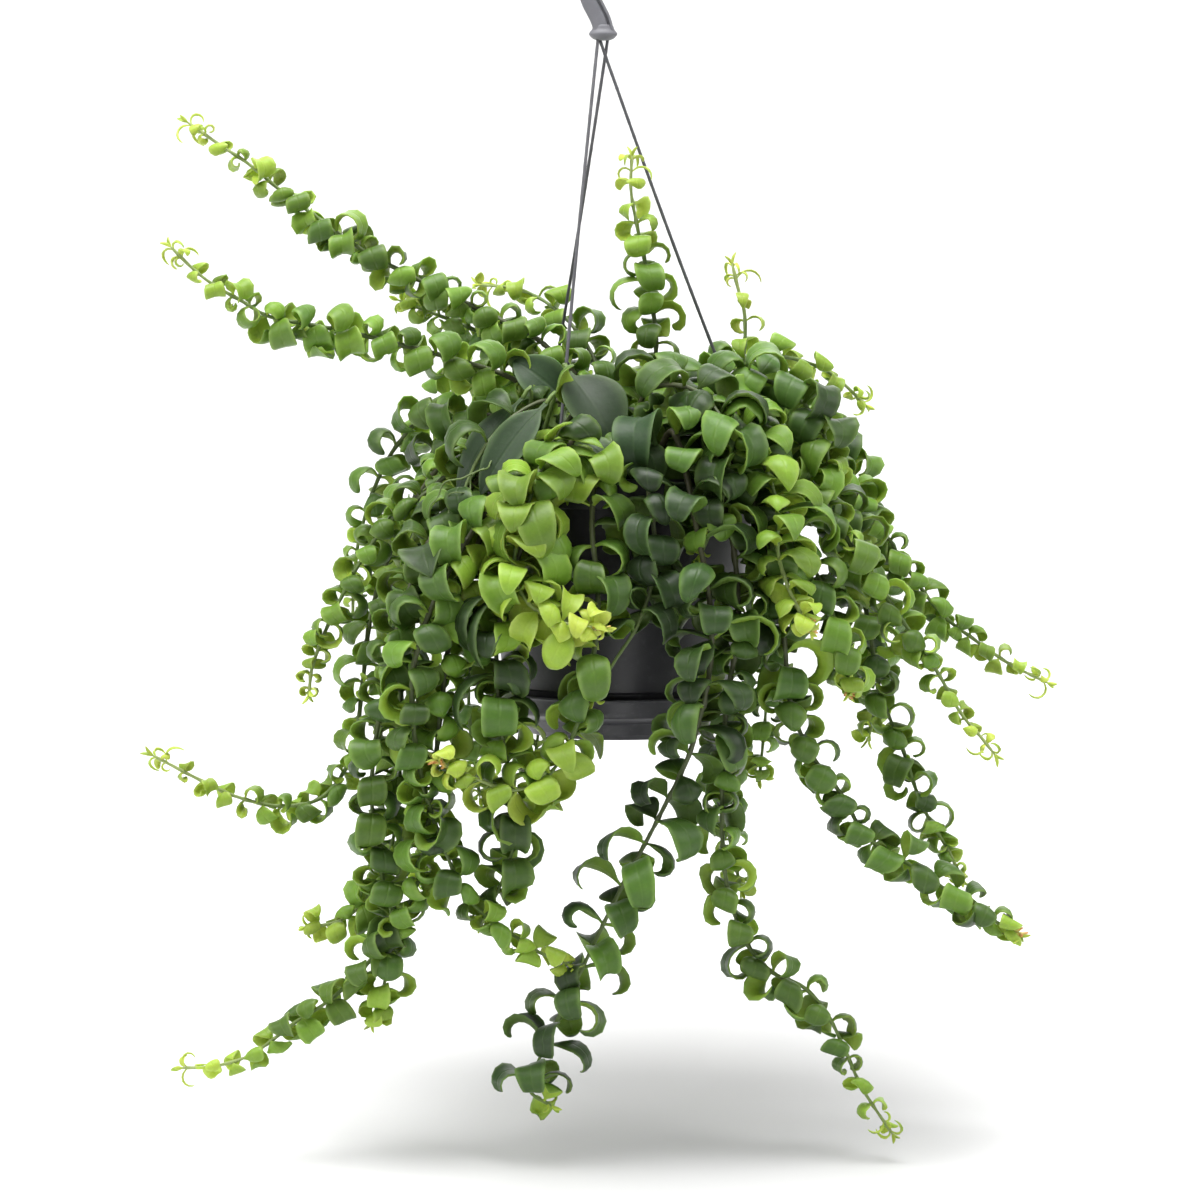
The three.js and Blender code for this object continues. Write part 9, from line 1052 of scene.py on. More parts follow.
     172.8,256,31,37.3,13.8,217,0.5,0.42,0.01, 182,184,21,20.3,13.2,219,-5.9,0.58,0.12, 182,314,25,23.8,14.6,222,6,-0.1,0.12, 194.3,232,12,23.5,11.8,229,-5.8,0.1,0.28,
     194.3,63,12,25.4,12,221,4.7,-0.53,0.28, 205.7,321,18,21.7,13.1,255,-1,-0.08,0.42, 205.7,125,40,18.5,11.2,255,-4.3,-0.44,0.42, 217.5,102,38,15.6,11.6,242,1.3,-0.5,0.57,
     217.5,222,35,18.7,11.2,259,2.4,-0.16,0.57, 231,164,39,15.6,9.5,252,1.5,-0.01,0.73, 231,312,37,13.6,10.1,236,-1,-0.16,0.73, 246.3,243,34,8.8,6.2,147,1.1,0.07,0.93,
     246.3,36,33,10.3,5.7,162,-1.2,-0.14,0.93]),
    ('shoot_back_up', 1.6, 0.8, 0.42, 1, 0, [(-2,26,-293),(-2,26,-275),(-6,34,-236),(-14,52,-206),(-30,72,-184),(-52,92,-170),(-78,108,-166)],
    [26.8,201,20,26.5,13.5,221,-6.5,-0.08,0, 26.8,26,37,25.4,12.5,249,5.4,0.52,0, 36.4,279,7,36.9,13.8,231,5.8,-0.22,0, 36.4,92,34,36.3,13.4,212,-3.3,0.25,0,
     45.4,7,8,26.3,12,245,-5,-0.5,0, 45.4,206,40,26.8,13.4,233,7.8,-0.02,0, 54.6,106,31,34.6,13.5,215,5.8,0.05,0, 54.6,260,16,34.7,14.5,226,4.6,0.04,0,
     65.1,214,9,36.6,13.7,241,-7.2,-0.05,0, 65.1,18,48,28.7,14.5,212,3.1,0.25,0, 75,284,21,39.3,15.5,269,-3.4,0.08,0, 75,109,32,33.2,14.5,233,-4.1,0,0,
     83.9,332,27,33.6,15.6,277,-5.7,-0.23,0, 83.9,203,10,30.3,14.8,216,-2.9,-0.21,0, 94.8,125,32,35.7,14.8,252,-2.8,0.19,0, 94.8,269,18,30.1,14,258,-0.4,-0.06,0,
     105.1,210,18,32.4,14.3,210,4,0.15,0.03, 105.1,349,34,36.4,15,279,-6,-0.08,0.03, 115.5,288,35,35.1,13.2,255,1.5,0.21,0.15, 115.5,97,22,34.5,13.6,248,-3.9,-0.43,0.15,
     127.1,12,11,29.4,12.5,254,-3,0.03,0.28, 127.1,210,33,26.2,13.1,231,-2.1,0.03,0.28, 138.4,97,39,23,12.1,228,-2.2,0.1,0.4, 138.4,287,38,27.7,12.6,269,-3.5,-0.04,0.4,
     150.8,182,42,21.8,10.5,214,-0.8,-0.48,0.54, 150.8,350,15,31,10.9,262,-3.1,-0.02,0.54, 163,267,30,19.8,10.1,220,3.8,0.4,0.68, 163,101,9,16,11.3,227,-2.7,-0.48,0.68,
     177.3,44,33,13.2,8.1,283,-0.4,0.23,0.84, 177.3,213,35,11.6,9,241,2.5,-0.13,0.84, 190.2,117,52,10.4,5.8,143,-0.6,-0.11,0.98, 190.2,294,59,9.1,5.5,144,0.1,-0.14,0.98]),
    ('shoot_back_up_right', 1.6, 0.8, 0.4, 1, 0, [(26,24,-293),(26,24,-275),(36,34,-238),(58,54,-214),(86,76,-206),(116,94,-214),(140,106,-234)],
    [27.8,293,40,23.1,13.5,208,2.5,-0.01,0, 27.8,134,12,24.5,12.4,212,-3.1,0.25,0, 38.3,84,48,20.7,12.4,257,0.9,0.42,0, 38.3,183,30,30.6,12.1,264,-2.8,0,0,
     48.7,130,44,26.3,12.7,222,6.8,-0.21,0, 48.7,304,24,40,13.1,257,-1,-0.14,0, 59.1,222,38,37.7,14.9,283,4,-0.07,0, 59.1,69,36,27.7,15.7,261,6.2,0.02,0,
     68.2,263,36,27.9,14.7,242,3,-0.15,0, 68.2,126,31,37.6,15.5,218,-5.1,-0.44,0, 77.7,54,35,33.7,13.8,229,0.2,0.24,0, 77.7,186,46,29.8,14.8,233,2.1,-0.22,0,
     88.5,89,18,27.6,13.8,232,6.8,-0.14,0, 88.5,339,28,30.7,14.9,232,-7.4,-0.43,0, 97.8,272,29,24.2,15.8,272,4,-0.22,0, 97.8,15,45,46,13.6,279,-4,-0.39,0,
     107.8,324,22,34.3,13.8,217,2.3,0.41,0, 107.8,116,21,37.5,13.7,217,-5.9,-0.22,0, 118.2,46,31,33.1,15.4,263,-6.4,-0.03,0.06, 118.2,238,21,31.6,15.5,279,0.5,-0.01,0.06,
     128.8,110,28,29.4,13.1,265,5.1,-0.41,0.17, 128.8,319,27,26.8,12.5,280,-1.5,0.16,0.17, 140.4,220,21,31.1,14,243,-0.1,-0.14,0.3, 140.4,26,28,26.4,13.3,257,2.7,-0.12,0.3,
     152,306,24,25.4,13,240,5.2,-0.04,0.43, 152,118,16,24.1,11.8,206,3.4,-0.03,0.43, 163.3,39,32,19.1,12.1,260,-3.3,-0.03,0.56, 163.3,231,27,23.5,11.2,212,1.7,0.48,0.56,
     176.9,146,36,18.2,9.1,226,1.8,0.52,0.71, 176.9,302,29,15.9,9.1,282,-1.5,0.04,0.71, 191.8,250,28,10.8,5.9,271,-1.6,0.09,0.87, 191.8,77,45,11.4,5.7,207,-1.7,0.11,0.87,
     198.7,296,55,9,6.1,171,0.7,0.13,0.95, 198.7,147,39,8.2,5.5,164,-1.4,-0.15,0.95]),
]

CROWN_LEAVES = [
    ('crown_leaf_left_outer', [(-51.7,-37.7,-293),(-51.7,-37.7,-275),(-47.8,-49.5,-252.7),(-46.2,-60.1,-221.7),(-50.8,-62,-226.6)], (-0.658,-0.275,-0.701), (-0.351,-0.711,0.609), 60, 17, 28, 0, 0.16),
    ('crown_leaf_left_inner', [(-43.1,-47.3,-293),(-43.1,-47.3,-275),(-41.3,-61.3,-252),(-33.6,-77.4,-224.1),(-38,-80,-228.8)], (-0.64,-0.375,-0.671), (-0.164,-0.786,0.596), 58, 20, 30, 0, 0.14),
    ('crown_leaf_center', [(-6.2,-39,-293),(-6.2,-39,-275),(-16.9,-53.8,-252.8),(-28.1,-62.3,-209.8),(-26.7,-66,-213.5)], (0.524,-0.658,-0.54), (0.026,-0.621,0.783), 50, 30, 40, 0, 0.22),
    ('crown_leaf_folded', [(18,-37.5,-293),(18,-37.5,-275),(16,-56.6,-249.9),(20.9,-71.7,-258.2),(19.2,-74,-251.9)], (-0.247,-0.333,0.91), (0.233,0.891,0.39), 64, 21, 215, 4, 0.2),
    ('crown_leaf_back', [(-44.5,-13.3,-293),(-44.5,-13.3,-275),(-37.9,-23.7,-252),(-23.2,-36.4,-233.6),(-28,-38,-228.8)], (-0.685,-0.23,0.692), (0.406,-0.908,0.1), 36, 22, 40, 0, 0.18),
]

# ------------------------------------------------------------------ shoots
STEM_STRIP = 0.07       # share of the UV square that the stem takes


# how late the curl sets in, how blunt the blade is, and how far it turns about its own axis
FORMS = {
    "shoot_center_low": (1.5, 0.46, 14),
    "shoot_lime_front": (1.1, 0.62, 14),
    "shoot_lime_right": (1.1, 0.70, 18),
    "shoot_top_right": (1.0, 0.70, 25),
    "shoot_top_center": (1.0, 0.50, 26),
}


def helix(pts, radius, turns, steps=150):
    """A thin tendril: a wire wound loosely about a line."""
    line = Line(pts)
    s_ = np.linspace(0, line.total, steps)
    P, T, U, S = line.frame(s_)
    f = np.clip(s_ / line.total * 1.5 - 0.3, 0, 1) * radius
    a = s_ / line.total * turns * 2 * math.pi
    c = P + U * (f * np.cos(a))[:, None] + S * (f * np.sin(a))[:, None]
    w = Line(c[::3])
    s2 = np.linspace(0, w.total, steps * 2)
    P, T, U, S = w.frame(s2)
    r = 0.62 * (1 - 0.55 * s2 / w.total)
    return tube_rings(P, T, U, S, r[:, None] * np.ones((1, 7)), 7)


def build_shoot(name, r0, r1, lime, whip, tip, pts, flat):
    line = Line(pts)
    tab = np.array(flat, float).reshape(-1, 9)
    s, roll, lift, L, W, curl, drift, V, young = tab.T
    seed = sum(ord(ch) * (i + 3) for i, ch in enumerate(name))
    R = np.random.default_rng(seed)
    bag = Bag()
    # stem
    total = line.total
    m = int(total / 3.2)
    ss = np.linspace(0, total, m)
    P, T, U, S = line.frame(ss)
    rr = r0 + (r1 - r0) * (ss / total) ** 0.8
    swell = np.zeros(m)
    for q in np.unique(np.round(s, 1)):
        swell = np.maximum(swell, np.exp(-((ss - q) / 2.2) ** 2))
    rr = rr * (1 + 0.30 * swell) * (1 + 0.05 * R.standard_normal(m))
    rr[-1] *= 0.5
    sides = 10
    ripple_ = 1 + 0.05 * R.standard_normal((m, sides))
    rings = tube_rings(P, T, U, S, rr[:, None] * ripple_, sides)
    strips = 6
    cut = np.linspace(0, m - 1, strips + 1).astype(int)
    age = np.clip(0.05 + 0.95 * (ss / total) ** 1.6, 0, 1) * (0.55 + 0.45 * min(1, lime * 1.6))
    # one skin, built as one ring stack, with its UVs in one cell along the top of the square
    stem_uv_rows = np.zeros(m)
    bag.add(rings[None], 1, [(0.0, 1 - STEM_STRIP, 1.0, 1.0)], age[None, :, None], 1.0, 0.5, (ss / total)[None, :, None], 0.5)
    # leaves
    k = len(s)
    Pb, Tb, N, d, n = leaf_base(line, s, roll, lift)
    rs = np.interp(s, ss, rr)
    base = Pb + N * (rs * 0.35)[:, None]
    thick = 1.55 * np.clip(W / 14.0, 0.12, 1.3) ** 0.55 * (0.90 + 0.22 * R.random(k))
    rip = np.stack([5 + 7 * R.random(k), 6.28 * R.random(k), 0.06 + 0.16 * R.random(k)])
    late, blunt, turn = FORMS.get(name, (0.84, 0.46, 20))
    form = np.stack([R.normal(0, turn, k), late + 0.42 * R.random(k), 0.74 + 0.28 * R.random(k), blunt + 0.22 * R.random(k)])
    form[3] = np.where(curl < 90, 0.95, form[3])
    curl = np.where(curl > 150, curl * 1.06, curl)
    W = W * 1.05
    out_ = np.hypot(base[:, 0], base[:, 1])
    # Leaves close in under the crown, near the pot, get a lower age value and so a darker green: painted shade.
    painted_shade_depth = np.clip((128 - out_) / 50, 0, 1) * np.clip((-262 - base[:, 2]) / 40, 0, 1) * np.clip((base[:, 2] + 455) / 40, 0, 1)
    grade = np.clip(0.40 + 0.72 * s / s.max(), 0, 1) if lime > 0.6 else 1.0
    la = np.clip(lime * grade * 0.78 + 0.02 + (0.60 if lime < 0.6 else 0.30) * young ** 1.4 * (0.55 + lime) + 0.06 * R.standard_normal(k) - 0.26 * painted_shade_depth * (lime < 0.5), 0, 1)
    lr = R.random(k)
    room = 1 - STEM_STRIP
    big = L >= 24
    nb = int(big.sum())
    split = room * (nb * 1.0) / max(nb + 0.55 * (k - nb), 1)
    for pick, xs, ju, v0, v1 in ((big, XS, JU, 0.0, split), (~big, XS_SMALL, JU_SMALL, split, room)):
        if pick.any():
            X, Xx, J, Sd = leaves(base[pick], d[pick], n[pick], L[pick], W[pick], curl[pick], drift[pick], V[pick], thick[pick], rip[:, pick], xs, ju, *form[:, pick])
            bag.add(X, 0, cells_for(int(pick.sum()), v0, v1), la[pick], Sd, J, Xx, lr[pick])
    # the growing tip: a folded pair, and below it a pair just opening
    Pe, Te, Ue, Se = (a[-1] for a in (P, T, U, S))
    tl, tw_, tc, out_, back = [], [], [], [], []
    turn0 = R.random() * 3.14
    threads = ((15, 2.2, 170, 0.9), (14, 2.0, 200, 0.9), (12, 1.6, 240, 1.1), (16, 2.0, 150, 1.2)) if whip else ((9, 3.0, 110, 0.8), (8.5, 2.8, 95, 0.8))
    for q, (ln, wd, cu, sp) in enumerate(((6.5, 2.6, 25, 0.35), (6.0, 2.3, 20, 0.35)) + threads):
        a = turn0 + (q % 2) * math.pi + (q // 2) * math.pi / 2
        Nq = Ue * math.cos(a) + Se * math.sin(a)
        dd = unit(Te + Nq * sp)
        out_.append(dd)
        back.append(unit((Te - Nq) - ((Te - Nq) * dd).sum() * dd))
        tl.append(ln * (0.8 + 0.5 * R.random())), tw_.append(wd), tc.append(cu * (0.8 + 0.4 * R.random()))
    q = len(tl)
    tipP = np.stack([Pe - Te * (1.0 if i < 2 else 3.0 if i < 4 else 9.0) for i in range(q)])
    X, Xx, J, Sd = leaves(tipP, np.array(out_), np.array(back), tl, tw_, tc, R.normal(0, 0.6, q), np.full(q, 0.5), np.full(q, 0.8), None, XS_SMALL, JU_SMALL)
    bag.add(X, 0, [(0.0, 0.0, 0.004, 0.004)] * q, np.full(q, min(1.0, 0.55 + lime * 0.6)), Sd, J, Xx, R.random(q))
    if tip:
        q = 6 + 4 * tip
        a = R.random(q) * 6.283
        Nq = Ue * np.cos(a)[:, None] + Se * np.sin(a)[:, None]
        dd = unit(Te[None] + Nq * (0.3 + 0.9 * R.random(q))[:, None])
        nn = unit(Te[None] - (dd * Te).sum(1)[:, None] * dd)
        at_ = Pe[None] - Te[None] * (R.random(q) * (2.0 + 4.0 * tip))[:, None]
        X, Xx, J, Sd = leaves(at_, dd, nn, 3.5 + 3.5 * R.random(q), 1.6 + 1.2 * R.random(q), 20 + 40 * R.random(q), np.zeros(q), np.full(q, 0.3), np.full(q, 1.1), None, XS_SMALL, JU_SMALL)
        bag.add(X, 2, [(0.005, 0.0, 0.009, 0.004)] * q, 0.5, Sd, J, Xx, R.random(q))
    if name == "shoot_crown_left":
        for pts_, rad_2, turns_ in (([(-55, -72, -250), (-66, -90, -258), (-75, -98, -267), (-84, -101, -276), (-91, -102, -283)], 3.4, 3.6),
                                    ([(-70, -92, -262), (-80, -99, -266), (-90, -101, -270), (-97, -99, -279), (-94, -98, -290)], 2.6, 2.4)):
            hx = helix(pts_, rad_2, turns_)
            bag.add(hx[None], 1, [(0.01, 0.0, 0.02, 0.006)], 0.45, 1.0, 0.5, 0.4, 0.5)
    return bag, line, la


COLS = {}
for name, r0, r1, lime, whip, tip, pts, flat in SHOOTS:
    bag, line, la = build_shoot(name, r0, r1, lime, whip, tip, pts, flat)
    COLS[name] = (bag, line)
    slot = "foliage_lime" if lime > 0.45 else "foliage_green" if lime > 0.2 else "foliage_dark"
    bag.piece(name + "_leafy", [LEAF, STEM, BUD], name, slot)

# ------------------------------------------------------------------ single crown leaves
XC = np.concatenate([np.linspace(0, 0.12, 5), np.linspace(0.17, 0.9, 16), [0.94, 0.97, 0.985, 0.995]])
JC = np.array([-1, -0.965, -0.88, -0.74, -0.56, -0.36, -0.17, 0, 0.17, 0.36, 0.56, 0.74, 0.88, 0.965])
for name, pts, d, n, L, W, curl, drift, V in CROWN_LEAVES:
    line = Line(pts)
    ss = np.linspace(0, line.total, int(line.total / 2.5))
    P, T, U, S = line.frame(ss)
    bag = Bag()
    R = np.random.default_rng(len(name) * 77)
    rr = np.linspace(1.45, 1.15, len(ss))[:, None] * (1 + 0.03 * R.standard_normal((len(ss), 12)))
    bag.add(tube_rings(P, T, U, S, rr, 12)[None], 1, [(0.0, 0.9, 1.0, 1.0)], np.linspace(0.1, 0.6, len(ss))[None, :, None], 1.0, 0.5, 0.5, 0.5)
    d, n = np.array([d], float), np.array([n], float)
    d = unit(d)
    n = unit(n - (n * d).sum(1)[:, None] * d)
    X, Xx, J, Sd = leaves(np.array([pts[-1]], float) - d * 0.6, d, n, [L * 1.04], [W * 1.12], [curl * 1.15], [drift], [V * 1.7], [2.0],
                          (np.array([9.0]), np.array([R.random() * 6]), np.array([0.06])), xs=XC, ju=JC)
    bag.add(X, 0, [(0.0, 0.0, 1.0, 0.88)], [0.35], Sd, J, Xx, [R.random()])
    bag.piece(name + "_blade", [CROWN, STEM], name, "foliage_dark")


# ------------------------------------------------------------------ turned plastic pieces
def turned(name, profile, segments, mat, node, slot, squash=1.0, at=(0, 0), recess=None, closed=True):
    """Profile points [radius, height] in millimetres, going round the section; sharp corners are given small fillets."""
    prof = np.array(profile, float)
    m = len(prof)
    ang = np.linspace(0, 2 * np.pi, segments, endpoint=False)
    c, s_ = np.cos(ang), np.sin(ang) * squash
    V_ = np.stack([prof[None, :, 0] * c[:, None] + at[0], prof[None, :, 0] * s_[:, None] + at[1], np.broadcast_to(prof[None, :, 1], (segments, m))], -1).reshape(-1, 3)
    F, UVs = [], []
    lens = np.concatenate([[0], np.cumsum(np.linalg.norm(np.diff(np.vstack([prof, prof[:1]]), axis=0), axis=1))])
    lens = lens / lens[-1]
    for i in range(segments):
        i2 = (i + 1) % segments
        for k in range(m if closed else m - 1):
            k2 = (k + 1) % m
            F.append((i * m + k, i * m + k2, i2 * m + k2, i2 * m + k)[::-1])
            u0, u1 = i / segments, (i + 1) / segments
            v0, v1 = lens[k], lens[k + 1]
            UVs += [(u0, v0), (u0, v1), (u1, v1), (u1, v0)][::-1]
    if not closed:
        F.append(tuple(i * m for i in range(segments)))
        UVs += [(0.5 + 0.001 * math.cos(a), 0.0005 + 0.0004 * math.sin(a)) for a in ang]
        F.append(tuple(i * m + m - 1 for i in range(segments))[::-1])
        UVs += [(0.5 + 0.001 * math.cos(a), 0.9995 + 0.0004 * math.sin(a)) for a in ang][::-1]
    return V_, F, UVs


def fillet(profile, radius, steps=4, closed=True):
    """Rounds the corners of a profile."""
    p = np.array(profile, float)
    out = []
    m = len(p)
    for i in range(m):
        if not closed and i in (0, m - 1):
            out.append(p[i])
            continue
        a, b, c = p[i - 1], p[i], p[(i + 1) % m]
        la, lc = np.linalg.norm(a - b), np.linalg.norm(c - b)
        r = min(radius, 0.42 * la, 0.42 * lc)
        q0, q1 = b + (a - b) / la * r, b + (c - b) / lc * r
        for t in np.linspace(0, 1, steps):
            out.append((1 - t) ** 2 * q0 + 2 * t * (1 - t) * b + t * t * q1)
    return out


FLOOR_Z, RIM, FOOT = -391.0, -268.0, -407.7
pot_profile = fillet([
    (1.0, FLOOR_Z), (54.5, FLOOR_Z), (55.0, FLOOR_Z - 4.1), (58.6, FLOOR_Z - 4.1), (59.6, FLOOR_Z + 1.0), (60.6, FLOOR_Z + 3), (61.2, FLOOR_Z + 9), (61.9, FLOOR_Z + 9.6),
    (73.0, RIM - 14.0), (74.2, RIM - 4), (78, RIM - 2.2), (81.8, RIM - 2.4), (82, RIM - 15.5), (83.5, RIM - 15.5), (83.6, RIM - 3.4), (83.1, RIM - 1.2), (82.2, RIM),
    (74.0, RIM), (72.4, RIM - 0.3), (71.6, RIM - 1.4), (58.6, FLOOR_Z + 3.6), (57, FLOOR_Z + 2), (1.0, FLOOR_Z + 2)], 0.9, 3)
V_, F_, UV_ = turned("pot", pot_profile, 160, POT_MAT, "pot", "pot_plastic")
make("pot_shell", V_, F_, [POT_MAT], uv=UV_, node="pot")

saucer_profile = fillet([
    (1.0, FOOT + 8), (45.5, FOOT + 8), (46.3, FOOT), (48.3, FOOT), (48.9, FOOT + 2.2), (49.3, FOOT + 2.6), (50.2, FOOT + 8.6), (58, FOOT + 10.6), (64.6, FOOT + 13), (65.2, FOOT + 15.2),
    (66.4, FOOT + 21.6), (67.0, FOOT + 22.2), (66.7, FOOT + 23.1), (65.6, FOOT + 23.2), (64.8, FOOT + 22.4), (63, FOOT + 14.4), (57.4, FOOT + 11.7), (49.6, FOOT + 10), (1.0, FOOT + 9.8)], 0.8, 3)
V_, F_, UV_ = turned("saucer", saucer_profile, 160, SAUCER_MAT, "saucer", "pot_plastic")
make("saucer_dish", V_, F_, [SAUCER_MAT], uv=UV_, node="saucer")

# ------------------------------------------------------------------ hanger
HOOK_W, HOOK_T, BOW = 10.8, 7.2, 15.9
hook_pts = [(BOW * math.cos(math.radians(a)), 0, -10.5 + BOW * math.sin(math.radians(a))) for a in np.arange(-7, 181, 15.58)]
hook_pts += [(-14.7, 0, -15.2), (-12.4, 0, -19.8), (-10.0, 0, -24.6), (-8.6, 0, -28.8), (-8.3, 0, -32.5)]
hl = Line(hook_pts)
ss = np.linspace(0, hl.total, 110)
t = np.interp(ss, hl.d, hl.t)
P = hl.at(t)
T = unit(hl.at(np.minimum(t + 1e-3, 1)) - hl.at(np.maximum(t - 1e-3, 0)))
Yv = np.broadcast_to(np.array([0, 1.0, 0]), P.shape)
Q = np.cross(T, Yv)     # across the bar, away from the bow's centre
Q = unit(Q)
if (Q[40] * (P[40] - np.array([0, 0, -10.5]))).sum() < 0:
    Q = -Q
hw, ht = HOOK_W / 2, HOOK_T / 2
# section (front-back, across; across grows towards the outside of the bow); the groove runs near the inner edge
sec = fillet([(-ht, hw - 1.2), (-ht + 1.2, hw), (ht - 1.2, hw), (ht, hw - 1.2), (ht, -hw + 2.9), (ht - 1.9, -hw + 2.8), (ht - 1.9, -hw + 1.5), (ht, -hw + 1.4),
              (ht, -hw + 0.6), (ht - 0.6, -hw), (-ht + 0.6, -hw), (-ht, -hw + 0.6), (-ht, -hw + 1.4), (-ht + 1.9, -hw + 1.5), (-ht + 1.9, -hw + 2.8), (-ht, -hw + 2.9)], 0.45, 3)
sec = np.array(sec)
taper = np.ones(len(ss))
endr = np.clip(ss / 2.2, 0, 1)
taper = np.sqrt(np.clip(1 - (1 - endr) ** 2, 0.05, 1))
rings = P[:, None] + Yv[:, None] * (sec[None, :, 0] * taper[:, None])[..., None] + Q[:, None] * (sec[None, :, 1] * taper[:, None])[..., None]
orient = np.cross(rings[50, 1] - rings[50, 0], T[50])
out_dir = rings[50, 0] - P[50]
bag = Bag()
one = 0.5
bag.add(rings[None], 0, [(0, 0.3, 1, 1)], one, one, one, one, one, flip=float((orient * out_dir).sum()) > 0)
FZ = -36.4
foot_prof = fillet([(0.4, FZ), (3.4, FZ), (5.9, FZ + 1.0), (7.4, FZ + 2.7), (7.7, FZ + 3.6), (7.2, FZ + 4.5), (5.9, FZ + 6.0), (5.3, FZ + 8.4), (0.4, FZ + 8.8)], 0.9, 4, closed=False)
fp = np.array(foot_prof)
a = np.linspace(0, 2 * np.pi, 40, endpoint=False)
fr = np.stack([fp[:, None, 0] * np.cos(a)[None] - 8.3, fp[:, None, 0] * np.sin(a)[None] * 0.74, np.broadcast_to(fp[:, None, 1], (len(fp), 40))], -1)
bag.add(fr[None], 0, [(0, 0, 1, 0.28)], one, one, one, one, one)
bag.piece("hook_moulded", [HOOK_MAT], "hanger_hook", "hanger_plastic")

CLIP_R = 76.5
tops = [(-9.4, 0.6, FZ + 2.2), (-6.2, 1.6, FZ + 2.2), (-11.3, -1.9, FZ + 2.2)]
bows = [-1.6, -1.6, 1.4]
for a, top, bow_, nm in zip((4.8, 124.8, 244.8), tops, bows, ("right", "left_back", "left_front")):
    ca, sa = math.cos(math.radians(a)), math.sin(math.radians(a))
    end = np.array([CLIP_R * ca, CLIP_R * sa, RIM + 3.2 + 0.4])
    start = np.array([top[0], top[1], FZ - 1.5])
    pts = [top, (top[0], top[1], FZ), start]
    for q in (0.12, 0.3, 0.5, 0.7, 0.88):
        o = bow_ * math.sin(math.pi * q)
        pts.append(start + (end - start) * q + np.array([ca * o, sa * o, 0]))
    pts.append(end)
    line = Line(pts)
    ss = np.linspace(0, line.total, 120)
    P, T, U, S = line.frame(ss)
    R = np.random.default_rng(int(a))
    r = 0.90 * (1 + 0.03 * np.sin(ss * 0.7 + a) + 0.03 * R.standard_normal(len(ss)))
    bag = Bag()
    bag.add(tube_rings(P, T, U, S, r[:, None] * np.ones((1, 10)), 10)[None], 0, [(0, 0, 1, 1)], one, one, one, one, one)
    bag.piece("strand_moulded_" + nm, [STRAND_MAT], "hanger_strand_" + nm, "hanger_plastic")
    cp = fillet([(0.3, RIM - 7.6), (1.1, RIM - 7.6), (2.1, RIM - 5.2), (2.1, RIM - 4.6), (1.4, RIM - 4.6), (1.4, RIM + 0.3), (2.4, RIM + 0.3), (2.4, RIM + 1.6), (1.2, RIM + 3.2), (0.3, RIM + 3.3)], 0.3, 3, closed=False)
    V_, F_, UV_ = turned("clip", cp, 24, HOOK_MAT, "", "", at=(CLIP_R * ca, CLIP_R * sa), closed=False)
    make("clip_moulded_" + nm, V_, F_, [STRAND_MAT], uv=UV_, node="strand_clip_" + nm)

# ------------------------------------------------------------------ potting mix: a rough top with bark and grit on the root ball
SOIL = -281.0
inside = lambda z: 58.6 + ((z - (FLOOR_Z + 3.6)) / (RIM - 1 - (FLOOR_Z + 3.6))) * (71.6 - 58.6)
nr, na = 26, 96
rad_ = np.linspace(0.02, 1, nr)
ang = np.linspace(0, 2 * np.pi, na, endpoint=False)
Rs = inside(SOIL) - 0.7
noise = rng.standard_normal((nr, na))
for _ in range(2):
    noise = (noise + np.roll(noise, 1, 1) + np.roll(noise, -1, 1) + np.vstack([noise[:1], noise[:-1]]) + np.vstack([noise[1:], noise[-1:]])) / 5
rr = rad_[:, None] * Rs * np.ones((1, na))
zz = SOIL + 3.2 * (1 - rad_[:, None] ** 2) + noise * 1.6
zz[-1] = SOIL - 0.3
top_rings = np.stack([rr * np.cos(ang), rr * np.sin(ang), zz], -1)[::-1]          # from the edge to the middle
side_z = np.array([FLOOR_Z + 2.4, FLOOR_Z + 4.4, -350, -320, -300])
side_r = np.array([55.5, 57.6, inside(-350) - 0.7, inside(-320) - 0.7, inside(-300) - 0.7])
side = np.stack([side_r[:, None] * np.cos(ang), side_r[:, None] * np.sin(ang), side_z[:, None] * np.ones((1, na))], -1)
bag = Bag()
bag.add(np.concatenate([side, top_rings])[None], 0, [(0, 0, 1, 0.8)], one, one, one, one, one)
# chips of bark and grit, lying in the surface
k = 260
ra = Rs * 0.95 * np.sqrt(rng.random(k))
an = rng.random(k) * 6.283
cx, cy = ra * np.cos(an), ra * np.sin(an)
cz = SOIL + 3.2 * (1 - (ra / Rs) ** 2) + 0.2 + rng.random(k) * 0.9
sz = np.stack([1.2 + 3.4 * rng.random(k), 0.9 + 2.0 * rng.random(k), 0.5 + 0.9 * rng.random(k)], 1)
th_, tilt = rng.random(k) * 6.283, (rng.random(k) - 0.5) * 1.0
lat = np.array([-0.98, -0.7, 0.0, 0.7, 0.98])
A8 = np.linspace(0, 2 * np.pi, 8, endpoint=False)
ring = np.stack([np.sqrt(1 - lat ** 2)[:, None] * np.cos(A8), np.sqrt(1 - lat ** 2)[:, None] * np.sin(A8), np.broadcast_to(lat[:, None], (5, 8))], -1)
body = ring[None] * (1 + 0.18 * rng.standard_normal((k, 5, 8, 1))) * sz[:, None, None]
ct, st = np.cos(tilt)[:, None, None], np.sin(tilt)[:, None, None]
bx, bz = body[..., 0] * ct - body[..., 2] * st, body[..., 0] * st + body[..., 2] * ct
cc, sn = np.cos(th_)[:, None, None], np.sin(th_)[:, None, None]
chips = np.stack([bx * cc - body[..., 1] * sn + cx[:, None, None], bx * sn + body[..., 1] * cc + cy[:, None, None], bz + cz[:, None, None]], -1)
bag.add(chips, 0, cells_for(k, 0.82, 1.0), one, one, one, one, one)
bag.piece("potting_mix", [SOIL_MAT], "root_ball", "potting_mix")
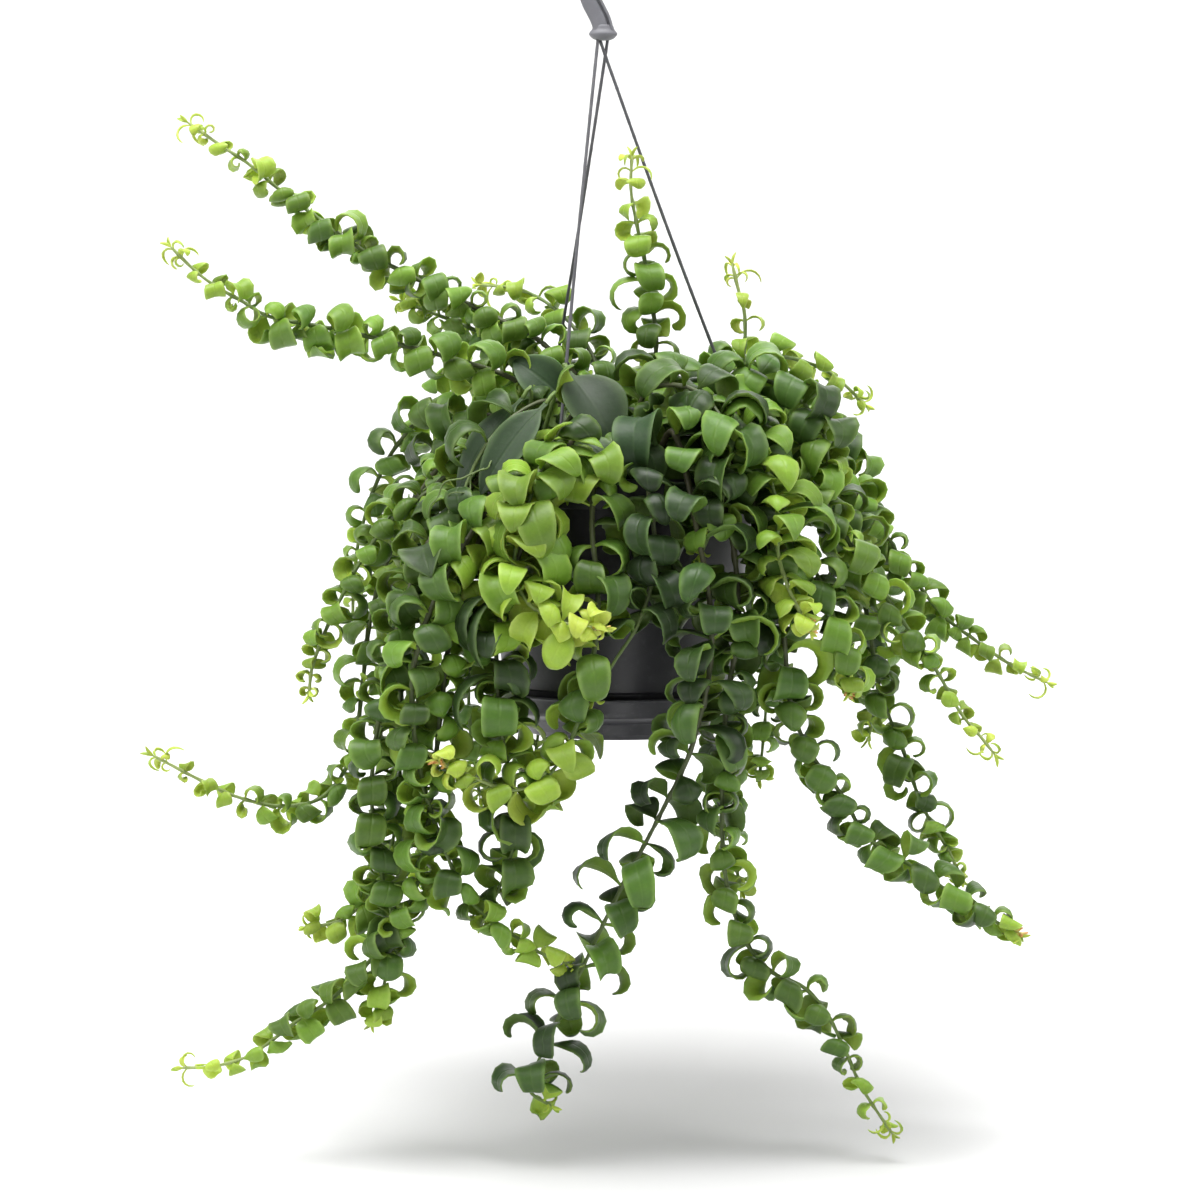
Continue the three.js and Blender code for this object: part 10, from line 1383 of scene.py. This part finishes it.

# ------------------------------------------------------------------ floor with a painted shadow, backdrop and soft light
FLOOR = -0.640
m = Nodes("floor_white_with_painted_shadow")
# The floor is painted darker in a soft, mottled patch about the point under the plant, fading to pale white further
# out: a painted shadow.
flat_ = m.n("ShaderNodeMapping")
flat_.inputs["Scale"].default_value = (1.0, 0.55, 0.0)
flat_.inputs["Location"].default_value = (-0.05, -0.02, 0.0)
m.put(flat_.inputs["Vector"], m.coords())
away = m.n("ShaderNodeVectorMath", operation="LENGTH")
m.put(away.inputs[0], flat_.outputs["Vector"])
painted_shadow_col = m.mix(m.step(m.noise(3, 2, 0.5), 0.3, 0.7), (0.535, 0.535, 0.535, 1), (0.55, 0.55, 0.548, 1))
m.done(m.mix(m.step(away.outputs["Value"], 0.03, 0.34), painted_shadow_col, (0.84, 0.84, 0.838, 1)), 0.75)
me = bpy.data.meshes.new("floor")
rise = FLOOR + 0.08 * 3.6
prof = [(-6.0, FLOOR - 0.08 * 4.6), (-1.4, FLOOR), (-0.2, FLOOR)] + [(3.4, rise)] + [(3.4 + 3.8 * math.sin(a_), rise + 3.8 - 3.8 * math.cos(a_)) for a_ in np.linspace(0.1, math.pi / 2, 14)] + [(7.2, 9.0)]
fv = [(x_, y_, z_) for (y_, z_) in prof for x_ in (-9.0, 9.0)]
me.from_pydata(fv, [], [(2 * i, 2 * i + 1, 2 * i + 3, 2 * i + 2) for i in range(len(prof) - 1)])
me.materials.append(m.mat)
me.polygons.foreach_set("use_smooth", np.ones(len(me.polygons), bool))
floor = bpy.data.objects.new("floor", me)
scene.collection.objects.link(floor)

world = bpy.data.worlds.new("studio")
world.use_nodes = True
world.node_tree.nodes["Background"].inputs["Color"].default_value = (1.0, 1.0, 1.0, 1.0)
world.node_tree.nodes["Background"].inputs["Strength"].default_value = 0.22
scene.world = world


def area(name, loc, aim, size, power, color=(1, 1, 1)):
    l = bpy.data.lights.new(name, "AREA")
    l.shape = "RECTANGLE"
    l.size, l.size_y = size
    l.energy = power
    l.color = color
    o = bpy.data.objects.new(name, l)
    o.location = loc
    o.rotation_euler = (Vector(aim) - Vector(loc)).to_track_quat("-Z", "Y").to_euler()
    scene.collection.objects.link(o)
    return o


area("top", (-0.1, -0.40, 1.60), (0, 0, -0.35), (1.7, 1.4), 74)
area("left", (-1.9, -0.7, 0.75), (0, 0, -0.35), (1.5, 1.6), 30)
area("right", (1.9, -0.5, 0.8), (0, 0, -0.35), (1.5, 1.6), 25)
area("front", (-0.5, -2.9, 0.4), (0, 0, -0.4), (1.0, 0.8), 6)
area("back", (0.3, 2.2, 1.2), (0, 0, -0.3), (2.2, 1.2), 20)
area("backdrop_low", (0, 2.6, 1.6), (0, 6.6, 0.2), (9.0, 1.6), 130)
area("backdrop_high", (0, 3.2, 4.2), (0, 7.2, 2.4), (9.0, 1.6), 140)
area("floor_far", (0, 1.6, 1.9), (0, 3.6, -0.4), (7.0, 1.2), 45)
